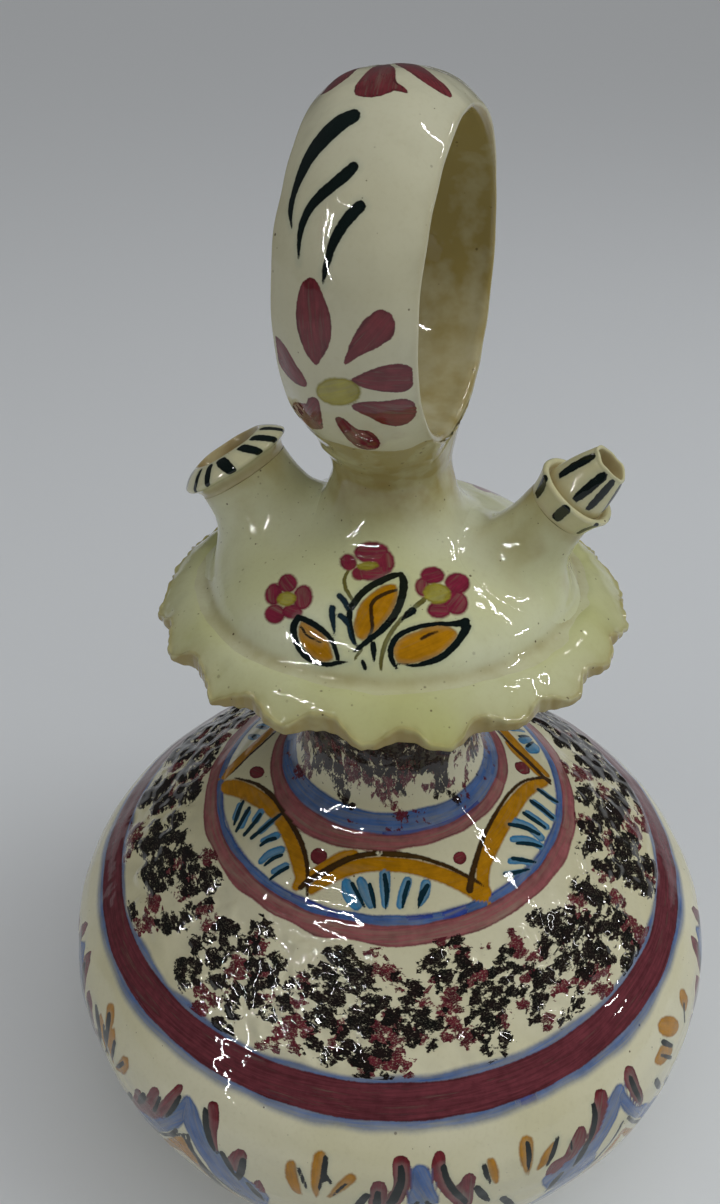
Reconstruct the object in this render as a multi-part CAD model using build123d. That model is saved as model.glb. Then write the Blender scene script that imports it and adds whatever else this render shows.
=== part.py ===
from build123d import *
import math
import os

os.makedirs("parts", exist_ok=True)

# Glazed water jug with a ring handle, a wide filler and a narrow pouring spout.
# Millimetres, +Z up, origin at the centre of the foot on the ground.
# +X points to the pouring spout; the ring handle stands in the YZ plane.

# ---------------------------------------------------------------- driving dimensions
WALL = 6.0                  # wall of the belly and the shoulder
FOOT_H = 7.0                # height of the foot ring
FOOT_R_OUT = 66.0           # standing face, outer radius
FOOT_R_IN = 56.5            # standing face, inner radius
BASE_R = 64.0               # slab that closes the bottom
BASE_T = 6.5
SEAM_Z = 100.3              # seam between belly and shoulder, under the painted band
NECK_Z = 143.3              # seam between shoulder and neck
COLLAR_Z0 = 207.0           # underside of the collar, where the neck ends
COLLAR_Z1 = 213.2           # top of the collar, where the dome stands
COLLAR_BORE = 40.0          # passage through the collar
SCALLOPS = 21               # lobes of the collar
SCALLOP_TIP_R = 66.7
SCALLOP_VALLEY_R = 62.9
SCALLOP_PHASE = -70.9       # azimuth of one valley, degrees
DOME_R = 51.6               # dome at its foot
DOME_WALL = 5.0
STEM_Z = 231.0              # seat of the stem on the dome
STEM_SEAT_R = 26.5
STEM_WAIST_R = 17.0         # the stem is as wide as the ring at its waist
STEM_WAIST_Z = 247.0
STEM_BORE = 8.0             # vent that opens the hollow stem into the dome
STEM_BORE_TOP = 246.0
RING_Z = 297.4              # centre of the ring handle
RING_R_OUT = 44.7           # at the middle of its crown
RING_R_EDGE = 38.6          # outer radius at its rims
RING_R_IN = 35.9            # at the middle
RING_R_IN_EDGE = 36.6       # inner radius at its rims
RING_W = 33.9               # width along X
FILLER_EL = 57.0            # slope of the filler's axis, degrees above the horizon
FILLER_MOUTH = (-48.95, 244.7)   # x, z of the mouth's centre
FILLER_BORE = 9.0
FILLER_MOUTH_R = 11.3
FILLER_TUBE_R = 13.6
FILLER_LIP_R = 17.2
FILLER_LIP_H = 8.0
SPOUT_EL = 55.0             # slope of the spout's axis
SPOUT_SEAT = (46.9, 240.6)  # x, z where the collar stands on the tube
SPOUT_BORE = 4.6
SPOUT_TUBE_R = 9.2
SPOUT_COLLAR_R = 11.1
SPOUT_COLLAR_H = 7.2
NOZZLE_BASE_R = 8.5
NOZZLE_TIP_R = 5.3
NOZZLE_BORE_R = 3.6
NOZZLE_H = 10.6

# outer outline of the belly, shoulder, neck and dome as (radius, height)
BELLY_OUT = [(69.0, FOOT_H), (76.0, 11.9), (86.0, 20.0), (95.0, 30.2), (101.6, 41.3), (105.9, 51.1),
             (108.7, 60.9), (110.0, 70.8), (109.6, 80.6), (106.6, 90.4), (98.3, SEAM_Z)]
SHOULDER_OUT = [(98.3, SEAM_Z), (89.6, 107.3), (80.2, 114.1), (69.5, 121.4), (58.0, 129.0), (46.0, 136.6),
                (34.7, NECK_Z)]
NECK_OUT = [(34.7, NECK_Z), (30.6, 147.2), (28.2, 153.5), (27.4, 164.0), (28.2, 177.5), (32.0, 189.5),
            (39.0, 199.8), (47.0, COLLAR_Z0)]
NECK_IN = [(22.6, NECK_Z), (22.0, 152.0), (21.6, 164.0), (22.4, 178.5), (26.0, 191.5), (32.6, 201.2),
           (COLLAR_BORE, COLLAR_Z0)]
DOME_OUT = [(DOME_R, COLLAR_Z1), (50.6, 216.6), (47.8, 220.0), (43.5, 223.2), (38.5, 226.0), (32.5, 228.6),
            (STEM_SEAT_R, STEM_Z)]
DOME_IN = [(46.6, COLLAR_Z1), (45.2, 215.6), (42.0, 218.2), (37.0, 221.0), (30.0, 223.8), (20.0, 225.6),
           (STEM_BORE, 226.2)]
STEM_OUT = [(STEM_SEAT_R, STEM_Z), (22.4, 233.8), (19.3, 237.6), (17.6, 242.0), (STEM_WAIST_R, STEM_WAIST_Z),
            (18.6, 252.6), (22.6, 258.0)]


# ---------------------------------------------------------------- helpers
def turned(*edges):
    """Solid turned about Z from edges drawn as (radius, height)."""
    return revolve(Plane.XZ * make_face(list(edges)), Axis.Z)


def inset(points, t):
    """Points moved inwards by t, square to the outline."""
    out = []
    for i, (r, z) in enumerate(points):
        a = points[max(i - 1, 0)]
        b = points[min(i + 1, len(points) - 1)]
        dr, dz = b[0] - a[0], b[1] - a[1]
        n = math.hypot(dr, dz)
        out.append((r - t * dz / n, z + t * dr / n))
    return out


def at_height(p, q, z):
    """Point of the line p-q at height z."""
    k = (z - p[1]) / (q[1] - p[1])
    return (p[0] + k * (q[0] - p[0]), z)


def slanted(origin_xz, elevation, towards):
    """Plane square to a slanted axis in the XZ plane; its own Z runs out along the axis."""
    a = math.radians(elevation)
    return Plane(origin=(origin_xz[0], 0, origin_xz[1]), x_dir=(0, 1, 0),
                 z_dir=(towards * math.cos(a), 0, math.sin(a)))


# ---------------------------------------------------------------- foot and base
foot_ring = turned(
    Polyline((FOOT_R_IN, 0), (FOOT_R_OUT, 0), (69.0, FOOT_H), (54.0, FOOT_H), (FOOT_R_IN, 0)))
foot_ring = fillet(foot_ring.edges().filter_by(GeomType.CIRCLE).group_by(Axis.Z)[0], 1.6)

base_disc = Pos(0, 0, FOOT_H) * Cylinder(BASE_R, BASE_T, align=(Align.CENTER, Align.CENTER, Align.MIN))

# ---------------------------------------------------------------- belly and shoulder
belly_in = inset(BELLY_OUT, WALL)
body_seam_in = at_height(belly_in[-1], (belly_in[-1][0] - 7.1, belly_in[-1][1] + 6.4), SEAM_Z)
belly_in = [(BASE_R, FOOT_H + BASE_T), (74.5, 19.2)] + belly_in[3:-1] + [body_seam_in]
belly = turned(
    Spline(*BELLY_OUT),
    Line(BELLY_OUT[-1], body_seam_in),
    Spline(*reversed(belly_in)),
    Polyline(belly_in[0], (BASE_R, FOOT_H), BELLY_OUT[0]))

shoulder_in = [body_seam_in] + inset(SHOULDER_OUT, WALL)[1:-1] + [NECK_IN[0]]
shoulder = turned(
    Spline(*SHOULDER_OUT),
    Line(SHOULDER_OUT[-1], shoulder_in[-1]),
    Spline(*reversed(shoulder_in)),
    Line(shoulder_in[0], SHOULDER_OUT[0]))

# ---------------------------------------------------------------- neck
neck = turned(
    Spline(*NECK_OUT),
    Line(NECK_OUT[-1], NECK_IN[-1]),
    Spline(*reversed(NECK_IN)),
    Line(NECK_IN[0], NECK_OUT[0]))

# ---------------------------------------------------------------- scalloped collar
# a drooping brim, trimmed to a wavy outline of arcs
collar = turned(
    Line((COLLAR_BORE, COLLAR_Z0), (48.0, COLLAR_Z0)),
    Spline((48.0, COLLAR_Z0), (56.0, 207.2), (62.0, 204.9), (67.6, 201.2)),
    Line((67.6, 201.2), (67.6, 205.0)),
    Spline((67.6, 205.0), (63.2, 209.3), (57.4, 212.8), (DOME_R + 0.6, COLLAR_Z1)),
    Polyline((DOME_R + 0.6, COLLAR_Z1), (COLLAR_BORE, COLLAR_Z1), (COLLAR_BORE, COLLAR_Z0)))


def wave_point(r, degrees):
    a = math.radians(degrees)
    return (r * math.cos(a), r * math.sin(a))


pitch = 360.0 / SCALLOPS
mid_r = (SCALLOP_TIP_R + SCALLOP_VALLEY_R) / 2
wave = []
for i in range(SCALLOPS):
    v = SCALLOP_PHASE + i * pitch
    wave.append(ThreePointArc(wave_point(mid_r, v - pitch / 4), wave_point(SCALLOP_VALLEY_R, v),
                              wave_point(mid_r, v + pitch / 4)))
    wave.append(ThreePointArc(wave_point(mid_r, v + pitch / 4), wave_point(SCALLOP_TIP_R, v + pitch / 2),
                              wave_point(mid_r, v + 3 * pitch / 4)))
trim = extrude(Pos(0, 0, 190) * make_face(wave), 40)
scalloped_collar = collar & trim

# ---------------------------------------------------------------- dome and stem
dome_block = turned(
    Spline(*DOME_OUT),
    Polyline(DOME_OUT[-1], (0, STEM_Z), (0, COLLAR_Z1), DOME_OUT[0]))
dome = turned(
    Spline(*DOME_OUT),
    Polyline(DOME_OUT[-1], (STEM_BORE, STEM_Z), DOME_IN[-1]),
    Spline(*reversed(DOME_IN)),
    Line(DOME_IN[0], DOME_OUT[0]))

stem_block = turned(
    Spline(*STEM_OUT),
    Polyline(STEM_OUT[-1], (0, STEM_OUT[-1][1]), (0, STEM_Z), STEM_OUT[0]))
stem = stem_block - Pos(0, 0, STEM_Z) * Cylinder(
    STEM_BORE, STEM_BORE_TOP - STEM_Z, align=(Align.CENTER, Align.CENTER, Align.MIN))

# ---------------------------------------------------------------- ring handle
# crowned outside, nearly flat inside, thin rounded rims; turned about the X axis
h = RING_W / 2
rim = (RING_R_EDGE - RING_R_IN_EDGE) / 2
ring_out = ThreePointArc((-h + rim, RING_R_EDGE), (0, RING_R_OUT), (h - rim, RING_R_EDGE))
ring_in = ThreePointArc((h - rim, RING_R_IN_EDGE), (0, RING_R_IN), (-h + rim, RING_R_IN_EDGE))
rim_a = ThreePointArc((h - rim, RING_R_EDGE), (h, (RING_R_EDGE + RING_R_IN_EDGE) / 2), (h - rim, RING_R_IN_EDGE))
rim_b = ThreePointArc((-h + rim, RING_R_IN_EDGE), (-h, (RING_R_EDGE + RING_R_IN_EDGE) / 2), (-h + rim, RING_R_EDGE))
ring_handle = Pos(0, 0, RING_Z) * revolve(Plane.XZ * make_face([ring_out, rim_a, ring_in, rim_b]), Axis.X)
ring_block = Pos(0, 0, RING_Z) * revolve(
    Plane.XZ * make_face([ring_out, Polyline((h - rim, RING_R_EDGE), (h - rim, 0), (-h + rim, 0), (-h + rim, RING_R_EDGE))]),
    Axis.X)
# above its waist the stem spreads along the ring only, and ends on the ring's crown
beside_ring = Pos(0, 0, STEM_WAIST_Z) * Box(
    40, 80, 20, align=(Align.MIN, Align.CENTER, Align.MIN))
handle_stem = stem - ring_block - Pos(h - rim, 0, 0) * beside_ring - Pos(-40 - h + rim, 0, 0) * beside_ring
handle_stem = handle_stem.solids().sort_by(SortBy.VOLUME)[-1]

# ---------------------------------------------------------------- filler
filler = slanted(FILLER_MOUTH, FILLER_EL, -1)
k = FILLER_LIP_H
filler_lip = filler.location * turned(
    Line((FILLER_BORE, -k), (FILLER_TUBE_R, -k)),
    ThreePointArc((FILLER_TUBE_R, -k), (FILLER_LIP_R - 0.4, -k * 0.55), (FILLER_LIP_R, -k * 0.28)),
    ThreePointArc((FILLER_LIP_R, -k * 0.28), (FILLER_LIP_R - 1.2, 0.35), (FILLER_MOUTH_R + 1.6, 0.2)),
    ThreePointArc((FILLER_MOUTH_R + 1.6, 0.2), (FILLER_MOUTH_R - 0.6, -1.6), (FILLER_BORE + 0.6, -4.2)),
    Line((FILLER_BORE + 0.6, -4.2), (FILLER_BORE, -k)))
filler_tube = filler.location * turned(
    Spline((18.5, -30.0), (15.6, -21.0), (14.0, -14.0), (FILLER_TUBE_R, -k)),
    Polyline((FILLER_TUBE_R, -k), (FILLER_BORE, -k), (FILLER_BORE, -30.0), (18.5, -30.0)))
filler_bore = filler.location * (Pos(0, 0, -45) * Cylinder(
    FILLER_BORE, 45, align=(Align.CENTER, Align.CENTER, Align.MIN)))
filler_tube = filler_tube - dome_block - stem_block - Pos(0, 0, COLLAR_Z1 - 30) * Cylinder(
    90, 30, align=(Align.CENTER, Align.CENTER, Align.MIN))
filler_tube = filler_tube.solids().sort_by(SortBy.VOLUME)[-1]

# ---------------------------------------------------------------- pouring spout
spout = slanted(SPOUT_SEAT, SPOUT_EL, 1)
spout_tube = spout.location * turned(
    Spline((14.5, -22.0), (12.0, -14.5), (10.0, -7.5), (SPOUT_TUBE_R, 0)),
    Polyline((SPOUT_TUBE_R, 0), (SPOUT_BORE, 0), (SPOUT_BORE, -22.0), (14.5, -22.0)))
spout_bore = spout.location * (Pos(0, 0, -40) * Cylinder(
    SPOUT_BORE, 40, align=(Align.CENTER, Align.CENTER, Align.MIN)))
spout_tube = spout_tube - dome_block - stem_block - Pos(0, 0, COLLAR_Z1 - 30) * Cylinder(
    90, 30, align=(Align.CENTER, Align.CENTER, Align.MIN))
spout_tube = spout_tube.solids().sort_by(SortBy.VOLUME)[-1]
c = SPOUT_COLLAR_H
seat = c - 1.6              # the nozzle stands in a shallow recess of the collar
spout_collar = spout.location * turned(
    Line((SPOUT_BORE, 0), (SPOUT_TUBE_R, 0)),
    ThreePointArc((SPOUT_TUBE_R, 0), (SPOUT_COLLAR_R - 0.5, c * 0.45), (SPOUT_COLLAR_R, c - 1.0)),
    ThreePointArc((SPOUT_COLLAR_R, c - 1.0), (SPOUT_COLLAR_R - 0.6, c), (NOZZLE_BASE_R + 1.0, c - 0.3)),
    Polyline((NOZZLE_BASE_R + 1.0, c - 0.3), (NOZZLE_BASE_R + 0.2, seat), (SPOUT_BORE, seat), (SPOUT_BORE, 0)))
n = seat + NOZZLE_H
spout_nozzle = spout.location * turned(
    Line((SPOUT_BORE, seat), (NOZZLE_BASE_R, seat)),
    ThreePointArc((NOZZLE_BASE_R, seat), (7.1, seat + NOZZLE_H * 0.55), (NOZZLE_TIP_R, n - 0.9)),
    ThreePointArc((NOZZLE_TIP_R, n - 0.9), (4.7, n), (NOZZLE_BORE_R + 0.3, n - 0.4)),
    Polyline((NOZZLE_BORE_R + 0.3, n - 0.4), (NOZZLE_BORE_R, n - 1.2), (NOZZLE_BORE_R, seat + 5.0), (SPOUT_BORE, seat)))

# the two tubes open into the dome
dome = dome - filler_bore - spout_bore
dome = dome.solids().sort_by(SortBy.VOLUME)[-1]

# ---------------------------------------------------------------- write the pieces
pieces = {
    "foot_ring": foot_ring,
    "base_disc": base_disc,
    "belly": belly,
    "shoulder": shoulder,
    "neck": neck,
    "scalloped_collar": scalloped_collar,
    "dome": dome,
    "handle_stem": handle_stem,
    "ring_handle": ring_handle,
    "filler_tube": filler_tube,
    "filler_lip": filler_lip,
    "spout_tube": spout_tube,
    "spout_collar": spout_collar,
    "spout_nozzle": spout_nozzle,
}
for name, solid in pieces.items():
    export_step(solid, f"parts/{name}.step")
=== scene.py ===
import math
import bpy
import numpy as np
from mathutils import Matrix, Vector

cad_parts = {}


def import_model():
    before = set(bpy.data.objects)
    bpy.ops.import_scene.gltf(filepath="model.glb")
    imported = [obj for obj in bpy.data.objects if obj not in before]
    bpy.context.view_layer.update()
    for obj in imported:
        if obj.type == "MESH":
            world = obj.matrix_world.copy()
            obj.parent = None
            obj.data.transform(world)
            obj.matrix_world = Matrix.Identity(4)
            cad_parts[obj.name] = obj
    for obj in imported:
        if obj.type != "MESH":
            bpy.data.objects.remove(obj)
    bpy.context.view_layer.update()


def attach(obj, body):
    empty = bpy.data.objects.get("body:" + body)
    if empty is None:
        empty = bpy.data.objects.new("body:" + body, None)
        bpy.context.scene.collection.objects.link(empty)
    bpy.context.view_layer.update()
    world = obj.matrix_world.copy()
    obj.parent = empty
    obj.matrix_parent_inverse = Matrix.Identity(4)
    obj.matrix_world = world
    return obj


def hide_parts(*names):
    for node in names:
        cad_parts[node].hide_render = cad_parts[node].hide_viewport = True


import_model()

MM = 0.001
TAU = 2 * math.pi


# ------------------------------------------------------------------ colours
def lin(r, g, b):
    """sRGB 0-255 to linear."""
    out = []
    for v in (r, g, b):
        v /= 255
        out.append(v / 12.92 if v <= 0.04045 else ((v + 0.055) / 1.055) ** 2.4)
    return tuple(out)


INK = {
    "dk": lin(12, 24, 22),      # near-black green of leaves and strokes
    "dkb": lin(24, 44, 54),     # bluer blades
    "bur": lin(103, 48, 55),    # burgundy bands
    "mau": lin(142, 82, 84),    # paler burgundy of the inner bands
    "pet": lin(112, 42, 48),    # petals on ring and belly
    "pnk": lin(126, 36, 58),    # pinker petals on the dome
    "yel": lin(156, 146, 50),   # flower centres
    "och": lin(178, 122, 8),    # ochre fills
    "olv": lin(112, 106, 52),   # stems
    "brn": lin(66, 44, 16),     # brown arch lines and leaf ribs
    "lbl": lin(60, 128, 172),   # light blue fan strokes
    "tel": lin(12, 46, 58),     # dark fan lines
    "blu": lin(66, 96, 148),    # blue bands and garlands
    "dpb": lin(46, 66, 140),    # where the blue lies thick
}
# how well a colour covers, how soft its edge is in mm, and how much the hairs of the brush show
COVER = {"blu": (0.93, 0.50, 0.9), "dpb": (0.95, 0.55, 0.9), "lbl": (0.95, 0.20, 0.6), "bur": (1.07, 0.24, 1.0), "mau": (0.97, 0.32, 1.0), "pet": (1.03, 0.13, 1.0),
         "pnk": (1.0, 0.46, 0.8), "yel": (0.94, 0.40, 0.5), "och": (1.02, 0.42, 0.35), "olv": (1.1, 0.15, 0.3), "brn": (1.3, 0.20, 0.3),
         "tel": (1.3, 0.13, 0.3), "dk": (1.3, 0.13, 0.25), "dkb": (1.15, 0.18, 0.5)}

# ------------------------------------------------------------------ painted ornament
# Outlines on the pieces: colour, layer, then pairs of numbers. Shoulder and dome: degrees round the axis, radius in mm.
# Belly: degrees, height in mm. Ring: degrees round the ring from its front, distance across it in mm.
# Lip, cup and nozzle: degrees round the tube, radius, distance along it.
PAINT = {
    "ring_handle": (
        ("dk", 1, (61.27,-3.14,60.97,-3.74,60.57,-4.69,59.85,-5.7,58.91,-6.71,57.78,-7.73,56.56,-8.7,55.19,-9.54,53.77,-10.32,52.24,-11,50.49,-11.48,48.63,-11.8,46.94,-12.14,45.2,-12.41,43.43,-12.61,41.7,-12.78,39.96,-12.92,38.24,-13.03,36.54,-13.08,34.87,-13.11,33.22,-13.08,31.48,-12.87,29.51,-12.33,27.57,-11.6,26.26,-11.11,26.16,-11.04,26.13,-10.93,26.17,-10.85,26.27,-10.83,27.56,-11,29.42,-11.26,31.2,-11.43,32.68,-11.46,34.12,-11.4,35.57,-11.28,37.08,-11.1,38.54,-10.83,39.98,-10.49,41.38,-10.08,42.82,-9.67,44.23,-9.2,45.56,-8.65,46.81,-8.03,47.98,-7.38,49.1,-6.64,50.3,-5.89,51.51,-5.14,52.7,-4.35,53.91,-3.57,54.91,-2.86,55.68,-2.18,56.48,-1.56,57.07,-1.11,58.3,-0.72,59.99,-1.13,61.24,-2.14)),
        ("dk", 1, (44.12,-0.08,43.47,-0.55,42.55,-1.23,41.56,-1.94,40.59,-2.68,39.53,-3.48,38.45,-4.26,37.43,-5.08,36.35,-5.93,35.19,-6.74,33.99,-7.45,32.71,-8.04,31.39,-8.52,30.06,-8.9,28.68,-9.15,27.15,-9.32,25.33,-9.36,23.36,-9.28,21.52,-9.13,19.84,-8.9,18.3,-8.61,17.25,-8.39,17.19,-8.36,17.18,-8.3,17.21,-8.24,17.27,-8.22,18.34,-8.21,19.87,-8.19,21.49,-8.11,23.22,-8.01,25.06,-7.85,26.69,-7.62,27.98,-7.33,29.12,-7.01,30.2,-6.58,31.23,-6.01,32.2,-5.32,33.13,-4.6,34,-3.78,34.9,-2.9,35.89,-2.02,36.93,-1.17,38.01,-0.36,39.07,0.36,40.2,0.99,41.3,1.51,42.07,1.86,43.19,2.01,44.23,1.51,44.61,0.65)),
        ("dk", 1, (33.63,2.96,32.88,2.48,31.79,1.77,30.59,1.07,29.39,0.49,28.15,-0.07,26.88,-0.61,25.54,-1.09,24.16,-1.51,22.79,-1.84,21.52,-1.99,20.38,-2.04,19.26,-2.1,18.03,-2.28,16.72,-2.48,15.43,-2.58,14.17,-2.47,13.04,-2.27,12.27,-2.12,12.19,-2.08,12.16,-2,12.2,-1.93,12.29,-1.89,13.08,-1.75,14.19,-1.56,15.31,-1.35,16.45,-1.11,17.7,-0.83,18.94,-0.54,20.07,-0.29,21.08,-0.06,22.07,0.22,23.19,0.61,24.39,1.08,25.56,1.59,26.67,2.11,27.74,2.68,28.76,3.24,29.84,3.84,30.92,4.47,31.69,4.92,32.83,5.15,33.87,4.68,34.2,3.77)),
        ("bur", 0, (70.42,-5.23,73.59,-5.84,77.53,-6.32,83.85,-7.14,85.68,0.21,80.95,1.63,77.1,2.62,74.1,3.12,71.87,3.54,71.39,4.11,71.42,4.8,70.94,5.87,70.48,6.57,69.87,6.02,69.35,5.09,68.88,4.56,68.25,3.94,67.35,2.83,66.53,1.52,65.99,0.19,65.88,-1.17,66.39,-2.52,67.41,-3.73,68.56,-4.57)),
        ("bur", 0, (-9.93,-3.98,-9.12,-4.98,-7.5,-6.02,-5.69,-6.9,-3.63,-7.69,-1.22,-8.33,1.29,-8.76,3.54,-8.91,5.86,-8.76,8.51,-8.4,10.87,-7.88,12.44,-7.13,13.44,-6.3,13.91,-5.5,13.92,-4.71,13.56,-4.02,12.75,-3.34,11.32,-2.62,9.59,-1.92,7.86,-1.16,5.97,-0.56,3.86,-0.18,1.71,-0.01,-0.4,-0.13,-2.42,-0.48,-4.3,-1.06,-5.89,-1.73,-6.84,-2.29,-7.61,-2.81,-9.03,-3.33)),
        ("bur", 0, (-16.51,-6.95,-17.63,-7.2,-18.48,-7.87,-18.9,-9.15,-19.12,-10.73,-18.96,-12.22,-18.4,-13.64,-17.51,-14.98,-15.94,-16.02,-13.69,-16.64,-6.75,-16.74,-6.02,-16.08,-5.85,-15.23,-6.02,-14.11,-6.74,-12.91,-7.89,-11.72,-9.44,-10.67,-11.11,-9.66,-12.58,-8.6,-13.98,-7.72,-15.33,-7.17)),
        ("bur", 0, (-8.15,2.37,-6.97,2.55,-5.27,3.03,-3.44,3.54,-1.48,4.15,0.4,4.79,2.19,5.52,3.89,6.44,5.35,7.43,6.41,8.38,7.08,9.29,7.24,10.1,6.97,10.83,6.3,11.51,5.35,12.07,4.25,12.42,2.96,12.61,1.38,12.65,-0.14,12.44,-1.19,11.85,-2.11,10.94,-3.1,9.75,-4.06,8.41,-4.84,7.06,-5.64,5.76,-6.7,4.61,-7.68,3.62,-8.23,2.81)),
        ("bur", 0, (-12.73,3.78,-12.08,4.22,-11.44,5.17,-10.56,6.44,-9.77,7.93,-9.23,9.55,-8.98,11.15,-9.1,12.61,-9.62,13.86,-10.59,14.88,-11.81,15.63,-13.03,16.04,-14.4,16.21,-16.13,16.19,-17.93,15.91,-19.1,15.43,-19.8,14.76,-19.93,13.96,-19.51,12.94,-18.72,11.43,-17.81,9.83,-17.04,8.49,-16.25,7.26,-15.47,6.03,-14.67,4.96,-13.69,4.14)),
        ("bur", 0, (-22.11,2.88,-21.33,3.4,-20.77,4.48,-20.65,5.94,-20.77,7.62,-21.16,9.29,-21.62,10.89,-21.8,12.25,-22.3,13.38,-23.34,14.35,-24.79,15.11,-26.79,15.61,-29.03,15.8,-31.06,15.66,-32.8,15.21,-34.13,14.42,-34.84,13.41,-34.64,12.35,-33.93,11.17,-32.48,9.98,-30.81,8.73,-28.86,7.52,-26.91,6.36,-25.57,5.15,-24.36,4.1,-23.17,3.25)),
        ("bur", 0, (-28.87,-1.65,-27.57,-1.42,-26.9,-0.94,-26.72,-0.33,-27.1,0.4,-28.35,1.15,-29.93,1.91,-31.36,2.64,-32.6,3.44,-32.99,4.52,-33.55,5.55,-35.28,6.33,-37.29,6.87,-39.18,7.04,-41.02,6.9,-42.97,6.49,-44.49,5.79,-45.19,4.63,-45.44,3.29,-44.9,2.18,-43.73,1.21,-41.69,0.57,-39.31,0.02,-36.72,-0.58,-33.84,-1.03,-31.18,-1.46)),
        ("bur", 0, (-35.42,-15.12,-31.46,-13.74,-29.07,-12.36,-26.95,-10.39,-25.72,-8.8,-24.25,-8.14,-22.83,-7.65,-21.59,-6.71,-20.88,-5.81,-20.96,-5.14,-21.85,-4.7,-24.1,-4.66,-26.9,-4.81,-30.07,-5.1,-32.89,-5.45,-34.97,-5.88,-36.79,-6.68,-39.32,-8.43,-42.89,-10.83,-45.33,-12.98,-47.84,-16.27,-43.55,-16.08,-39.83,-15.9)),
        ("yel", 0, (-17.08,5.58,-19.14,4.89,-20.92,3.28,-22.02,1.08,-22.33,-1.32,-21.78,-3.42,-20.3,-4.73,-18.11,-4.94,-15.65,-4.01,-13.51,-2.18,-12.33,0.06,-12.22,2.31,-13.13,4.19,-14.91,5.33)),
        ("bur", 0, (94.76,4.09,92.17,6.24,89.99,8.12,89.17,9.69,88.08,11.12,85.89,12.46,83.56,13.46,82.36,13.78,81.26,13.71,80.09,13.22,79.42,12.44,79.47,11.57,79.85,10.57,80.59,9.39,81.48,8.09,82.13,6.71,82.87,5.26,84.89,3.5,87.68,1.58)),
    ),
    "dome": (
        ("bur", 0, (-114.63,37.5,-113.7,38.42,-113.65,39.32,-114.44,40.02,-115.83,40.45,-117.6,40.52,-119.42,40.25,-121.04,39.65,-122.11,38.82,-122.43,37.9,-121.79,37.1,-120.28,36.59,-118.31,36.47,-116.27,36.8)),
        ("bur", 0, (-116.57,41.48,-115.63,42.37,-115.44,43.25,-115.98,43.94,-117.15,44.31,-118.69,44.34,-120.37,44,-121.98,43.34,-123.11,42.49,-123.49,41.62,-123.08,40.86,-121.83,40.4,-120.02,40.37,-118.16,40.74)),
        ("bur", 0, (-110.42,44.96,-109.97,45.72,-110.21,46.5,-111.13,47.09,-112.47,47.46,-114.02,47.52,-115.5,47.26,-116.59,46.76,-117.16,46.03,-117.03,45.23,-116.17,44.55,-114.73,44.13,-113.04,44.07,-111.51,44.36)),
        ("bur", 0, (-104.98,42.86,-104.78,43.47,-105.22,44.11,-106.22,44.64,-107.6,44.95,-109.06,45.03,-110.34,44.86,-111.2,44.47,-111.47,43.88,-111.11,43.22,-110.12,42.63,-108.69,42.25,-107.14,42.18,-105.81,42.4)),
        ("bur", 0, (-104.58,39.01,-103.85,40.12,-103.88,41.15,-104.63,41.89,-105.92,42.21,-107.57,42.06,-109.28,41.48,-110.79,40.56,-111.77,39.49,-112,38.43,-111.37,37.58,-109.92,37.18,-107.99,37.33,-106.05,38)),
        ("yel", 1, (-109.95,40.38,-109.33,41.13,-109.52,41.97,-110.44,42.73,-111.85,43.32,-113.52,43.62,-115.19,43.55,-116.5,43.15,-117.21,42.48,-117.14,41.64,-116.33,40.78,-114.84,40.13,-112.99,39.83,-111.25,39.91)),
        ("bur", 0, (-75.82,22.96,-76.69,23.82,-79.26,24.59,-82.96,25.16,-87.19,25.39,-91.31,25.22,-94.7,24.67,-96.62,23.88,-96.53,22.98,-94.2,22.16,-89.99,21.62,-84.94,21.43,-80.27,21.64,-77.04,22.16)),
        ("bur", 0, (-94.06,26.53,-93.55,27.6,-93.92,28.55,-95.05,29.18,-96.69,29.4,-98.6,29.17,-100.52,28.54,-102.1,27.61,-102.99,26.57,-102.76,25.72,-101.52,25.12,-99.53,24.89,-97.29,25.1,-95.33,25.68)),
        ("bur", 0, (-72.31,25.46,-72.79,26.87,-74.04,28.14,-75.79,28.86,-77.76,28.92,-79.73,28.29,-81.41,27.09,-82.45,25.69,-82.51,24.33,-81.39,23.35,-79.31,22.77,-76.77,22.72,-74.42,23.22,-72.84,24.14)),
        ("bur", 0, (-76.76,28.98,-77.32,29.86,-79.09,30.64,-81.69,31.14,-84.65,31.35,-87.5,31.19,-89.76,30.69,-90.99,29.93,-90.87,29.01,-89.31,28.14,-86.52,27.51,-83.11,27.28,-79.9,27.52,-77.64,28.14)),
        ("bur", 0, (-86.47,29.65,-86.42,30.41,-87,31.07,-88.07,31.5,-89.44,31.64,-90.86,31.46,-92.11,30.99,-92.95,30.31,-93.19,29.55,-92.72,28.87,-91.61,28.39,-90.08,28.23,-88.48,28.43,-87.19,28.94)),
        ("yel", 1, (-80.43,26.1,-80.66,26.82,-82.03,27.61,-84.22,28.26,-86.81,28.67,-89.37,28.76,-91.47,28.52,-92.76,27.96,-92.94,27.17,-91.85,26.33,-89.57,25.7,-86.64,25.32,-83.72,25.27,-81.5,25.56)),
        ("bur", 0, (-47.34,31.03,-48.69,31.91,-50.66,32.51,-52.87,32.69,-54.99,32.45,-56.68,31.83,-57.63,30.92,-57.61,29.89,-56.51,28.94,-54.47,28.28,-51.91,28.07,-49.44,28.35,-47.65,29.05,-46.93,30.01)),
        ("bur", 0, (-56.48,33.51,-57.22,34.45,-58.27,35.16,-59.42,35.49,-60.48,35.4,-61.3,34.9,-61.72,34.08,-61.63,33.09,-61,32.12,-59.92,31.39,-58.62,31.04,-57.38,31.13,-56.52,31.66,-56.21,32.52)),
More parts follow.
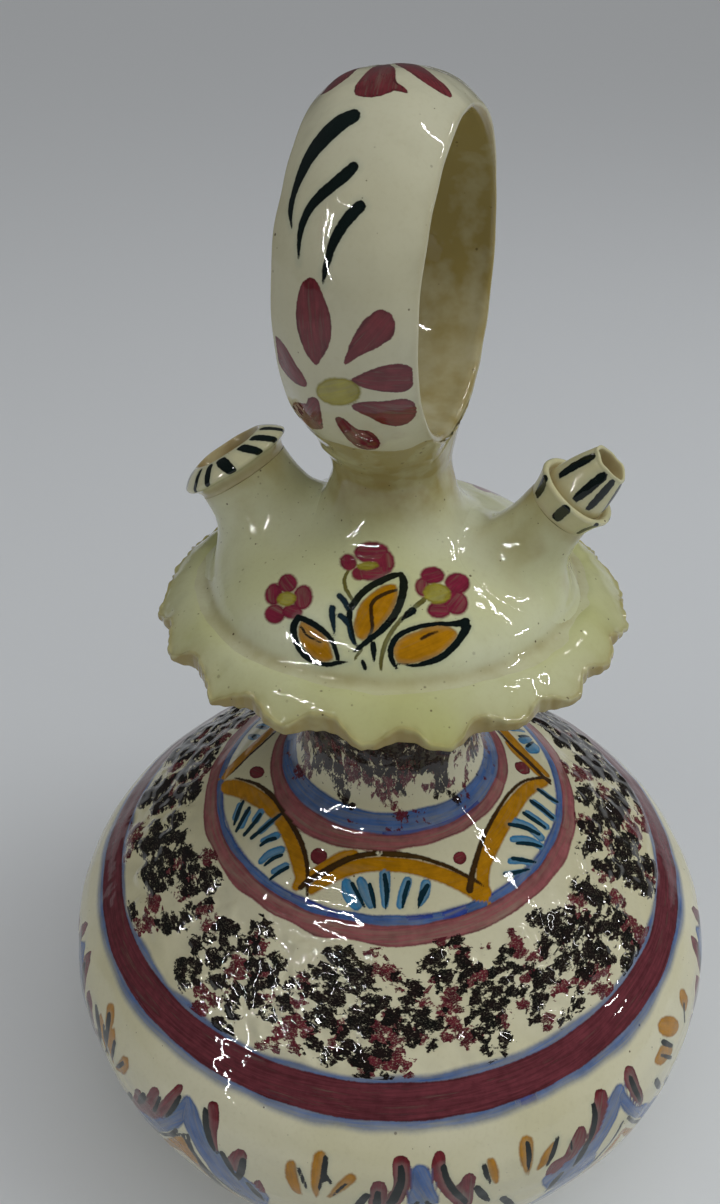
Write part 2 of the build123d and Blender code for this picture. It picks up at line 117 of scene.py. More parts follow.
        ("bur", 0, (-38.63,34.96,-40.26,35.89,-42.31,36.46,-44.48,36.6,-46.36,36.25,-47.69,35.48,-48.2,34.41,-47.72,33.24,-46.24,32.2,-43.99,31.54,-41.44,31.39,-39.26,31.82,-37.98,32.71,-37.78,33.83)),
        ("bur", 0, (-44.09,39.53,-45.34,40.5,-47.03,41.13,-48.87,41.35,-50.55,41.1,-51.78,40.41,-52.35,39.38,-52.07,38.21,-50.93,37.11,-49.09,36.34,-46.97,36.1,-45.08,36.44,-43.84,37.25,-43.52,38.37)),
        ("bur", 0, (-51.71,40.15,-52.47,40.79,-53.78,41.22,-55.37,41.35,-56.97,41.19,-58.29,40.74,-59.09,40.06,-59.19,39.3,-58.53,38.6,-57.19,38.08,-55.45,37.89,-53.72,38.1,-52.37,38.66,-51.66,39.39)),
        ("yel", 1, (-48.34,36.7,-49.82,37.67,-51.98,38.24,-54.39,38.3,-56.72,37.9,-58.58,37.07,-59.61,35.93,-59.53,34.66,-58.26,33.57,-55.94,32.84,-53.09,32.73,-50.41,33.24,-48.53,34.22,-47.84,35.48)),
        ("olv", 0, (-96.93,29.84,-97,30.44,-97.03,31.35,-96.68,32.35,-95.87,33.29,-94.83,34.19,-93.58,35.09,-91.97,36.04,-90.3,36.91,-89.19,37.53,-88.64,37.67,-88.16,37.54,-88.01,37.2,-88.3,36.86,-89.4,36.23,-91,35.32,-92.43,34.46,-93.45,33.69,-94.29,32.93,-94.88,32.24,-95.15,31.49,-95.18,30.68,-95.17,30.09,-95.4,29.74,-96.01,29.52,-96.66,29.56)),
        ("olv", 0, (-60.14,35.88,-61.25,36.33,-62.79,36.99,-64.3,37.71,-65.67,38.44,-67,39.16,-68.16,39.82,-69.09,40.37,-69.89,40.89,-70.69,41.46,-71.51,42.11,-72.31,42.78,-73.05,43.47,-73.72,44.19,-74.34,44.88,-74.86,45.59,-75.29,46.29,-75.63,46.95,-75.9,47.56,-76.08,48.19,-76.18,48.8,-76.24,49.32,-76.25,49.8,-76.22,50.2,-76.14,50.53,-75.98,50.81,-75.78,51.01,-75.64,51.15,-75.61,51.17,-75.55,51.17,-75.5,51.16,-75.48,51.14,-75.41,51,-75.32,50.79,-75.24,50.51,-75.18,50.19,-75.13,49.82,-75.05,49.37,-74.92,48.9,-74.75,48.34,-74.53,47.78,-74.24,47.23,-73.89,46.67,-73.48,46.04,-72.98,45.39,-72.41,44.74,-71.78,44.09,-71.1,43.4,-70.37,42.74,-69.61,42.14,-68.88,41.64,-68.12,41.16,-67.2,40.64,-66.03,40.03,-64.69,39.39,-63.32,38.75,-61.83,38.09,-60.32,37.47,-59.23,37.05,-58.68,36.63,-58.7,36.11,-59.31,35.79)),
        ("olv", 0, (-82.36,47.71,-82.63,48.03,-82.99,48.49,-83.29,48.96,-83.49,49.36,-83.62,49.74,-83.71,50,-83.71,50.04,-83.65,50.06,-83.57,50.06,-83.51,50.03,-83.23,49.82,-82.83,49.5,-82.44,49.17,-82.04,48.8,-81.64,48.36,-81.36,48.05,-81.31,47.79,-81.59,47.57,-82.03,47.54)),
        ("dk", 2, (-81.5,50.05,-81.25,50.27,-80.91,50.57,-80.66,50.79,-80.3,50.91,-79.81,50.91,-79.48,50.79,-79.5,50.57,-79.73,50.34,-80.04,50.03,-80.28,49.76,-80.68,49.57,-81.2,49.58,-81.54,49.79)),
        ("dkb", 2, (-94.91,37.36,-94.2,37.62,-93.24,38.01,-92.35,38.42,-91.36,38.99,-90.29,39.65,-89.56,40.14,-88.85,40.39,-88.14,40.26,-87.84,39.84,-88.12,39.35,-88.8,38.81,-89.87,38,-91.05,37.27,-92.29,36.78,-93.46,36.43,-94.26,36.22,-95.09,36.16,-95.62,36.48,-95.54,36.97)),
        ("dkb", 2, (-96.16,40.4,-95.85,40.89,-95.37,41.6,-94.82,42.33,-94.15,43.02,-93.44,43.69,-92.74,44.34,-92.01,44.99,-91.28,45.65,-90.78,46.11,-90.71,46.15,-90.62,46.15,-90.55,46.11,-90.56,46.05,-90.76,45.52,-91.06,44.75,-91.41,43.97,-91.8,43.24,-92.22,42.54,-92.58,41.9,-92.94,41.22,-93.3,40.54,-93.56,40.05,-94.3,39.49,-95.39,39.36,-96.17,39.74)),
        ("dkb", 2, (-91.49,42.16,-90.87,42.37,-90.04,42.68,-89.28,42.99,-88.65,43.25,-88.09,43.5,-87.64,43.79,-87.23,44.31,-86.84,45,-86.38,45.68,-85.85,46.25,-85.34,46.69,-84.84,47,-84.29,47.24,-83.76,47.39,-83.41,47.49,-83.26,47.52,-83.12,47.48,-83.07,47.4,-83.13,47.31,-83.3,47.1,-83.54,46.81,-83.8,46.48,-84.13,46.11,-84.51,45.71,-84.84,45.27,-85.11,44.69,-85.42,43.95,-85.9,43.17,-86.61,42.53,-87.37,42.06,-88.17,41.68,-89.15,41.34,-90.16,41.08,-90.86,40.93,-91.67,40.91,-92.18,41.28,-92.09,41.8)),
        ("och", 0, (-103.39,44.84,-101.61,44.72,-99.18,45.12,-97.16,45.41,-95.28,45.89,-93.66,46.54,-92.31,47.26,-91.21,48.07,-90.35,48.95,-89.64,49.71,-89.55,50.28,-90.78,50.64,-92.49,50.85,-94.17,50.77,-95.89,50.54,-97.59,50.13,-99.24,49.54,-100.83,48.75,-102.17,47.71,-103.17,46.21)),
        ("dk", 2, (-105.88,44.22,-106.07,44.79,-106.3,45.68,-106.17,46.67,-105.63,47.48,-104.85,48.19,-103.97,48.84,-103.07,49.36,-102.09,49.82,-101.11,50.2,-100.07,50.56,-98.98,50.87,-97.88,51.05,-96.74,51.18,-95.56,51.26,-94.36,51.33,-93.11,51.33,-91.84,51.3,-90.61,51.22,-89.49,51.08,-88.5,50.91,-87.57,50.76,-86.46,50.55,-85.29,50.3,-84.48,50.11,-84.42,50.08,-84.4,50.05,-84.45,50.02,-84.54,50.02,-85.43,50.08,-86.73,50.13,-88.01,50.22,-89.06,50.38,-89.97,50.57,-90.84,50.71,-91.84,50.78,-92.92,50.8,-93.98,50.74,-94.96,50.63,-95.89,50.49,-96.79,50.32,-97.71,50.1,-98.67,49.81,-99.6,49.45,-100.47,49.05,-101.3,48.57,-102.02,48.07,-102.65,47.51,-103.17,46.93,-103.52,46.41,-103.7,45.78,-103.73,45.01,-103.73,44.44,-103.98,43.97,-104.74,43.7,-105.53,43.8)),
        ("dk", 2, (-105.07,44.72,-103.97,44.78,-102.43,44.89,-100.86,45.07,-99.32,45.29,-97.77,45.52,-96.3,45.83,-94.89,46.23,-93.57,46.69,-92.47,47.14,-91.64,47.56,-90.95,48.03,-90.3,48.56,-89.65,49.17,-89.09,49.77,-88.73,50.15,-88.41,50.29,-87.94,50.3,-87.59,50.16,-87.57,49.96,-87.89,49.51,-88.39,48.84,-89.01,48.1,-89.67,47.49,-90.42,46.9,-91.4,46.31,-92.66,45.73,-94.12,45.17,-95.67,44.69,-97.3,44.31,-99,44,-100.7,43.74,-102.46,43.6,-104.11,43.57,-105.24,43.58,-105.92,43.75,-106.13,44.16,-105.78,44.55)),
        ("dk", 2, (-102.7,46.17,-101.83,46.56,-100.64,47.07,-99.38,47.51,-98.15,47.73,-96.91,47.86,-95.89,47.96,-95.14,48.03,-94.56,48.06,-94.18,48.08,-94,48.05,-93.92,47.96,-93.97,47.86,-94.13,47.8,-94.5,47.74,-95.05,47.66,-95.78,47.55,-96.79,47.43,-97.96,47.29,-99.06,47.1,-100.16,46.71,-101.35,46.16,-102.22,45.77,-102.56,45.71,-102.84,45.8,-102.9,45.99)),
        ("och", 0, (-85.71,41.82,-85.69,40.07,-85.28,38.15,-83.86,36.63,-81.83,35.25,-79.42,33.77,-76.66,32.57,-73.62,32.03,-71.12,32.24,-70.11,33.48,-70.07,35.2,-70.68,37.01,-71.71,38.78,-72.97,40.12,-74.38,41.36,-75.88,42.67,-77.34,43.87,-78.65,44.77,-79.84,45.43,-80.81,46.03,-81.74,46.34,-82.92,46.1,-84.05,45.52,-84.95,44.63,-85.59,43.59,-85.78,42.79)),
        ("dk", 2, (-86.75,39.53,-86.32,38.79,-85.7,37.72,-84.94,36.71,-84.05,35.87,-82.96,35.01,-81.7,34.22,-80.25,33.49,-78.58,32.82,-76.84,32.13,-75.08,31.48,-73.34,30.89,-71.8,30.4,-70.34,29.97,-68.93,29.6,-67.9,29.35,-67.27,29.12,-67.06,28.71,-67.43,28.35,-68.17,28.27,-69.33,28.27,-71.07,28.32,-73.05,28.55,-74.99,29.02,-76.9,29.65,-78.72,30.34,-80.53,31.01,-82.35,31.77,-83.99,32.64,-85.4,33.57,-86.62,34.55,-87.63,35.6,-88.4,36.81,-88.93,38,-89.26,38.82,-89.15,39.46,-88.38,39.93,-87.4,39.96)),
        ("dk", 2, (-69.37,29.5,-69.3,30.14,-69.26,30.97,-69.35,31.77,-69.51,32.76,-69.76,33.97,-70.14,35.2,-70.64,36.37,-71.24,37.51,-71.91,38.58,-72.66,39.53,-73.49,40.41,-74.36,41.26,-75.26,42.05,-76.2,42.79,-77.15,43.5,-78.11,44.14,-79.12,44.73,-80.14,45.34,-81.14,46.05,-82.07,46.76,-82.84,47.33,-83.43,47.83,-83.9,48.28,-84.21,48.59,-84.25,48.63,-84.22,48.68,-84.15,48.71,-84.07,48.69,-83.52,48.54,-82.72,48.3,-81.82,47.96,-80.87,47.47,-79.84,46.89,-78.82,46.31,-77.82,45.74,-76.76,45.18,-75.66,44.57,-74.58,43.89,-73.49,43.14,-72.44,42.35,-71.41,41.47,-70.41,40.48,-69.45,39.44,-68.56,38.29,-67.73,37.05,-66.96,35.8,-66.21,34.47,-65.53,33.11,-65.14,31.75,-65.39,30.49,-66.08,29.54,-66.61,28.96,-67.28,28.48,-68.41,28.44,-69.28,28.87)),
        ("dk", 2, (-89.49,39.47,-89.23,40.21,-88.85,41.27,-88.38,42.32,-87.84,43.21,-87.23,44.06,-86.51,44.89,-85.52,45.85,-84.47,46.79,-83.77,47.38,-83.59,47.46,-83.37,47.45,-83.24,47.35,-83.26,47.21,-83.72,46.53,-84.43,45.46,-85.08,44.46,-85.61,43.64,-86.08,42.86,-86.45,42.09,-86.7,41.15,-86.87,40.14,-86.99,39.41,-87.49,38.83,-88.46,38.6,-89.29,38.88)),
        ("brn", 1, (-70.96,33.43,-72.28,33.67,-74.13,34.03,-75.92,34.48,-77.49,35.03,-78.97,35.66,-80.13,36.28,-80.92,36.86,-81.4,37.52,-81.53,38.39,-81.28,39.47,-80.82,40.63,-80.42,41.66,-80.12,42.44,-79.87,43.11,-79.78,43.7,-79.94,44.38,-80.26,45.05,-80.5,45.53,-80.48,45.75,-80.25,45.9,-79.93,45.91,-79.71,45.76,-79.4,45.29,-78.96,44.61,-78.66,43.82,-78.67,43.05,-78.85,42.32,-79.07,41.51,-79.37,40.46,-79.72,39.35,-79.87,38.44,-79.77,37.92,-79.51,37.56,-78.95,37.13,-77.97,36.56,-76.64,35.99,-75.22,35.45,-73.6,34.98,-71.86,34.59,-70.6,34.3,-70.18,34.08,-70.11,33.73,-70.43,33.46)),
        ("och", 0, (-71.53,46.21,-70.09,45.39,-68.17,44.63,-66,44.2,-63.73,43.78,-61.58,43.1,-59.53,42.54,-57.78,42.23,-56.1,42.3,-54.22,43.24,-52.73,44.39,-51.9,45.12,-51.8,45.79,-52.64,46.53,-54.04,47.22,-55.85,47.93,-57.84,48.65,-59.66,49.2,-61.49,49.59,-63.47,49.85,-65.4,50.04,-67.11,50.11,-68.63,50.15,-69.96,50.11,-71.04,49.91,-71.78,49.32,-72.25,48.54,-72.46,47.9,-72.4,47.32,-72.18,46.81)),
        ("dk", 2, (-47.42,42.49,-48.43,42.58,-49.85,42.72,-51.31,42.8,-52.77,42.69,-54.42,42.51,-56.17,42.38,-57.98,42.33,-59.8,42.28,-61.58,42.31,-63.26,42.44,-64.87,42.66,-66.39,42.9,-67.85,43.22,-69.25,43.62,-70.49,44.1,-71.5,44.61,-72.34,45.16,-73,45.76,-73.49,46.44,-73.82,47.12,-73.96,47.79,-73.9,48.47,-73.66,49.1,-73.3,49.62,-72.73,50.09,-72.07,50.44,-71.62,50.65,-71.39,50.71,-71.11,50.68,-70.95,50.57,-71,50.45,-71.27,50.18,-71.63,49.78,-71.9,49.34,-72.08,48.9,-72.22,48.37,-72.23,47.89,-72.07,47.42,-71.76,46.94,-71.36,46.46,-70.87,45.98,-70.27,45.53,-69.5,45.1,-68.5,44.69,-67.29,44.31,-65.97,43.98,-64.59,43.7,-63.12,43.45,-61.58,43.3,-59.93,43.25,-58.21,43.3,-56.52,43.38,-54.91,43.57,-53.34,43.85,-51.82,44.12,-50.26,44.27,-48.83,44.36,-47.88,44.44,-46.73,44.18,-46.08,43.5,-46.35,42.79)),
        ("dk", 2, (-49.26,43.96,-50.14,44.61,-51.32,45.5,-52.45,46.28,-53.48,46.86,-54.51,47.36,-55.65,47.84,-56.94,48.32,-58.3,48.79,-59.62,49.12,-61.01,49.38,-62.5,49.63,-63.92,49.85,-65.2,50.03,-66.4,50.08,-67.54,50.09,-68.73,50.03,-69.9,49.93,-70.73,49.85,-70.85,49.86,-70.93,49.91,-70.91,49.98,-70.82,50.01,-70.02,50.12,-68.86,50.3,-67.61,50.44,-66.37,50.52,-65.06,50.56,-63.66,50.48,-62.13,50.38,-60.5,50.26,-58.91,50.1,-57.38,49.76,-55.92,49.32,-54.56,48.87,-53.29,48.37,-52.09,47.86,-50.88,47.3,-49.49,46.6,-48.05,45.82,-47.02,45.29,-46.44,44.58,-46.84,43.87,-48.01,43.59)),
        ("brn", 1, (-63.29,45.99,-62.74,45.81,-61.95,45.57,-61.09,45.34,-60.05,45.13,-58.9,44.94,-58.07,44.81,-57.77,44.68,-57.69,44.47,-57.86,44.3,-58.19,44.27,-59.04,44.35,-60.24,44.49,-61.37,44.66,-62.32,44.87,-63.17,45.11,-63.73,45.27,-64.06,45.5,-64.06,45.81,-63.74,46.01)),
        ("dk", 2, (-65.56,38.31,-66.09,38.55,-66.86,38.91,-67.66,39.37,-68.4,40.01,-69.07,40.73,-69.52,41.24,-69.63,41.4,-69.55,41.57,-69.32,41.64,-69.08,41.57,-68.33,41.32,-67.26,40.97,-66.3,40.68,-65.53,40.44,-64.8,40.19,-64.27,40,-63.54,39.41,-63.59,38.67,-64.43,38.2)),
        ("dk", 2, (-79.29,46.88,-79.18,47.22,-79.01,47.71,-78.81,48.22,-78.5,48.81,-78.17,49.4,-77.93,49.8,-77.88,49.86,-77.76,49.88,-77.65,49.85,-77.61,49.78,-77.45,49.37,-77.25,48.73,-77.15,48.06,-77.25,47.48,-77.45,46.97,-77.61,46.63,-78,46.26,-78.66,46.2,-79.2,46.46)),
    ),
    "shoulder": (
        ("brn", 1, (-101.08,54.01,-100.56,53.32,-99.78,52.36,-98.9,51.41,-97.87,50.54,-96.63,49.63,-95.33,48.68,-94.11,47.68,-92.92,46.68,-91.68,45.74,-90.36,44.87,-88.99,44.07,-87.56,43.38,-86.1,42.81,-84.56,42.3,-82.85,41.84,-80.64,41.4,-78.22,41.07,-76.41,40.89,-75.88,39.21,-78.49,40.01,-76.54,41,-74.33,41.06,-71.29,41.19,-68.26,41.35,-65.5,41.58,-62.78,41.93,-60.35,42.41,-58.3,42.99,-56.46,43.63,-54.65,44.34,-52.83,45.14,-51.1,46.03,-49.55,46.94,-48.18,47.82,-46.94,48.7,-45.83,49.55,-44.83,50.37,-43.89,51.11,-43.07,51.77,-42.31,52.41,-41.65,53.01,-41.19,53.43,-41,53.54,-40.75,53.52,-40.58,53.39,-40.61,53.22,-40.89,52.73,-41.33,52.02,-41.92,51.26,-42.65,50.5,-43.54,49.7,-44.55,48.89,-45.64,47.98,-46.86,47.04,-48.24,46.09,-49.84,45.14,-51.62,44.21,-53.47,43.35,-55.32,42.59,-57.25,41.87,-59.46,41.19,-62.05,40.57,-64.88,40.07,-67.76,39.7,-70.93,39.42,-74.14,39.23,-76.39,39.13,-75.37,40.07,-77.02,40.81,-77.05,39.26,-78.83,39.5,-81.37,39.91,-83.75,40.41,-85.67,40.88,-87.44,41.39,-89.17,41.98,-90.84,42.73,-92.38,43.57,-93.84,44.47,-95.22,45.43,-96.51,46.43,-97.68,47.43,-98.83,48.43,-99.98,49.45,-101.02,50.49,-101.82,51.63,-102.42,52.73,-102.79,53.49,-102.79,53.98,-102.29,54.33,-101.59,54.34)),
        ("och", 0, (-97.76,53.45,-97.02,52.79,-95.93,51.85,-94.72,50.9,-93.47,49.98,-92.07,49.02,-90.56,48.13,-88.94,47.3,-87.24,46.54,-85.52,45.92,-83.81,45.4,-82.01,45.01,-80.08,44.68,-77.7,44.41,-75.18,44.26,-73.48,44.21,-74.28,41.45,-75.98,41.46,-76.26,44.27,-74.34,44.29,-71.47,44.36,-68.66,44.48,-66.22,44.78,-63.8,45.23,-61.56,45.79,-59.57,46.42,-57.73,47.09,-55.91,47.78,-54.11,48.57,-52.4,49.45,-50.8,50.39,-49.29,51.38,-47.91,52.4,-46.77,53.36,-45.93,54.23,-45.27,55.04,-44.69,55.76,-44.05,56.39,-43.44,56.98,-43.01,57.42,-42.35,57.94,-41.36,57.97,-40.59,57.5,-40.51,56.78,-40.55,56.22,-40.66,55.37,-41,54.43,-41.63,53.53,-42.49,52.62,-43.57,51.66,-44.91,50.62,-46.42,49.5,-48.04,48.43,-49.77,47.42,-51.64,46.45,-53.59,45.56,-55.57,44.78,-57.65,44.08,-59.9,43.39,-62.41,42.75,-65.11,42.23,-67.91,41.87,-71.1,41.66,-74.25,41.55,-76.07,41.5,-75.62,44.22,-74.26,44.2,-74.09,41.5,-75.61,41.58,-78.35,41.77,-81.04,42.11,-83.24,42.55,-85.35,43.09,-87.42,43.75,-89.39,44.59,-91.17,45.57,-92.76,46.61,-94.22,47.69,-95.54,48.81,-96.66,49.92,-97.59,51.1,-98.33,52.23,-98.81,53.02,-98.88,53.36,-98.6,53.62,-98.14,53.66)),
        ("och", 0, (-99.12,50.08,-98.2,49.23,-96.83,48.03,-95.36,46.81,-93.85,45.62,-92.22,44.44,-90.72,43.52,-89.33,42.89,-87.98,42.41,-86.98,42.09,-86.39,41.73,-86.41,41.22,-87.03,40.85,-87.9,40.85,-89.06,41.06,-90.79,41.44,-92.66,42.13,-94.44,43.19,-96.13,44.47,-97.59,45.77,-98.88,47.14,-100.03,48.47,-100.8,49.37,-100.92,49.85,-100.47,50.26,-99.73,50.37)),
        ("brn", 1, (-159.37,51.49,-158.34,50.54,-156.81,49.23,-155.08,47.96,-153.46,46.85,-151.8,45.78,-149.92,44.8,-147.74,43.9,-145.31,43.1,-142.76,42.46,-140.23,41.95,-137.74,41.55,-135.22,41.29,-132.6,41.2,-129.85,41.27,-127.13,41.41,-124.57,41.56,-122.16,41.75,-119.89,42.04,-117.75,42.41,-115.74,42.85,-113.83,43.37,-111.99,43.96,-110.28,44.59,-108.7,45.28,-107.3,46,-106.03,46.76,-104.85,47.63,-103.74,48.63,-102.71,49.74,-101.75,50.92,-100.78,52.31,-99.89,53.76,-99.31,54.77,-99.04,54.98,-98.65,54.98,-98.36,54.77,-98.34,54.48,-98.79,53.46,-99.49,52,-100.32,50.53,-101.17,49.27,-102.12,48.05,-103.2,46.92,-104.4,45.92,-105.69,45.04,-107.12,44.21,-108.73,43.41,-110.5,42.67,-112.39,42.01,-114.41,41.44,-116.56,40.95,-118.85,40.53,-121.29,40.2,-123.83,39.97,-126.42,39.8,-129.15,39.64,-132.1,39.54,-135.1,39.64,-138.02,39.95,-140.9,40.43,-143.79,41.08,-146.59,41.92,-149.16,42.94,-151.42,44.07,-153.33,45.27,-155.02,46.51,-156.61,47.77,-158.13,49.15,-159.4,50.52,-160.23,51.49,-160.3,51.71,-160.08,51.79,-159.7,51.7)),
        ("och", 0, (-156.26,55.31,-154.68,53.98,-152.69,52.29,-150.75,50.88,-148.76,49.7,-146.3,48.45,-143.59,47.3,-140.85,46.33,-138.4,45.48,-135.98,44.81,-133.53,44.3,-131.05,43.94,-128.71,43.79,-126.6,43.82,-124.57,43.99,-122.43,44.27,-120.24,44.66,-118.13,45.16,-116.16,45.73,-114.33,46.36,-112.65,47.01,-111.17,47.67,-109.81,48.38,-108.56,49.15,-107.35,49.92,-106.12,50.64,-105.12,51.24,-104.57,51.61,-104.28,52.11,-104.18,52.92,-104.16,53.57,-104.02,54.06,-103.43,54.33,-102.74,54.25,-102.34,53.85,-101.91,53.24,-101.32,52.25,-101.21,50.97,-102.01,49.77,-103.16,48.84,-104.32,48.04,-105.56,47.25,-107.04,46.45,-108.62,45.69,-110.28,44.97,-112.05,44.31,-114,43.68,-116.19,43.07,-118.5,42.56,-120.77,42.11,-122.92,41.69,-125.23,41.29,-127.97,41.04,-131.1,41.02,-134.33,41.25,-137.55,41.75,-140.76,42.52,-144.06,43.51,-147.16,44.67,-150.19,46.01,-153.15,47.63,-156.07,49.61,-158.29,51.91,-159.63,54.04,-160.4,55.48,-160.62,56.52,-159.52,56.87,-157.73,56.35)),
        ("brn", 1, (-44.61,53.34,-43.91,52.45,-42.85,51.19,-41.6,49.94,-40.1,48.78,-38.32,47.61,-36.42,46.48,-34.55,45.43,-32.65,44.46,-30.57,43.6,-28.16,42.84,-25.51,42.21,-22.67,41.69,-19.62,41.27,-16.33,40.96,-12.93,40.79,-9.64,40.8,-6.35,40.94,-3.17,41.29,-0.15,41.87,2.86,42.63,5.58,43.53,7.8,44.5,9.66,45.56,11.34,46.74,12.97,48.11,14.57,49.6,15.75,50.91,16.25,51.99,16.35,52.93,16.38,53.61,16.7,54.08,17.44,54.51,18.17,54.64,18.47,54.4,18.46,53.7,18.37,52.63,17.81,51.27,16.54,49.7,14.77,48.02,12.94,46.49,11.18,45.15,9.15,43.92,6.67,42.77,3.68,41.74,0.37,40.88,-2.99,40.22,-6.47,39.83,-9.97,39.67,-13.42,39.66,-16.96,39.81,-20.4,40.11,-23.59,40.52,-26.56,41.05,-29.38,41.7,-31.97,42.47,-34.23,43.36,-36.27,44.35,-38.21,45.4,-40.17,46.53,-42.06,47.76,-43.72,49,-45.13,50.29,-46.28,51.49,-47.02,52.33,-47.14,53.07,-46.48,53.67,-45.44,53.78)),
        ("och", 0, (-40.02,56.25,-39.95,55.44,-39.82,54.32,-39.42,53.19,-38.61,52.08,-37.44,50.93,-36.07,49.92,-34.52,49.14,-32.8,48.53,-31.02,47.98,-28.99,47.34,-26.72,46.73,-24.24,46.18,-21.61,45.71,-18.89,45.35,-16.13,45.1,-13.37,44.96,-10.63,44.95,-7.78,45.05,-4.78,45.23,-1.99,45.51,0.54,45.95,3.09,46.57,5.51,47.39,7.77,48.3,10.11,49.46,12.37,50.8,13.96,51.84,15.27,52.48,16.51,52.64,16.97,52.21,16.38,51.42,14.96,50.18,12.87,48.46,10.55,46.79,7.99,45.42,5.07,44.21,1.75,43.2,-1.66,42.44,-5,41.92,-8.27,41.58,-11.4,41.33,-14.64,41.22,-17.95,41.3,-21.18,41.54,-24.34,41.97,-27.3,42.55,-30.04,43.23,-32.57,43.99,-34.76,44.92,-36.51,46.04,-37.88,47.27,-39.09,48.52,-40.24,49.84,-41.29,51.2,-42.19,52.5,-42.95,53.78,-43.58,54.96,-43.98,55.75,-43.65,56.8,-42.39,57.36,-40.91,57.14)),
        ("bur", 0, (-97.41,43.89,-97.16,44.84,-97.59,45.76,-98.58,46.49,-99.95,46.86,-101.5,46.8,-102.91,46.35,-103.93,45.59,-104.34,44.65,-104.02,43.71,-103,42.96,-101.47,42.58,-99.78,42.64,-98.33,43.11)),
        ("bur", 0, (-156.28,41.36,-154.54,41.31,-153.34,41.77,-152.88,42.61,-153.17,43.66,-154.12,44.72,-155.62,45.61,-157.39,46.18,-159.04,46.31,-160.29,45.96,-160.92,45.16,-160.76,44.07,-159.8,42.9,-158.19,41.93)),
        ("bur", 0, (-41.85,45.35,-42.64,45.94,-43.76,46.3,-44.99,46.34,-46.09,46.04,-46.91,45.49,-47.27,44.78,-47.1,44.06,-46.39,43.46,-45.26,43.1,-43.94,43.07,-42.72,43.35,-41.87,43.91,-41.57,44.63)),
        ("bur", 0, (14.3,45.59,13.12,44.88,12.46,43.92,12.42,42.88,13.06,41.96,14.33,41.36,16.02,41.22,17.75,41.59,19.09,42.39,19.75,43.43,19.64,44.48,18.82,45.34,17.49,45.85,15.89,45.94)),
        ("lbl", 0, (-89.05,49.71,-88.7,50.44,-88.13,51.53,-87.25,52.66,-85.99,53.6,-84.75,54.24,-83.93,54.65,-82.63,55.02,-81.33,54.59,-80.76,53.59,-81.29,52.59,-81.87,51.99,-82.65,51.19,-83.3,50.54,-83.96,49.9,-84.76,49.12,-85.37,48.53,-86.57,47.79,-88.2,47.83,-89.22,48.64)),
        ("tel", 1, (-85.97,49.09,-85.25,49.73,-84.27,50.63,-83.28,51.54,-82.23,52.44,-81.18,53.36,-80.46,54.01,-80.22,54.12,-79.94,54.07,-79.78,53.89,-79.84,53.68,-80.41,52.95,-81.26,51.91,-82.15,50.91,-83.12,49.98,-84.14,49.09,-84.88,48.48,-85.34,48.31,-85.86,48.42,-86.12,48.73)),
        ("lbl", 0, (-84.06,48.5,-83.5,49.26,-82.72,50.34,-81.92,51.35,-81.01,52.25,-80.04,53.12,-79.37,53.73,-78.65,54.2,-77.71,54.15,-77.08,53.62,-77.12,52.9,-77.38,52.12,-77.79,51.01,-78.36,49.91,-79.24,48.86,-80.29,47.86,-81.06,47.17,-82.18,46.63,-83.55,46.81,-84.31,47.6)),
        ("tel", 1, (-80.05,48.49,-79.66,49.22,-79.13,50.26,-78.63,51.25,-78.15,52.18,-77.69,53.12,-77.37,53.77,-77.18,53.97,-76.87,54.01,-76.61,53.87,-76.56,53.63,-76.67,52.94,-76.84,51.93,-77.13,50.9,-77.65,49.86,-78.29,48.83,-78.76,48.12,-79.14,47.86,-79.68,47.86,-80.05,48.13)),
        ("lbl", 0, (-76.29,45.39,-76.17,46.35,-76.01,47.72,-75.8,49.09,-75.5,50.52,-75.16,51.98,-74.93,53.01,-74.57,53.6,-73.77,53.85,-72.99,53.61,-72.67,53.02,-72.5,51.99,-72.25,50.52,-72.07,49.07,-72.02,47.68,-72.05,46.29,-72.07,45.32,-72.73,44.33,-74.29,43.93,-75.78,44.38)),
        ("tel", 1, (-75.04,45.75,-74.81,46.8,-74.52,48.27,-74.27,49.71,-74.05,51.25,-73.85,52.88,-73.72,54.03,-73.67,54.14,-73.53,54.2,-73.38,54.16,-73.31,54.05,-73.02,52.93,-72.6,51.32,-72.38,49.69,-72.62,48.12,-73.11,46.62,-73.49,45.57,-73.82,45.23,-74.42,45.14,-74.92,45.36)),
        ("lbl", 0, (-67.71,46.92,-68.22,47.7,-68.9,48.82,-69.47,49.94,-69.83,51.05,-70.09,52.15,-70.25,52.9,-70.16,53.59,-69.46,54.01,-68.55,53.93,-67.94,53.39,-67.47,52.7,-66.8,51.73,-66.13,50.74,-65.51,49.68,-64.88,48.59,-64.43,47.81,-64.37,46.89,-65.33,46.22,-66.73,46.23)),
        ("tel", 1, (-66.31,47.4,-66.85,48.19,-67.57,49.33,-68.14,50.5,-68.43,51.66,-68.57,52.79,-68.66,53.57,-68.6,53.78,-68.36,53.89,-68.08,53.84,-67.92,53.66,-67.6,52.91,-67.13,51.85,-66.62,50.8,-66.04,49.72,-65.4,48.59,-64.92,47.8,-64.9,47.41,-65.3,47.12,-65.89,47.12)),
        ("lbl", 0, (-61.43,48.18,-61.79,48.85,-62.26,49.79,-62.63,50.62,-62.9,51.4,-63.19,52.24,-63.4,52.85,-63.5,53.32,-63.13,53.71,-62.5,53.79,-61.98,53.51,-61.32,53.11,-60.36,52.49,-59.45,51.72,-58.78,50.74,-58.27,49.75,-57.91,49.04,-57.95,48.07,-59.02,47.4,-60.48,47.44)),
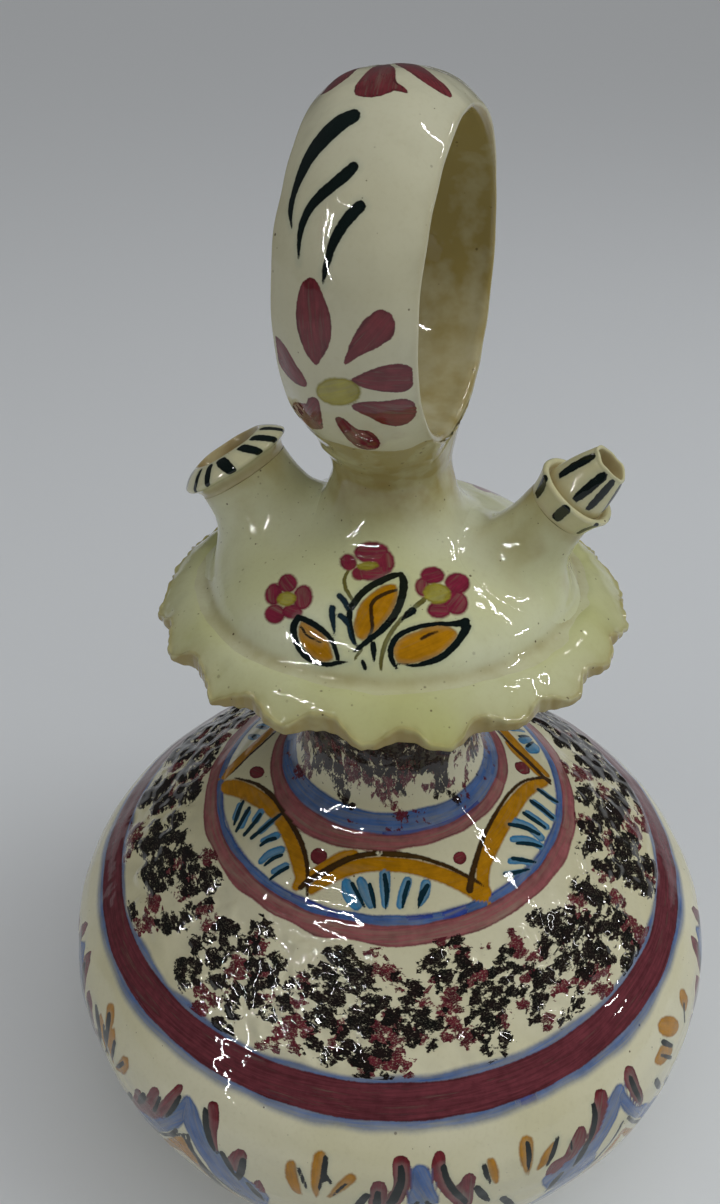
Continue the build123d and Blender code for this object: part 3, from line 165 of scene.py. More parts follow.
        ("tel", 1, (-59.95,48.74,-60.76,49.25,-61.88,50.04,-62.83,50.98,-63.34,52.1,-63.61,53.25,-63.76,54.04,-63.76,54.16,-63.64,54.24,-63.49,54.24,-63.38,54.15,-62.79,53.49,-61.93,52.57,-61.1,51.73,-60.28,50.94,-59.39,50.11,-58.74,49.53,-58.51,49.12,-58.77,48.72,-59.37,48.56)),
        ("lbl", 0, (-146.47,51.44,-145.23,52.1,-143.6,53.05,-142.46,53.76,-141.35,53.96,-140.11,53.61,-139.44,52.92,-139.64,52.27,-140.7,51.57,-142.4,50.6,-143.69,49.91,-144.8,49.76,-146.09,50.15,-146.77,50.86)),
        ("tel", 1, (-146.49,49.66,-145.68,50.32,-144.52,51.27,-143.26,52.19,-141.79,53,-140.3,53.77,-139.38,54.3,-139.04,54.37,-138.63,54.25,-138.4,54,-138.47,53.77,-139.22,53.14,-140.32,52.25,-141.53,51.36,-142.78,50.48,-144.08,49.59,-145.02,48.98,-145.53,48.88,-146.17,49.03,-146.57,49.36)),
        ("lbl", 0, (-141.26,49.62,-140.09,50.59,-138.68,51.92,-137.7,52.91,-136.82,53.22,-135.65,53.01,-134.84,52.4,-134.88,51.72,-135.81,50.7,-137.17,49.31,-138.21,48.31,-139.19,48.01,-140.48,48.28,-141.4,48.94)),
        ("tel", 1, (-141.85,48.5,-141.09,49.3,-140.11,50.43,-139.19,51.55,-138.19,52.65,-137.19,53.74,-136.51,54.51,-136.19,54.66,-135.74,54.59,-135.4,54.36,-135.39,54.08,-135.88,53.23,-136.61,52.03,-137.41,50.86,-138.33,49.73,-139.33,48.63,-140.07,47.87,-140.55,47.7,-141.32,47.81,-141.86,48.14)),
        ("lbl", 0, (-137.41,45.59,-136.82,46.52,-136.06,47.8,-135.55,48.72,-134.67,49.21,-133.27,49.14,-132.14,48.58,-131.92,47.82,-132.45,46.88,-133.24,45.6,-133.84,44.67,-134.75,44.2,-136.2,44.27,-137.31,44.86)),
        ("tel", 1, (-135.39,46.31,-134.95,47.12,-134.39,48.27,-133.92,49.45,-133.56,50.73,-133.25,52.06,-133.05,53.01,-132.77,53.28,-132.19,53.32,-131.66,53.1,-131.47,52.75,-131.56,51.79,-131.71,50.41,-131.98,49.07,-132.48,47.84,-133.13,46.68,-133.63,45.88,-134.06,45.64,-134.76,45.66,-135.31,45.94)),
        ("lbl", 0, (-129.37,43.79,-129.47,45.26,-129.59,47.29,-129.71,48.76,-129.29,49.35,-128.17,49.55,-127,49.28,-126.48,48.65,-126.28,47.19,-126.04,45.17,-125.85,43.7,-126.26,43.09,-127.48,42.86,-128.78,43.15)),
        ("tel", 1, (-128.27,41.89,-128.38,43.11,-128.55,44.84,-128.76,46.61,-129.09,48.45,-129.47,50.33,-129.72,51.65,-129.52,52.02,-128.9,52.15,-128.22,51.99,-127.87,51.62,-127.6,50.31,-127.2,48.44,-126.87,46.59,-126.66,44.8,-126.49,43.06,-126.37,41.85,-126.61,41.53,-127.27,41.41,-127.96,41.56)),
        ("lbl", 0, (-122.64,45.73,-123.44,46.81,-124.51,48.3,-125.26,49.39,-125.31,50.07,-124.54,50.5,-123.42,50.44,-122.56,49.94,-121.65,48.91,-120.32,47.53,-119.34,46.52,-119.2,45.74,-120.11,45.17,-121.56,45.16)),
        ("tel", 1, (-121.28,46.68,-121.93,47.13,-122.84,47.83,-123.59,48.64,-123.92,49.56,-124.02,50.45,-124.07,51.06,-123.94,51.32,-123.53,51.42,-123.08,51.31,-122.84,51.04,-122.65,50.45,-122.36,49.62,-121.97,48.92,-121.37,48.31,-120.58,47.69,-119.98,47.24,-119.78,46.89,-120.08,46.57,-120.71,46.49)),
        ("lbl", 0, (-116.96,47.52,-117.78,48.2,-118.93,49.23,-119.87,50.44,-120.24,51.73,-120.32,52.94,-120.34,53.75,-120.08,54.3,-119.28,54.53,-118.4,54.33,-117.95,53.8,-117.68,53.01,-117.27,51.94,-116.75,51.03,-115.95,50.21,-114.89,49.34,-114.07,48.73,-113.71,47.97,-114.4,47.28,-115.77,47.09)),
        ("tel", 1, (-114.78,48.99,-115.36,49.5,-116.18,50.27,-116.86,51.16,-117.24,52.16,-117.44,53.19,-117.57,53.9,-117.5,54.12,-117.2,54.24,-116.85,54.18,-116.65,53.98,-116.33,53.3,-115.85,52.34,-115.33,51.48,-114.71,50.73,-113.99,50.01,-113.45,49.5,-113.33,49.15,-113.67,48.85,-114.27,48.79)),
        ("lbl", 0, (-111.52,50.23,-112.26,51.13,-113.23,52.38,-113.97,53.26,-114.06,53.91,-113.42,54.4,-112.47,54.43,-111.73,53.99,-111,53.1,-109.96,51.91,-109.18,51.05,-109.01,50.38,-109.63,49.85,-110.68,49.79)),
        ("tel", 1, (-109.84,50.59,-110.35,51.12,-111.07,51.91,-111.72,52.79,-112.26,53.82,-112.71,54.9,-113.01,55.67,-112.99,55.92,-112.73,56.06,-112.39,56.03,-112.15,55.83,-111.71,55.1,-111.06,54.08,-110.41,53.15,-109.78,52.34,-109.13,51.57,-108.65,51.04,-108.56,50.69,-108.87,50.42,-109.4,50.37)),
        ("lbl", 0, (7.48,49.85,7.24,51.33,6.93,53.38,6.72,54.87,7.08,55.54,8.06,56.1,9.09,56.25,9.59,55.88,9.79,54.35,10.09,52.27,10.32,50.75,9.99,50.14,9.02,49.61,7.97,49.5)),
        ("tel", 1, (7.99,48.86,7.76,49.74,7.47,51.01,7.33,52.3,7.48,53.62,7.77,54.94,7.97,55.85,8.19,56.16,8.65,56.4,9.09,56.43,9.25,56.22,9.24,55.35,9.25,54.12,9.3,52.89,9.43,51.63,9.62,50.34,9.76,49.43,9.57,49.06,8.96,48.74,8.31,48.66)),
        ("lbl", 0, (-0.94,47.89,-1.1,49.93,-1.3,52.74,-1.43,54.79,-1,55.54,0.11,56.1,1.39,56.15,1.98,55.64,2.18,53.57,2.48,50.72,2.72,48.65,2.25,47.94,0.94,47.41,-0.38,47.4)),
        ("tel", 1, (-0.47,47.19,-0.55,48.11,-0.61,49.43,-0.65,50.81,-0.64,52.33,-0.6,53.92,-0.58,55.05,-0.41,55.35,0.04,55.58,0.55,55.59,0.79,55.39,1.02,54.31,1.34,52.78,1.6,51.29,1.67,49.88,1.65,48.52,1.63,47.58,1.34,47.18,0.58,46.9,-0.17,46.91)),
        ("lbl", 0, (-7.68,47.3,-7.35,49.32,-6.93,52.11,-6.64,54.14,-6.12,54.78,-5.06,55.17,-4.05,55.08,-3.68,54.56,-3.93,52.49,-4.31,49.66,-4.6,47.6,-5.1,47,-6.23,46.67,-7.3,46.8)),
        ("tel", 1, (-8.27,46.53,-8.16,47.5,-7.94,48.9,-7.63,50.29,-7.16,51.66,-6.62,53.01,-6.25,53.96,-6.02,54.21,-5.58,54.34,-5.2,54.28,-5.1,54.07,-5.25,53.13,-5.47,51.79,-5.7,50.44,-5.94,49.07,-6.19,47.67,-6.34,46.68,-6.66,46.32,-7.37,46.13,-8.04,46.21)),
        ("lbl", 0, (-15.95,45.7,-15.01,46.82,-13.78,48.41,-12.87,49.9,-12.43,51.39,-12.19,52.98,-12.05,54.13,-11.55,54.85,-10.43,55.28,-9.32,55.18,-8.86,54.59,-8.78,53.44,-8.7,51.75,-8.97,49.94,-9.96,48.08,-11.26,46.32,-12.23,45.14,-13.37,44.5,-14.97,44.42,-16.03,44.92)),
        ("tel", 1, (-17.58,45.29,-16.53,46.18,-15.08,47.47,-13.73,48.83,-12.49,50.39,-11.34,52.09,-10.57,53.32,-10.25,53.59,-9.74,53.69,-9.35,53.57,-9.31,53.28,-9.83,52.03,-10.65,50.24,-11.7,48.54,-13.12,47.03,-14.7,45.69,-15.87,44.8,-16.55,44.55,-17.33,44.59,-17.75,44.89)),
        ("lbl", 0, (-21.26,48.93,-20,49.65,-18.35,50.69,-17.05,51.74,-16.05,52.94,-15.18,54.36,-14.59,55.41,-13.9,56,-12.82,56.22,-11.96,55.94,-11.81,55.3,-12.21,54.2,-12.88,52.61,-13.99,50.98,-15.82,49.59,-17.83,48.45,-19.18,47.7,-20.38,47.39,-21.5,47.64,-21.85,48.28)),
        ("tel", 1, (-20.66,50.1,-19.66,50.7,-18.29,51.57,-17.04,52.48,-15.79,53.5,-14.58,54.63,-13.76,55.46,-13.38,55.68,-12.9,55.71,-12.6,55.52,-12.65,55.23,-13.31,54.35,-14.32,53.1,-15.53,51.92,-17.05,50.93,-18.56,50.04,-19.63,49.46,-20.23,49.31,-20.78,49.44,-20.96,49.77)),
        ("lbl", 0, (-27.87,52.49,-26.67,53,-25.06,53.75,-23.8,54.49,-22.94,55.28,-22.18,56.19,-21.66,56.87,-21.01,57.32,-20.12,57.4,-19.51,57.04,-19.54,56.45,-19.96,55.72,-20.67,54.63,-21.74,53.5,-23.35,52.5,-25.14,51.68,-26.41,51.15,-27.46,51.01,-28.32,51.36,-28.48,51.97)),
        ("tel", 1, (-26.36,51.95,-25.52,52.5,-24.35,53.31,-23.17,54.14,-21.93,55.01,-20.67,55.92,-19.8,56.57,-19.46,56.73,-19.09,56.7,-18.9,56.49,-19.02,56.23,-19.73,55.5,-20.79,54.48,-21.91,53.52,-23.12,52.66,-24.38,51.86,-25.29,51.33,-25.84,51.18,-26.39,51.3,-26.6,51.62)),
        ("lbl", 0, (-32.17,54.05,-30.09,54.84,-27.16,55.95,-25.09,56.85,-24.25,56.99,-23.57,56.72,-23.43,56.18,-23.93,55.7,-26.07,54.79,-29.1,53.68,-31.32,52.94,-32.07,52.87,-32.63,53.17,-32.66,53.66)),
        ("tel", 1, (-32.49,53.71,-31.51,54.12,-30.05,54.69,-28.42,55.23,-26.61,55.73,-24.74,56.25,-23.43,56.65,-23.09,56.68,-22.83,56.55,-22.82,56.32,-23.06,56.14,-24.29,55.63,-26.07,54.96,-27.77,54.36,-29.36,53.84,-30.91,53.36,-31.93,52.99,-32.41,52.94,-32.78,53.14,-32.81,53.46)),
    ),
    "belly": (
        ("och", 0, (-87.53,86.87,-87.54,85.94,-87.53,84.42,-87.4,82.76,-87.08,81.25,-86.7,79.65,-86.32,78.03,-85.88,77.13,-85.44,76.87,-85.15,76.79,-85.03,76.73,-84.9,77.01,-84.85,77.47,-84.89,77.83,-84.97,78.71,-85.06,79.92,-85.14,81.1,-85.29,82.37,-85.48,83.88,-85.63,85.17,-85.72,86.29,-85.81,87.26,-85.89,87.98,-86.19,88.94,-86.78,89.1,-87.34,88.24)),
        ("dk", 1, (-85.86,86.92,-85.65,86.02,-85.38,84.53,-85.09,83.1,-84.76,81.83,-84.41,80.57,-84.18,79.63,-84.1,79.46,-83.99,79.53,-83.91,79.8,-83.92,80.11,-84.06,81.21,-84.29,82.59,-84.53,83.97,-84.82,85.37,-85.14,86.75,-85.38,87.57,-85.54,87.77,-85.74,87.67,-85.88,87.32)),
        ("och", 0, (-83.5,91.48,-83.54,90.82,-83.6,89.68,-83.64,88.21,-83.65,86.49,-83.65,84.26,-83.57,82.16,-83.36,80.27,-83.07,78.66,-82.87,77.59,-82.81,77.26,-82.69,77.25,-82.57,77.5,-82.54,77.86,-82.42,79.17,-82.26,80.99,-82.1,82.67,-81.93,84.55,-81.76,86.67,-81.63,88.38,-81.56,89.82,-81.53,90.92,-81.51,91.6,-81.76,92.78,-82.45,93.21,-83.17,92.67)),
        ("dk", 1, (-82.05,91.75,-82.07,90.78,-82.12,89.16,-82.2,87.34,-82.35,85.04,-82.54,82.39,-82.68,80.4,-82.67,80.01,-82.56,79.81,-82.42,79.91,-82.33,80.27,-82.04,82.23,-81.65,84.86,-81.35,87.28,-81.25,89.26,-81.25,90.91,-81.27,91.88,-81.38,92.33,-81.66,92.48,-81.94,92.24)),
        ("dk", 1, (-81.74,85.8,-81.41,85.13,-80.96,84.22,-80.63,83.55,-80.51,83.43,-80.37,83.58,-80.31,83.91,-80.35,84.23,-80.59,85.09,-80.92,86.28,-81.17,87.06,-81.42,87.27,-81.68,87.01,-81.82,86.43)),
        ("och", 0, (-78.28,88.24,-78.65,87.45,-79.19,86.25,-79.74,84.72,-80.26,82.83,-80.77,80.74,-81.12,79.09,-81.2,78.56,-81.14,78.09,-80.97,77.95,-80.79,78.22,-80.24,79.38,-79.47,81.01,-78.77,82.37,-78.19,83.63,-77.64,84.88,-77.26,85.76,-76.96,87.04,-77.14,88.17,-77.69,88.69)),
        ("dk", 1, (-78.53,85.32,-78.89,84.5,-79.38,83.34,-79.81,82.24,-80.11,81.28,-80.36,80.31,-80.52,79.63,-80.55,79.41,-80.52,79.21,-80.45,79.16,-80.38,79.27,-80.16,79.8,-79.83,80.58,-79.48,81.47,-79.07,82.58,-78.61,83.85,-78.29,84.74,-78.23,85.07,-78.28,85.38,-78.4,85.49)),
        ("bur", 0, (-71.9,91.45,-71.86,90.84,-71.82,89.93,-71.78,88.86,-71.72,87.83,-71.67,86.88,-71.68,86.05,-71.78,85.04,-71.96,83.84,-72.16,82.76,-72.36,81.82,-72.59,80.88,-72.77,80.11,-72.99,77.97,-72.62,76.02,-71.89,75.08,-71.22,76.23,-70.98,77.06,-70.63,78.4,-70.26,79.89,-69.94,81.48,-69.63,83.08,-69.38,84.86,-69.23,86.65,-69.18,88.01,-69.16,89.12,-69.17,90.26,-69.23,91.31,-69.26,91.91,-69.73,93.28,-70.71,93.77,-71.61,93.07)),
        ("dk", 1, (-71.11,90.77,-71.1,89.83,-71.1,88.42,-71.18,87.07,-71.4,85.53,-71.71,83.67,-72,82.1,-72.22,80.99,-72.43,80.03,-72.58,79.33,-72.69,78.03,-72.45,76.9,-72.01,76.53,-71.61,77.29,-71.42,77.98,-71.12,79.08,-70.82,80.62,-70.51,82.46,-70.2,84.58,-69.99,86.7,-70,88.52,-70.12,90.03,-70.22,90.94,-70.38,91.43,-70.71,91.59,-71.01,91.32)),
        ("bur", 0, (-75.01,84.16,-75.02,83.39,-75.05,82.37,-75.09,81.62,-75.16,80.95,-75.25,79.98,-75.33,79.22,-75.25,75.79,-74.49,73.76,-73.49,74.25,-72.85,77.09,-72.76,77.9,-72.63,79.19,-72.52,80.78,-72.5,82.26,-72.54,83.51,-72.56,84.31,-72.93,86.44,-73.8,87.18,-74.66,86.34)),
        ("dk", 1, (-74.35,82.56,-74.45,81.41,-74.57,79.63,-74.67,78.3,-74.53,76.74,-74.09,76.07,-73.62,76.75,-73.4,78.02,-73.41,79.38,-73.42,81.21,-73.44,82.39,-73.54,83.23,-73.85,83.63,-74.19,83.35)),
        ("bur", 0, (-65.73,93.19,-65.89,92.63,-66.12,91.69,-66.23,90.45,-66.13,88.83,-65.92,87.18,-65.57,85.31,-65.09,83.27,-64.53,81.26,-63.96,79.15,-63.36,77.14,-62.75,74.82,-62.33,73.17,-61.53,71.35,-60.82,72.13,-60.58,74.51,-60.95,77.3,-61.35,78.88,-61.87,80.65,-62.34,82.24,-62.78,83.91,-63.21,85.71,-63.54,87.19,-63.76,88.38,-63.92,89.48,-64.02,90.34,-64.07,90.97,-64.07,91.71,-64.04,92.31,-64.13,93.43,-64.66,94.11,-65.32,93.97)),
        ("dk", 1, (-64.85,90.22,-64.78,89.14,-64.65,87.54,-64.42,85.75,-64.06,83.92,-63.63,82.14,-63.15,80.39,-62.57,78.57,-61.95,76.54,-61.5,75.06,-61.19,74.43,-60.9,74.67,-60.81,75.63,-60.97,76.75,-61.36,78.36,-61.88,80.28,-62.34,81.91,-62.75,83.41,-63.16,84.99,-63.48,86.47,-63.7,87.86,-63.86,89.32,-63.96,90.38,-64.14,90.9,-64.48,91.07,-64.77,90.81)),
        ("bur", 0, (-61.59,86.47,-61.81,85.86,-62.13,84.79,-62.41,83.19,-62.49,81.26,-62.46,79.13,-62.41,77.57,-62.03,74.49,-61.19,72.63,-60.38,73.13,-60.08,75.68,-60.07,77.39,-60.05,79.65,-60.02,81.23,-59.97,81.97,-59.87,82.86,-59.77,83.56,-59.7,85.43,-60.2,87.05,-60.98,87.41)),
        ("blu", 0, (-69,90.56,-68.43,91.38,-67.77,91.38,-67.28,91.25,-66.86,90.8,-66.51,89.98,-66.22,88.53,-66.01,86.45,-65.79,83.69,-65.15,80.24,-65.13,77.35,-67.39,76.88,-69.7,78.3,-69.79,81.26,-69.26,84.54,-69.19,88.03)),
        ("blu", 0, (-105.97,90.44,-105.87,89.45,-105.71,87.97,-105.43,86.48,-105.05,84.9,-104.54,83.3,-103.93,81.73,-103.32,79.92,-102.78,77.5,-102.13,75.23,-101.4,73.1,-100.75,70.26,-100.11,66.81,-99.27,64.05,-98.25,61.91,-97.23,59.29,-95.99,56.51,-94.42,55.46,-93.65,52.59,-92.37,55.03,-90.79,63.08,-90.26,68.65,-90.64,71.58,-91.54,72.95,-92.88,74.24,-94.14,75.46,-95.13,76.79,-96.05,78.3,-96.95,79.53,-97.8,80.76,-98.62,82.01,-99.4,83.31,-100.11,84.7,-100.75,86.16,-101.36,87.48,-101.9,88.77,-102.41,89.93,-102.93,90.96,-103.52,91.68,-104.12,92.18,-104.54,92.54,-105.06,92.82,-105.68,92.34,-106.06,91.35)),
        ("blu", 0, (-106.13,90.85,-106.5,89,-107.08,86.35,-107.68,84.27,-108.09,83.02,-108.65,81.36,-109.24,79.78,-110.05,78.17,-111.3,75.88,-112.48,73.77,-113.52,71.51,-115.15,67.14,-116.55,63.42,-112.31,63.98,-109.36,71.57,-107.29,76.91,-105.86,80.7,-104.79,84.56,-104.5,87.95,-104.73,90.33,-105.02,91.52,-105.18,92.01,-105.57,92.03,-105.97,91.56)),
        ("dk", 1, (-104.44,80.17,-104.18,78.54,-103.89,75.81,-103.48,73.24,-102.97,71.13,-102.61,67.97,-102.2,64.68,-101.6,61.98,-101.25,57.67,-101.11,52.03,-98.09,52.39,-98.86,56.12,-99.36,60.84,-100.19,62.75,-100.9,65.01,-101.46,67.68,-101.87,70.75,-102.42,72.87,-102.91,74.89,-103.29,77.42,-103.55,80.15,-103.85,81.53,-104.01,81.63,-104.24,81.32,-104.42,80.71)),
        ("dk", 1, (-104.82,80.27,-105.49,78.93,-106.45,77.05,-107.51,74.84,-108.73,72.04,-110.04,69.07,-111.31,66.31,-113.13,61.79,-110.72,65.44,-109.17,69.12,-107.77,72.48,-106.44,75.74,-105.41,77.95,-104.74,79.34,-104.57,79.84,-104.52,80.32,-104.63,80.49)),
        ("och", 0, (-109.64,66.56,-106.77,75.36,-104.78,78.79,-104.06,77.4,-103.63,74.49,-102.77,72.23,-102.28,69.74,-102.7,67.72,-103.66,66.15,-104.89,66.18,-106.33,66.02,-108.15,62.5,-110.31,61.53)),
        ("bur", 0, (-101.48,92.93,-101.27,92.15,-100.98,90.96,-100.76,89.59,-100.64,88.11,-100.52,86.43,-100.37,84.42,-100.06,82.43,-99.69,80.46,-99.33,78.65,-98.91,77.38,-98.47,76.56,-98.18,75.98,-98.06,75.84,-97.89,76.12,-97.77,76.66,-97.78,77.08,-97.93,77.99,-98.12,79.3,-98.29,80.87,-98.49,82.6,-98.69,84.58,-98.83,86.48,-98.89,88.03,-98.88,89.69,-98.97,91.19,-99.2,92.58,-99.47,93.79,-99.68,94.56,-100.18,95.07,-100.91,94.87,-101.45,93.97)),
        ("dk", 1, (-102.13,91.66,-101.94,90.61,-101.7,88.95,-101.41,87.16,-101.05,85.52,-100.64,83.95,-100.22,82.61,-99.74,81.46,-99.28,80.44,-98.96,79.73,-98.87,79.65,-98.74,79.83,-98.65,80.17,-98.66,80.46,-98.83,81.5,-99.1,82.85,-99.39,84.3,-99.71,85.76,-100.08,87.21,-100.41,88.58,-100.7,90.2,-101.04,91.53,-101.29,92.45,-101.52,92.72,-101.86,92.6,-102.11,92.17)),
        ("bur", 0, (-95.98,84.4,-96.29,83.26,-96.79,81.24,-97.26,77.96,-97.26,74.64,-97.13,71.64,-97.07,69.46,-96.85,67.38,-95.98,68.87,-95.13,72.21,-94.92,74.61,-94.87,76.46,-94.77,78.78,-94.64,79.9,-94.5,80.17,-94.16,81.34,-93.88,82.18,-93.53,84.69,-93.97,86.56,-94.98,86.46)),
        ("dk", 1, (-94.86,81.95,-94.96,80.48,-95.19,77.78,-95.38,75.5,-95.44,74.06,-95.46,72.85,-95.49,71.97,-95.55,71.06,-95.43,70.76,-95.18,71.25,-95,72,-94.77,72.93,-94.42,74.39,-94.09,76.34,-93.83,78.89,-93.66,81.36,-93.62,82.7,-93.74,83.67,-94.15,83.92,-94.62,83.17)),
        ("bur", 0, (-92.58,73.69,-92.65,72.15,-92.84,69.18,-93.03,66.06,-93.05,63.57,-92.99,61.48,-93.08,59.1,-93.17,54.32,-92.19,56.78,-91.11,62.58,-90.79,66.44,-90.73,68.15,-90.65,70.53,-90.68,72.37,-90.82,74.16,-91.06,75.61,-91.26,76.52,-91.52,77.36,-92.02,76.89,-92.45,75.38)),
        ("bur", 0, (-107.87,92.73,-108.11,91.83,-108.46,90.56,-108.91,88.84,-109.43,86.85,-110.05,84.37,-110.56,82.23,-111,80.21,-111.71,77.15,-112.24,74.85,-112.7,72.85,-112.72,71.5,-112.16,72.11,-111.48,73.8,-110.69,75.84,-109.52,78.95,-108.6,81.57,-107.9,84.21,-107.3,86.91,-106.88,89.05,-106.63,90.83,-106.54,92.12,-106.5,92.98,-106.57,93.72,-107,93.98,-107.54,93.57)),
        ("dk", 1, (-106.98,90.88,-107.15,89.8,-107.45,88.06,-107.74,86.43,-108.1,84.6,-108.49,82.69,-108.77,81.32,-108.84,80.78,-108.75,80.52,-108.53,80.71,-108.33,81.23,-107.91,82.59,-107.31,84.55,-106.77,86.62,-106.47,88.45,-106.26,90.21,-106.2,91.17,-106.27,91.57,-106.52,91.66,-106.82,91.37)),
        ("bur", 0, (-112.53,85.51,-112.79,84.1,-113.15,82.16,-113.51,80.17,-113.93,77.7,-114.6,74.14,-115.89,68.74,-114.02,68.36,-112.23,74.67,-111.59,77.39,-110.76,81.03,-110.4,83.31,-110.28,85.26,-110.31,86.81,-110.38,87.71,-110.63,88.71,-111.34,88.56,-112.08,87.41)),
        ("dk", 1, (-110.49,86.07,-110.76,84.23,-111.14,81.68,-111.63,79.01,-111.71,77.99,-111.44,77.94,-110.99,78.88,-110.62,80.23,-110.34,82.2,-110.01,84.71,-109.78,86.51,-109.82,86.96,-110.04,87.04,-110.31,86.69)),
        ("bur", 0, (-116.52,77.21,-116.78,75.11,-117.65,70.51,-119.31,63.53,-116.75,64.92,-115.44,69.98,-114.4,74.46,-114.05,77,-114.06,78.94,-114.27,80.41,-114.45,81.36,-114.81,81.81,-115.52,80.98,-116.24,79.01)),
        ("och", 0, (-127.84,91.8,-127.49,91,-127.08,89.62,-126.74,87.91,-126.38,85.85,-126.11,83.28,-125.93,81.46,-125.82,81.27,-125.55,81.59,-125.26,82.25,-125.14,82.84,-124.82,85.51,-124.6,88.69,-124.67,91.08,-125.11,92.53,-125.67,93.58,-126.11,94.2,-126.66,94.32,-127.4,93.67,-127.88,92.63)),
        ("dk", 1, (-127.01,90.65,-126.75,89.6,-126.49,87.77,-126.22,85.55,-125.94,82.49,-125.8,78.59,-126.4,73.76,-126.36,73.69,-126.14,74.15,-125.88,74.88,-125.72,75.45,-125.09,80.02,-124.94,84.34,-125.04,87.62,-125.33,89.71,-125.77,91.11,-126.15,91.88,-126.4,91.97,-126.75,91.64,-127,91.1)),
        ("dk", 1, (-131.34,86.02,-130.86,84.5,-130.16,82.37,-129.46,80.26,-129.44,76.41,-129.26,72.96,-128.64,71.53,-128.29,72.52,-128.14,73.13,-127.83,76.63,-127.65,80.86,-128.18,83.16,-128.87,85.22,-129.8,86.8,-130.54,87.68,-130.75,87.59,-131.05,87.1,-131.28,86.49)),
        ("bur", 0, (-38.54,93.87,-38.71,93.28,-38.96,92.47,-39.26,91.58,-39.68,90.5,-40.1,88.9,-40.55,87.26,-40.96,85.5,-41.36,83.66,-41.76,82.16,-42.28,80.88,-42.77,79.19,-43.12,77.92,-43.17,77.55,-43.06,76.93,-42.87,76.42,-42.7,76.32,-42.01,76.37,-41.02,76.59,-40.13,77.65,-39.41,79.18,-38.85,81.16,-38.29,82.91,-37.77,84.73,-37.31,86.64,-36.89,88.24,-36.64,89.81,-36.47,90.99,-36.35,91.65,-36.42,92.93,-37.07,94.05,-37.95,94.42)),
        ("dk", 1, (-39.61,92.19,-39.73,91.39,-39.9,90.24,-40.06,88.79,-40.34,87.32,-40.68,85.62,-40.98,83.94,-41.27,82.45,-41.57,81.12,-41.74,80.03,-41.74,79.77,-41.64,79.39,-41.51,79.19,-41.44,79.29,-41.14,80.08,-40.7,81.23,-40.24,82.47,-39.82,84,-39.41,85.78,-39.09,87.46,-38.96,89.19,-38.94,90.74,-38.89,91.62,-38.96,92.06,-39.2,92.41,-39.47,92.46)),
        ("bur", 0, (-43.07,88.32,-43.35,87.82,-43.71,87.05,-44.05,86.2,-44.45,85.06,-44.92,83.65,-45.3,82.26,-45.45,80.85,-45.42,79.39,-45.39,78.38,-45.39,77.85,-45.2,77.08,-44.96,76.63,-44.8,76.77,-44.46,76.86,-43.98,77.03,-43.5,77.56,-43,78.71,-42.48,80.35,-41.95,81.71,-41.64,83.23,-41.54,84.77,-41.49,85.8,-41.54,87.12,-42.01,88.36,-42.63,88.78)),
        ("dk", 1, (-44.54,85.66,-44.5,84.75,-44.44,83.5,-44.4,82.58,-44.32,82.19,-44.16,81.94,-44.02,81.98,-43.97,82.28,-44.02,83.2,-44.07,84.45,-44.12,85.36,-44.19,85.75,-44.35,85.99,-44.5,85.96)),
        ("bur", 0, (-46.04,81.36,-46.52,81.32,-47.18,81.23,-47.77,80.85,-48.14,79.95,-48.36,78.86,-48.49,78.09,-48.59,76.57,-48.2,74.51,-47.43,72.52,-46.91,72.75,-46.62,73.11,-46.23,73.61,-45.9,74.35,-45.58,75.37,-45.27,76.71,-45.04,77.68,-44.88,78.77,-45.08,80.2,-45.56,81.26)),
        ("bur", 0, (-31.95,93.7,-32.17,93.17,-32.46,92.29,-32.62,90.97,-32.42,88.86,-31.99,86.17,-31.45,83.56,-30.95,81.77,-30.42,80.23,-30.02,79.09,-29.84,78.46,-29.59,77.97,-29.41,77.91,-29.4,78.33,-29.26,78.81,-29.09,79.62,-29.12,81.23,-29.33,83.62,-29.68,86.48,-29.83,88.4,-29.91,89.79,-29.9,90.91,-29.85,91.62,-29.99,92.9,-30.65,94.01,-31.45,94.28)),
        ("dk", 1, (-31.58,91.54,-31.66,90.8,-31.68,89.45,-31.57,87.73,-31.23,85.51,-30.72,82.86,-30.34,80.95,-30.09,80.08,-29.74,79.46,-29.51,79.46,-29.53,80.08,-29.82,82.03,-30.14,84.48,-30.42,86.69,-30.57,88.34,-30.72,89.93,-30.77,90.86,-30.87,91.36,-31.15,91.76,-31.45,91.83)),
        ("blu", 0, (-34.39,92.19,-34.96,91.84,-35.75,91.23,-36.51,90.56,-37.04,89.62,-37.48,88.62,-37.97,87.62,-38.57,86.55,-39.18,85.28,-39.87,84.05,-40.64,82.87,-41.49,81.76,-42.38,80.8,-43.23,79.46,-44.17,78.26,-45.17,77.38,-46.45,76.82,-47.79,76.17,-48.69,75.39,-49.1,73.92,-48.69,70.17,-47.52,65.43,-46.49,63.75,-45.45,64.07,-43.96,64.66,-42.54,65.67,-41.28,66.54,-40.32,68.49,-39.56,71.01,-38.88,73.63,-38.3,76.28,-37.55,77.92,-36.88,79.57,-36.3,81.26,-35.73,82.67,-35.25,84.02,-34.86,85.3,-34.49,86.53,-33.95,87.58,-33.39,88.65,-32.99,89.41,-32.81,90.36,-33.13,91.5,-33.77,92.23)),
        ("blu", 0, (-34.4,90.95,-34.52,89.92,-34.66,88.32,-34.56,86.34,-34,83.62,-33.05,80.16,-31.11,74.8,-27.51,66.11,-26.89,73.26,-28.27,76.3,-29.34,77.92,-30.45,79.37,-30.88,80.15,-30.99,80.72,-31.47,82.59,-31.98,84.59,-32.51,86.72,-32.94,88.76,-33.18,90.06,-33.39,90.92,-33.83,91.48,-34.26,91.53)),
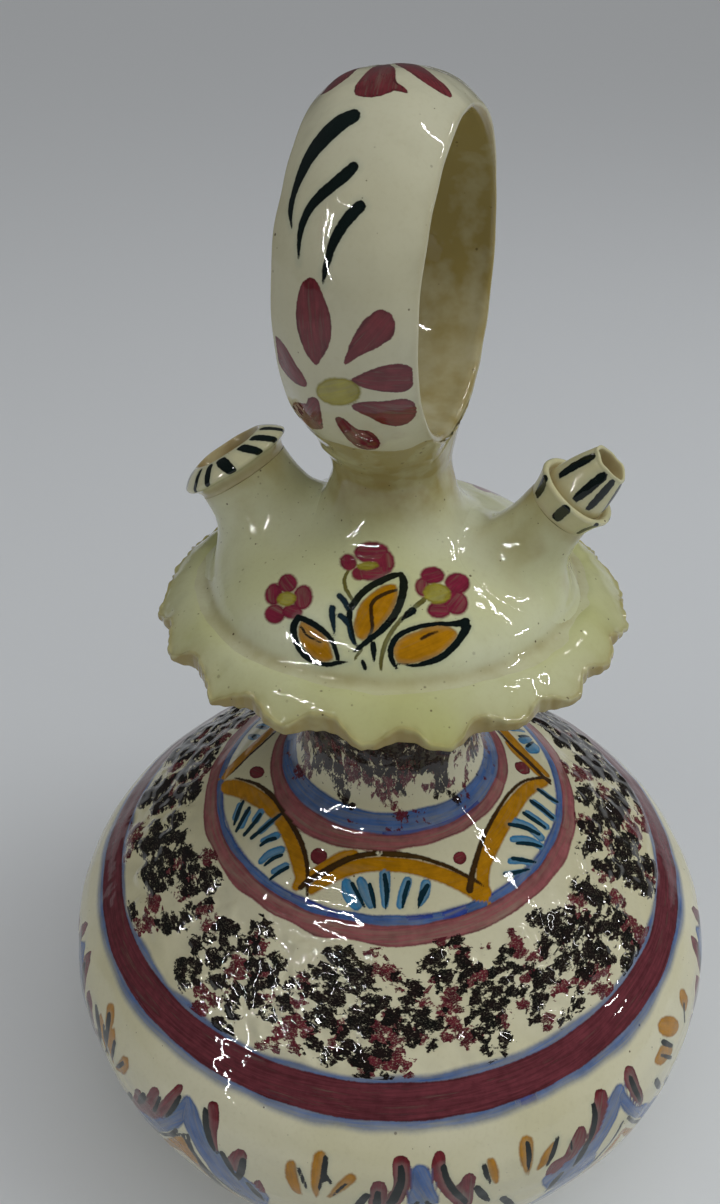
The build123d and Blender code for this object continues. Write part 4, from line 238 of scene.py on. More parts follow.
        ("och", 0, (-52.47,91.91,-52.61,91.28,-52.78,90.26,-52.89,88.98,-52.87,87.51,-52.78,85.97,-52.63,84.43,-52.4,82.96,-52.14,81.58,-51.94,80.55,-51.83,79.9,-51.63,79.47,-51.46,79.54,-51.42,80.07,-51.32,81.12,-51.09,82.15,-50.9,83.35,-50.79,84.71,-50.72,86.19,-50.64,87.36,-50.55,88.44,-50.45,89.5,-50.37,90.26,-50.49,91.7,-51.14,92.66,-51.96,92.73)),
        ("dk", 1, (-51.71,90.79,-51.72,89.9,-51.74,88.65,-51.78,87.29,-51.81,85.22,-51.83,82.73,-51.85,80.9,-51.81,80.57,-51.7,80.26,-51.59,80.22,-51.54,80.49,-51.37,82.26,-51.08,84.46,-50.89,86.59,-50.86,88.22,-50.92,89.59,-50.97,90.52,-51.09,91.04,-51.36,91.34,-51.62,91.23)),
        ("och", 0, (-47.46,88.02,-47.92,87.49,-48.57,86.72,-49.13,85.68,-49.58,84.21,-49.96,82.54,-50.23,81.34,-50.27,80.93,-50.15,80.37,-49.95,80.03,-49.78,80.11,-49.26,80.7,-48.51,81.52,-47.84,82.45,-47.33,83.72,-46.92,85.13,-46.63,86.14,-46.53,86.86,-46.73,87.68,-47.11,88.16)),
        ("dk", 1, (-46.67,89.22,-46.96,88.26,-47.38,86.89,-47.76,85.35,-48.14,83.61,-48.54,81.78,-48.79,80.38,-48.8,80.14,-48.72,79.86,-48.62,79.73,-48.55,79.81,-48.15,80.96,-47.56,82.41,-47.03,83.96,-46.67,85.69,-46.36,87.34,-46.14,88.41,-46.14,88.84,-46.29,89.25,-46.51,89.41)),
        ("och", 0, (-57.97,88.69,-57.93,87.89,-57.87,86.73,-57.75,85.44,-57.55,84.1,-57.3,82.74,-57.13,81.79,-56.91,80.92,-56.55,80.47,-56.25,80.82,-56.19,81.68,-56.18,82.61,-56.18,83.94,-56.21,85.27,-56.33,86.59,-56.46,87.75,-56.56,88.56,-56.86,89.65,-57.4,90.14,-57.86,89.74)),
        ("dk", 1, (-58.76,88.36,-58.71,87.55,-58.63,86.35,-58.48,84.94,-58.21,83.58,-57.9,82.29,-57.68,81.41,-57.57,81.1,-57.42,81,-57.32,81.21,-57.33,81.56,-57.42,82.49,-57.54,83.8,-57.66,85.04,-57.78,86.27,-57.89,87.44,-57.96,88.25,-58.13,88.87,-58.43,89.16,-58.69,88.94)),
        ("och", 0, (-16.68,85.62,-17.76,85.93,-19.06,87.14,-20.37,89.12,-21.34,91.21,-21.76,92.93,-21.63,94.22,-20.95,94.76,-19.98,94.78,-18.8,94,-17.71,92.7,-16.86,90.93,-16.27,88.64,-16.17,86.64)),
        ("dk", 1, (-22.05,88.99,-21.56,87.88,-20.86,86.29,-20.26,84.88,-19.69,83.77,-19.23,83.4,-19.13,84,-19.47,85.21,-19.98,86.62,-20.56,88.21,-20.98,89.35,-21.61,90.46,-22.15,90.72,-22.39,90.24)),
        ("och", 0, (-22.73,89.79,-23.38,89.54,-24.26,89.19,-24.86,88.83,-25.22,88.1,-24.85,86.41,-23.78,84.12,-22.8,83.15,-21.95,82.8,-20.76,82.31,-19.89,81.96,-19.49,83.23,-20.24,86.32,-21.5,88.79)),
        ("dk", 1, (-23.08,86.21,-22.37,84.6,-21.4,82.36,-20.64,80.6,-20.06,79.47,-19.7,79.29,-19.78,80.17,-20.21,81.48,-20.92,83.13,-21.9,85.36,-22.57,86.87,-23,87.54,-23.33,87.64,-23.37,87.11)),
        ("och", 0, (-12.64,93.12,-12.93,92.75,-13.31,92.22,-13.62,91.59,-13.79,90.69,-13.75,89.24,-13.66,88.07,-13.56,87.45,-13.19,86.57,-12.68,85.78,-12.44,85.8,-12.07,86.15,-11.52,86.65,-11.1,87.36,-11,88.58,-11.07,90.03,-11.04,90.81,-11.09,91.58,-11.59,92.58,-12.24,93.22)),
        ("dk", 1, (-13.15,89.73,-13.53,88.14,-13.98,85.79,-14.13,83.65,-14.08,83.4,-13.94,83.04,-13.78,82.78,-13.71,82.78,-13.47,84.76,-13.03,87.21,-12.58,88.68,-12.62,88.99,-12.81,89.42,-13.03,89.73)),
    ),
    "filler_lip": (
        ("dk", 0, (66.9,14.79,0.76,162.07,10.81,-1.45,155.24,10.97,-1.27,75.8,15.43,0.63,77.78,16.32,0.1,79.94,16.84,-0.52,82.09,17.14,-1.28,84.62,17.19,-2.28,86.45,17.1,-3.23,85.8,16.97,-3.83,83.8,16.88,-4.16,81.35,16.85,-4.23,78.88,16.91,-4.03,77.68,17.04,-3.58,76.35,17.15,-2.91,73.55,17.22,-2.03,70.85,17.12,-1.16,68.77,16.83,-0.51,67.14,16.41,0.02,65.96,15.76,0.48)),
        ("dk", 0, (45.52,15.65,0.54,47.8,15.47,0.61,50.67,15.77,0.48,53.28,16.16,0.24,55.61,16.59,-0.18,57.24,16.98,-0.8,58.81,17.2,-1.59,61.03,17.17,-2.65,62.96,17.02,-3.65,63.48,16.88,-4.17,62.88,16.76,-4.49,61.15,16.63,-4.81,58.88,16.55,-4.98,56.78,16.58,-4.91,54.59,16.73,-4.56,52.32,16.98,-3.79,50.19,17.16,-2.81,48.07,17.21,-1.69,46.47,16.92,-0.66,45.42,16.34,0.09)),
        ("dk", 0, (13.57,15.91,0.4,15.22,15.61,0.56,18.45,15.78,0.48,22.33,16.36,0.07,25.75,16.84,-0.53,28.03,17.1,-1.12,29.81,17.21,-1.8,31.48,17.17,-2.67,32.73,17.04,-3.55,33.35,16.83,-4.3,33.25,16.59,-4.89,32.21,16.39,-5.29,30.25,16.31,-5.42,27.02,16.45,-5.17,23.71,16.63,-4.8,21.47,16.68,-4.68,19.88,16.8,-4.37,19.02,17.07,-3.43,18.24,17.19,-2.35,17.01,17.18,-1.47,15.66,16.94,-0.71,14.26,16.48,-0.05)),
        ("dk", 0, (-91.58,10.84,-1.42,2.65,15.02,0.73,4.29,16.19,0.21,4.9,16.96,-0.74,4.28,17.22,-1.89,2.87,17.14,-3.01,1.12,16.95,-3.93,-0.42,16.8,-4.37,-1.95,16.78,-4.46,-4.5,16.83,-4.29,-6.26,16.97,-3.84,-5.25,17.13,-3.06,-3.52,17.2,-2.14,-2.16,17.12,-1.18,-1.37,16.71,-0.33,-0.67,16.12,0.26,-0.35,15.35,0.65,-88.02,10.84,-1.42)),
        ("dk", 0, (-77.63,12,-0.33,-71.73,11.94,-0.37,-18.9,14.4,0.77,-15.65,15.95,0.38,-16.71,16.7,-0.31,-18.59,17.13,-1.22,-21.58,17.21,-2,-23.71,17.21,-2.07,-24.75,17.21,-1.81,-25.69,17.19,-1.51,-25.5,17.09,-1.06,-23.22,16.76,-0.41,-21.43,16.17,0.22,-21.79,15.32,0.66,-53.74,12.54,0.01,-70.94,12.17,-0.21)),
    ),
    "spout_collar": (
        ("dk", 0, (-80.99,10.8,4.15,-76.4,11.06,5.83,-74.65,10.82,7,-79.71,9.88,7.19,-101.4,8.65,5.6,-97.14,8.1,5.6,-88.6,7.84,5.6,-58.38,10.08,7.24,-54.1,11.01,6.75,-55.72,11.03,5.51,-58.46,10.81,4.18,-62.55,10.46,2.85,-69.03,9.96,1.53)),
        ("dk", 0, (-14.09,10.35,2.51,-14.85,10.71,3.72,-14.97,10.98,5.13,-15.92,11.11,6.26,-16.74,10.69,7.11,-20.53,5.15,5.6,173.27,4.6,1.94,166.73,4.6,2.21,159.48,4.6,2.03,153.84,4.6,1.35,-5.12,10.05,7.23,-5.13,11.08,6.6,-4.81,11.01,5.41,-4.31,10.83,4.32,-4.24,10.6,3.37,-5.13,10.41,2.69,-7,10.27,2.3,-10.67,10.21,2.16)),
        ("dk", 0, (71.14,5.94,5.6,79.97,5.97,5.6,85.15,6.34,5.6,82.85,6.96,5.6,77.64,7.64,5.6,71.6,8.16,5.6,44.81,9.89,7.19,39.95,10.76,7.06,38.45,11.07,6.59,37,11.11,6.32,34.38,11.11,6.35,30.72,11.03,6.71,28.28,10.71,7.1,48.45,7.76,5.6,56.78,6.98,5.6,63.81,6.34,5.6)),
    ),
    "spout_nozzle": (
        ("dk", 0, (-78.17,7.68,9.49,-85.28,7.57,9.87,-94.4,7.35,10.58,-120.02,4.65,16.21,-93.56,4.61,16.21,-75.96,5.27,15.71,-72.68,5.67,14.59,-68.27,6.17,13.57,-65.92,6.6,12.55,-64.91,6.97,11.69,-66.21,7.25,10.91,-71.38,7.52,10.03)),
        ("dk", 0, (-15.94,7.53,9.99,-17.88,7.26,10.88,-19.04,6.82,12.04,-19.55,6.32,13.2,-19.36,5.78,14.39,-18.17,5.29,15.66,172.46,3.6,13.18,170.5,3.6,14.16,167.28,3.6,14.76,159.36,3.6,14.92,151.12,3.6,14.67,146.74,3.6,13.83,3.53,4.88,16.14,2.57,5.35,15.2,1.26,5.86,14.23,0.65,6.31,13.23,-0.12,6.73,12.26,-1.44,7.14,11.3,-3.08,7.38,10.49,-5.5,7.49,10.12,-8.52,7.54,10,-12.4,7.57,9.83)),
        ("dk", 0, (18.5,7.18,11.18,17.53,6.93,11.79,17.04,6.58,12.62,15.93,6.19,13.51,14.75,5.76,14.42,13.35,5.3,15.32,12.42,4.84,16.16,135.23,3.6,14.01,134.92,3.6,14.77,125.06,3.62,15.06,109.94,3.63,15.08,93.46,3.6,14.8,32.96,5.21,15.85,34.2,5.53,14.86,32.57,6.01,13.97,30.57,6.37,13.11,28.21,6.7,12.33,26.31,7.01,11.6,24.44,7.21,11.07,21.43,7.24,10.95)),
    ),
    "sponged": (
        ("blk", 0, (154.6,87.9,156.5,84.7,158,84,158.8,85.9,158.6,89.9,157.4,95.7,152.6,93.4)),
        ("blk", 0, (173.1,78.3,175.5,76.4,177.5,76.5,178.7,78.6,178.6,82.2,177.7,86.7,175.9,91.4,173.7,95.6,171.6,98.2,168.7,96.6,168.5,92.4,169.2,87.3,170.8,82.2)),
        ("blk", 0, (168.6,82.3,169.4,82.4,169.7,83.1,169.4,84.2,168.7,85.6,167.8,87,166.7,88.1,165.7,88.8,164.9,88.8,164.7,88.1,164.8,86.9,165.5,85.5,166.4,84,167.6,82.9)),
        ("blk", 0, (-174,68.1,-172.4,67.4,-171.1,67.8,-170.3,69.2,-170.2,71.2,-170.8,73.5,-171.9,75.7,-173.2,77.3,-174.6,78.1,-175.8,77.8,-176.6,76.5,-176.9,74.4,-176.5,72,-175.5,69.7)),
        ("blk", 0, (-171.1,77.3,-169.2,76.5,-167.6,77.4,-166.7,79.8,-166.5,83,-166.9,86.5,-167.8,89.6,-169.2,91.8,-170.9,92.8,-172.4,92.1,-173.4,89.9,-173.9,86.6,-173.7,82.9,-172.7,79.6)),
        ("blk", 0, (-166.2,65,-164.1,64,-162,64.2,-160.4,65.3,-159.7,67.2,-159.9,69.4,-160.9,71.6,-162.5,73.3,-164.4,74.2,-166.2,74.3,-167.8,73.3,-168.8,71.6,-168.9,69.3,-167.9,66.9)),
        ("blk", 0, (-162.9,72.9,-161.8,72.8,-161.1,73.6,-160.9,75.3,-161.3,77.4,-162.1,79.7,-163.3,81.6,-164.4,82.8,-165.4,83,-166.1,82.2,-166.3,80.5,-166,78.2,-165.3,75.9,-164.2,74)),
        ("blk", 0, (-152.6,68.7,-151.7,69,-151.3,69.9,-151.6,71.1,-152.5,72.5,-153.7,73.8,-155.2,74.7,-156.6,75.2,-157.7,75,-158.2,74.2,-157.9,72.9,-157,71.4,-155.5,70,-153.9,69)),
        ("blk", 0, (-150.4,76.2,-149.2,76.3,-148.6,77.4,-148.7,79,-149.5,81,-150.7,82.9,-152.1,84.5,-153.5,85.4,-154.7,85.4,-155.5,84.5,-155.5,82.8,-154.7,80.6,-153.5,78.5,-152,76.9)),
        ("blk", 0, (-146.2,67.2,-145.4,67.9,-145.7,69.6,-146.8,72.1,-148.4,74.8,-150.3,77.5,-152.1,79.4,-153.4,80.2,-154.1,79.6,-154.1,77.8,-153.3,75.1,-151.7,72.1,-149.8,69.5,-147.8,67.8)),
        ("blk", 0, (-143,73.5,-141.7,74.3,-141.1,75.5,-141.3,76.6,-142.2,77.5,-143.6,78,-145.3,78.2,-147,77.8,-148.3,77.1,-149,76,-148.9,74.9,-148,73.8,-146.5,73.1,-144.7,73)),
        ("blk", 0, (-140.2,77.4,-139.7,78.5,-139.8,79.9,-140.6,81.3,-141.9,82.5,-143.6,83.2,-145.2,83.4,-146.5,82.9,-147.1,81.9,-147.1,80.4,-146.3,78.9,-144.9,77.6,-143.1,76.8,-141.4,76.8)),
        ("blk", 0, (-137.2,75.8,-136.3,76.3,-136.1,77.5,-136.5,79.1,-137.5,80.7,-138.8,82.2,-140.1,83.2,-141.4,83.5,-142.4,83,-142.7,81.9,-142.3,80.2,-141.2,78.5,-139.9,77,-138.4,76)),
        ("blk", 0, (-140.4,67.4,-139.3,67.9,-138.7,68.7,-138.7,69.5,-139.3,70.2,-140.4,70.7,-141.8,70.9,-143.4,70.8,-144.7,70.3,-145.5,69.6,-145.6,68.8,-144.9,68,-143.7,67.4,-142.1,67.2)),
        ("blk", 0, (-134.5,67.2,-134.1,68,-134.2,69,-134.9,69.9,-135.9,70.6,-137.1,70.9,-138.2,70.8,-139.1,70.2,-139.5,69.4,-139.4,68.4,-138.8,67.4,-137.8,66.7,-136.6,66.4,-135.4,66.6)),
        ("blk", 0, (-134.8,70.5,-134.3,70.9,-134.2,71.6,-134.4,72.3,-135,72.9,-135.8,73.4,-136.7,73.6,-137.5,73.5,-138,73.1,-138.1,72.5,-137.9,71.8,-137.3,71.1,-136.5,70.6,-135.6,70.4)),
        ("blk", 0, (-125.6,66,-125.5,67.5,-126.1,68.8,-127.2,69.9,-128.7,70.4,-130.3,70.3,-131.7,69.6,-132.5,68.5,-132.8,67,-132.2,65.6,-131,64.5,-129.4,63.9,-127.6,64,-126.3,64.8)),
        ("blk", 0, (-128.8,69.5,-128.2,70,-128,71,-128.5,72.1,-129.4,73.2,-130.5,74,-131.7,74.5,-132.8,74.5,-133.4,74,-133.6,73.1,-133.3,71.9,-132.4,70.8,-131.2,69.8,-129.9,69.4)),
        ("blk", 0, (-123,68.4,-122.8,68.9,-123.2,70.2,-124.1,71.9,-125.2,73.8,-126.3,75.5,-127.3,76.7,-128,77,-128.2,76.5,-127.9,75.2,-127,73.4,-126,71.4,-124.8,69.7,-123.7,68.7)),
        ("blk", 0, (-125.2,74.2,-124.7,74.6,-124.5,75.3,-124.7,76.2,-125.2,77.2,-126,78,-126.8,78.5,-127.6,78.5,-128.1,78.2,-128.4,77.5,-128.2,76.5,-127.6,75.5,-126.8,74.7,-126,74.2)),
        ("blk", 0, (-125.4,78.2,-124.9,79,-125.2,80.2,-125.9,81.6,-127.1,82.8,-128.6,83.8,-129.9,84.2,-130.9,84,-131.4,83.2,-131.3,82,-130.5,80.6,-129.2,79.2,-127.7,78.3,-126.3,78)),
        ("blk", 0, (-138.1,90.1,-138.2,90.9,-138.8,91.8,-139.7,92.7,-140.9,93.4,-142,93.8,-142.8,93.8,-143.2,93.4,-143.1,92.6,-142.4,91.6,-141.4,90.6,-140.2,89.9,-139.2,89.5,-138.4,89.6)),
        ("blk", 0, (-137.4,89.1,-137.1,89.4,-137,89.9,-137.1,90.5,-137.5,91,-138,91.4,-138.5,91.7,-139,91.6,-139.3,91.4,-139.4,90.9,-139.3,90.3,-138.9,89.8,-138.4,89.3,-137.8,89.1)),
        ("blk", 0, (-112.8,69.6,-112.5,70.3,-112.7,71.2,-113.2,72,-114.2,72.5,-115.2,72.8,-116.2,72.7,-116.9,72.3,-117.3,71.6,-117.1,70.8,-116.5,70,-115.6,69.3,-114.5,69.1,-113.5,69.2)),
        ("blk", 0, (-155.4,76.6,-154.3,76.8,-153.8,77.3,-153.8,78.2,-154.3,79.1,-155.4,80.1,-156.7,80.9,-158,81.3,-159.1,81.3,-159.7,80.8,-159.7,80,-159.1,78.9,-158.1,77.8,-156.7,77)),
        ("blk", 0, (169.1,74.2,170.5,72.6,172.2,71.5,173.7,71.2,174.8,71.6,175.2,72.8,174.9,74.3,174,76,172.6,77.6,171.1,78.7,169.6,79.2,168.6,78.9,168.1,77.8,168.3,76.1)),
        ("blk", 0, (-173.8,84,-173.3,83.8,-172.9,83.9,-172.9,84.4,-173.2,85.2,-173.7,86,-174.4,86.8,-175,87.4,-175.6,87.6,-175.9,87.5,-175.9,87,-175.6,86.3,-175.1,85.4,-174.5,84.6)),
        ("brg", 0, (171.2,64.5,173.3,63.7,174.4,64,174.4,65.3,173.3,67.3,171.3,69.7,169,72.1,166.7,74.2,164.9,75.3,163.6,75.6,163.3,74.3,164.5,71.6,166.3,68.8,168.7,66.3)),
        ("brg", 0, (163.2,61.7,165.4,59.6,167.2,58.9,168.4,59.3,168.8,60.7,168.3,62.8,167.1,65.4,165.4,67.9,163.4,70.2,161.3,71.8,159.9,72.1,159.3,70.8,159.7,68.2,161.1,64.8)),
        ("brg", 0, (174.3,68.5,176.2,66.8,178.1,66,179.2,66.3,179.7,67.5,179.5,69.2,178.6,71.1,177.1,73.1,175.3,74.9,173.6,75.9,172.3,75.9,171.6,74.9,171.7,73.1,172.7,70.8)),
        ("brg", 0, (179.9,92.2,181.2,90.9,182.1,90.6,182.6,91.3,182.5,92.8,181.9,94.8,180.7,97.1,177.2,97.1,178.5,94.4)),
        ("brg", 0, (-174.1,64.9,-172.9,64.4,-172,64.8,-171.6,65.8,-171.7,67.3,-172.3,68.9,-173.2,70.5,-174.4,71.7,-175.4,72.2,-176.3,71.9,-176.7,70.9,-176.7,69.4,-176.2,67.6,-175.3,66)),
        ("brg", 0, (-164.1,90.6,-162.8,90,-162,90,-161.6,90.8,-161.8,92.1,-162.6,93.7,-163.7,95.2,-165,96.6,-166.3,97.4,-167.2,97.5,-167.6,96.8,-167.3,95.4,-166.5,93.6,-165.3,91.9)),
        ("brg", 0, (-155.7,85,-154.8,86.1,-154.6,87.5,-154.9,88.7,-155.9,89.7,-157.2,90.3,-158.6,90.3,-159.9,89.8,-160.9,88.8,-161.3,87.5,-160.9,86.1,-160,85,-158.6,84.4,-157.1,84.4)),
        ("brg", 0, (-152.8,87.7,-152.2,87.9,-152,88.6,-152.3,89.7,-152.9,91,-153.8,92.1,-154.8,93,-155.7,93.5,-156.4,93.3,-156.6,92.6,-156.3,91.5,-155.6,90.1,-154.6,88.8,-153.6,88)),
        ("brg", 0, (-134.3,80.9,-133.5,81.8,-133.3,82.9,-133.5,83.8,-134.2,84.5,-135.2,84.8,-136.3,84.7,-137.4,84.1,-138.2,83.3,-138.5,82.3,-138.3,81.3,-137.6,80.5,-136.5,80.2,-135.3,80.3)),
        ("brg", 0, (-132.2,85.9,-131.9,86.5,-132,87.4,-132.6,88.5,-133.5,89.7,-134.5,90.7,-135.4,91.2,-136.1,91.2,-136.4,90.7,-136.3,89.8,-135.8,88.6,-134.9,87.3,-133.9,86.4,-132.9,85.9)),
        ("brg", 0, (-130.7,83.7,-130.4,84.1,-130.5,84.7,-131,85.5,-131.6,86.3,-132.4,86.9,-133.1,87.3,-133.6,87.2,-133.9,86.9,-133.8,86.2,-133.4,85.3,-132.7,84.5,-131.9,83.9,-131.2,83.6)),
        ("brg", 0, (-133.3,62.9,-132.6,63.4,-132.4,64.2,-132.8,65.1,-133.7,65.9,-134.8,66.4,-136,66.7,-137,66.5,-137.7,66,-137.9,65.2,-137.6,64.3,-136.8,63.4,-135.7,62.8,-134.4,62.6)),
        ("brg", 0, (-139,69.4,-138.4,69.7,-138.2,70.3,-138.2,70.8,-138.7,71.4,-139.4,71.8,-140.2,71.9,-141,71.8,-141.7,71.5,-142,71,-141.9,70.4,-141.4,69.8,-140.7,69.5,-139.8,69.3)),
        ("brg", 0, (-130.9,69.3,-130.4,69.8,-130.4,70.5,-130.8,71.3,-131.6,72.1,-132.6,72.7,-133.5,72.9,-134.3,72.8,-134.8,72.3,-134.8,71.6,-134.4,70.7,-133.7,69.9,-132.7,69.3,-131.7,69.1)),
        ("brg", 0, (-121.8,69.7,-121.3,70.2,-121.1,70.9,-121.4,71.8,-122,72.7,-122.8,73.4,-123.6,73.9,-124.4,73.9,-124.9,73.5,-125.1,72.8,-124.9,71.8,-124.3,70.9,-123.5,70.1,-122.6,69.7)),
        ("brg", 0, (-117.6,72.8,-117.3,73.4,-117.5,74,-117.9,74.7,-118.7,75.3,-119.5,75.6,-120.3,75.7,-120.9,75.4,-121.2,74.8,-121.1,74.1,-120.6,73.4,-119.9,72.8,-119,72.5,-118.2,72.5)),
        ("brg", 0, (-139.6,73.3,-139.1,73.7,-138.9,74.3,-139.2,75,-139.7,75.8,-140.5,76.3,-141.4,76.7,-142.3,76.6,-142.9,76.3,-143.1,75.7,-142.9,74.9,-142.3,74.1,-141.4,73.5,-140.4,73.2)),
        ("brg", 0, (-131.2,73.9,-130.8,74.2,-130.8,74.7,-131,75.2,-131.4,75.7,-132,76,-132.6,76.1,-133.2,76,-133.5,75.6,-133.6,75.2,-133.4,74.6,-133,74.1,-132.4,73.8,-131.7,73.7)),
        ("blk", 0, (-115.4,74.6,-115.2,75.2,-115.3,75.8,-115.7,76.4,-116.4,76.9,-117.2,77.2,-117.9,77.2,-118.4,76.9,-118.7,76.3,-118.6,75.7,-118.2,75,-117.5,74.5,-116.7,74.2,-115.9,74.3)),
        ("blk", 0, (-118,78.2,-117.9,78.7,-118.2,79.3,-118.8,79.9,-119.5,80.3,-120.2,80.5,-120.8,80.5,-121.2,80.3,-121.3,79.8,-121.1,79.2,-120.5,78.6,-119.8,78.2,-119.1,77.9,-118.4,78)),
        ("blk", 0, (-112.9,72.7,-112.6,73.3,-112.6,74,-113,74.6,-113.5,75,-114.2,75,-115,74.9,-115.6,74.4,-115.9,73.8,-115.9,73.1,-115.6,72.5,-115,72.1,-114.3,72,-113.5,72.2)),
        ("blk", 0, (-105.9,65.5,-105.8,66,-106,66.6,-106.5,67.2,-107.2,67.6,-108.1,67.7,-108.8,67.6,-109.3,67.2,-109.5,66.7,-109.3,66,-108.8,65.4,-108,65,-107.2,64.9,-106.4,65)),
        ("blk", 0, (-102.9,65.6,-102.7,66.1,-102.8,66.7,-103.1,67.1,-103.6,67.3,-104.2,67.3,-104.8,67,-105.2,66.6,-105.4,66,-105.3,65.5,-105,65.1,-104.5,64.8,-103.9,64.8,-103.3,65.1)),
        ("blk", 0, (-106.6,69,-106.4,69.5,-106.6,70.1,-107.1,70.7,-107.9,71.3,-108.7,71.7,-109.4,71.8,-109.9,71.6,-110,71.2,-109.9,70.5,-109.4,69.9,-108.7,69.3,-107.8,68.9,-107.1,68.8)),
        ("blk", 0, (-110.2,75.8,-110,76.7,-110.2,77.7,-110.9,78.7,-112,79.5,-113.1,79.9,-114.2,79.8,-115,79.3,-115.4,78.4,-115.2,77.3,-114.4,76.3,-113.3,75.6,-112.1,75.2,-111,75.2)),
        ("blk", 0, (-114.5,81.4,-114.2,82.3,-114.6,83.4,-115.5,84.6,-116.7,85.5,-118,86.2,-119.2,86.3,-120,86,-120.4,85.1,-120.1,83.9,-119.2,82.6,-118,81.6,-116.6,81,-115.3,80.9)),
        ("blk", 0, (-114.1,85.2,-113.8,85.9,-114,86.8,-114.5,87.6,-115.3,88.2,-116.2,88.6,-117.1,88.5,-117.7,88.1,-118,87.4,-117.9,86.5,-117.4,85.6,-116.6,85,-115.7,84.6,-114.8,84.7)),
        ("blk", 0, (-108.8,81.1,-108.7,81.5,-108.8,82,-109.2,82.6,-109.7,83.1,-110.3,83.5,-110.8,83.6,-111.2,83.5,-111.3,83.1,-111.2,82.6,-110.8,82,-110.3,81.4,-109.7,81.1,-109.2,81)),
        ("blk", 0, (-100.9,73.7,-100.8,74.3,-101.1,75.1,-101.8,75.7,-102.7,76.1,-103.6,76.2,-104.4,76.1,-104.9,75.6,-105.1,74.9,-104.8,74.1,-104.1,73.5,-103.2,73,-102.2,72.9,-101.4,73.1)),
        ("blk", 0, (-104.8,71.2,-104.7,71.7,-104.9,72.3,-105.4,72.9,-106.1,73.2,-106.8,73.4,-107.5,73.2,-108,72.8,-108.1,72.3,-108,71.7,-107.5,71.1,-106.8,70.7,-106,70.6,-105.3,70.7)),
        ("blk", 0, (-97.4,76.2,-97.5,76.8,-98.2,77.7,-99.3,78.7,-100.7,79.5,-102.1,80,-103.2,80.2,-103.8,79.9,-103.8,79.3,-103.1,78.3,-102,77.4,-100.5,76.5,-99.1,76,-98,75.9)),
        ("blk", 0, (-97.2,71.2,-97.2,72.2,-97.4,73.1,-97.9,73.7,-98.6,73.9,-99.2,73.6,-99.8,72.9,-100.2,72,-100.4,71,-100.1,70.1,-99.6,69.5,-98.9,69.4,-98.2,69.6,-97.6,70.3)),
        ("blk", 0, (-93.4,75.5,-93.5,76,-93.8,76.4,-94.1,76.7,-94.5,76.7,-94.9,76.5,-95.1,76,-95.2,75.5,-95.1,74.9,-94.8,74.5,-94.5,74.2,-94.1,74.2,-93.7,74.5,-93.5,74.9)),
        ("blk", 0, (-93.1,78.5,-92.9,79,-93,79.5,-93.3,80.1,-93.8,80.5,-94.4,80.7,-95,80.7,-95.4,80.4,-95.6,79.9,-95.6,79.3,-95.3,78.8,-94.8,78.3,-94.2,78.1,-93.6,78.1)),
        ("blk", 0, (-95.4,82.7,-95.7,83.3,-96.2,83.8,-96.7,84,-97.3,84,-97.8,83.7,-98.2,83.2,-98.2,82.5,-98,81.9,-97.5,81.4,-96.9,81.1,-96.3,81.2,-95.8,81.5,-95.5,82.1)),
        ("blk", 0, (-102.9,82.2,-103.2,82.9,-103.6,83.5,-104.2,83.9,-104.9,83.9,-105.5,83.6,-105.9,83,-106,82.2,-105.8,81.4,-105.3,80.8,-104.7,80.4,-104,80.4,-103.4,80.8,-103,81.4)),
        ("blk", 0, (-99,80.5,-98.9,81,-99.2,81.5,-99.6,81.9,-100.3,82.2,-100.9,82.3,-101.4,82.1,-101.7,81.8,-101.8,81.4,-101.5,80.9,-101,80.4,-100.4,80.1,-99.8,80.1,-99.2,80.2)),
        ("blk", 0, (-102.9,85.5,-102.9,86.2,-103.1,86.7,-103.5,87.1,-103.9,87.1,-104.3,86.9,-104.7,86.5,-104.8,85.9,-104.8,85.2,-104.6,84.6,-104.2,84.3,-103.8,84.2,-103.3,84.4,-103,84.9)),
        ("blk", 0, (-102.1,88.8,-102.1,89.2,-102.2,89.5,-102.5,89.9,-102.8,90.1,-103.2,90.1,-103.6,90,-103.8,89.8,-103.9,89.4,-103.8,89,-103.5,88.6,-103.1,88.4,-102.7,88.4,-102.4,88.5)),
        ("blk", 0, (-104.3,88.7,-104.2,89.1,-104.4,89.6,-104.7,90,-105.2,90.3,-105.7,90.4,-106.1,90.3,-106.4,90.1,-106.5,89.6,-106.3,89.2,-106,88.7,-105.5,88.4,-105,88.3,-104.6,88.4)),
        ("blk", 0, (-81.4,67,-82.1,67.8,-83.3,68.3,-84.9,68.3,-86.4,67.9,-87.7,67,-88.4,66,-88.5,64.9,-87.8,64.1,-86.4,63.6,-84.8,63.6,-83.2,64,-81.9,64.9,-81.3,65.9)),
        ("blk", 0, (-79.8,68.7,-80.5,69.5,-81.3,70.1,-82.3,70.2,-83.2,69.9,-83.8,69.2,-84.1,68.3,-83.9,67.3,-83.3,66.4,-82.4,65.8,-81.4,65.7,-80.5,66,-79.8,66.8,-79.6,67.7)),
        ("blk", 0, (-84,70,-84.3,70.7,-84.9,71.3,-85.8,71.7,-86.9,71.7,-87.9,71.4,-88.6,70.9,-88.9,70.3,-88.7,69.6,-88,69,-87.1,68.7,-85.9,68.7,-85,68.9,-84.3,69.4)),
        ("blk", 0, (-80.1,72.8,-80.4,73.9,-81.5,75,-83.2,75.9,-85.2,76.6,-87.1,76.7,-88.6,76.4,-89.4,75.6,-89.3,74.6,-88.2,73.4,-86.5,72.4,-84.3,71.8,-82.3,71.6,-80.8,72)),
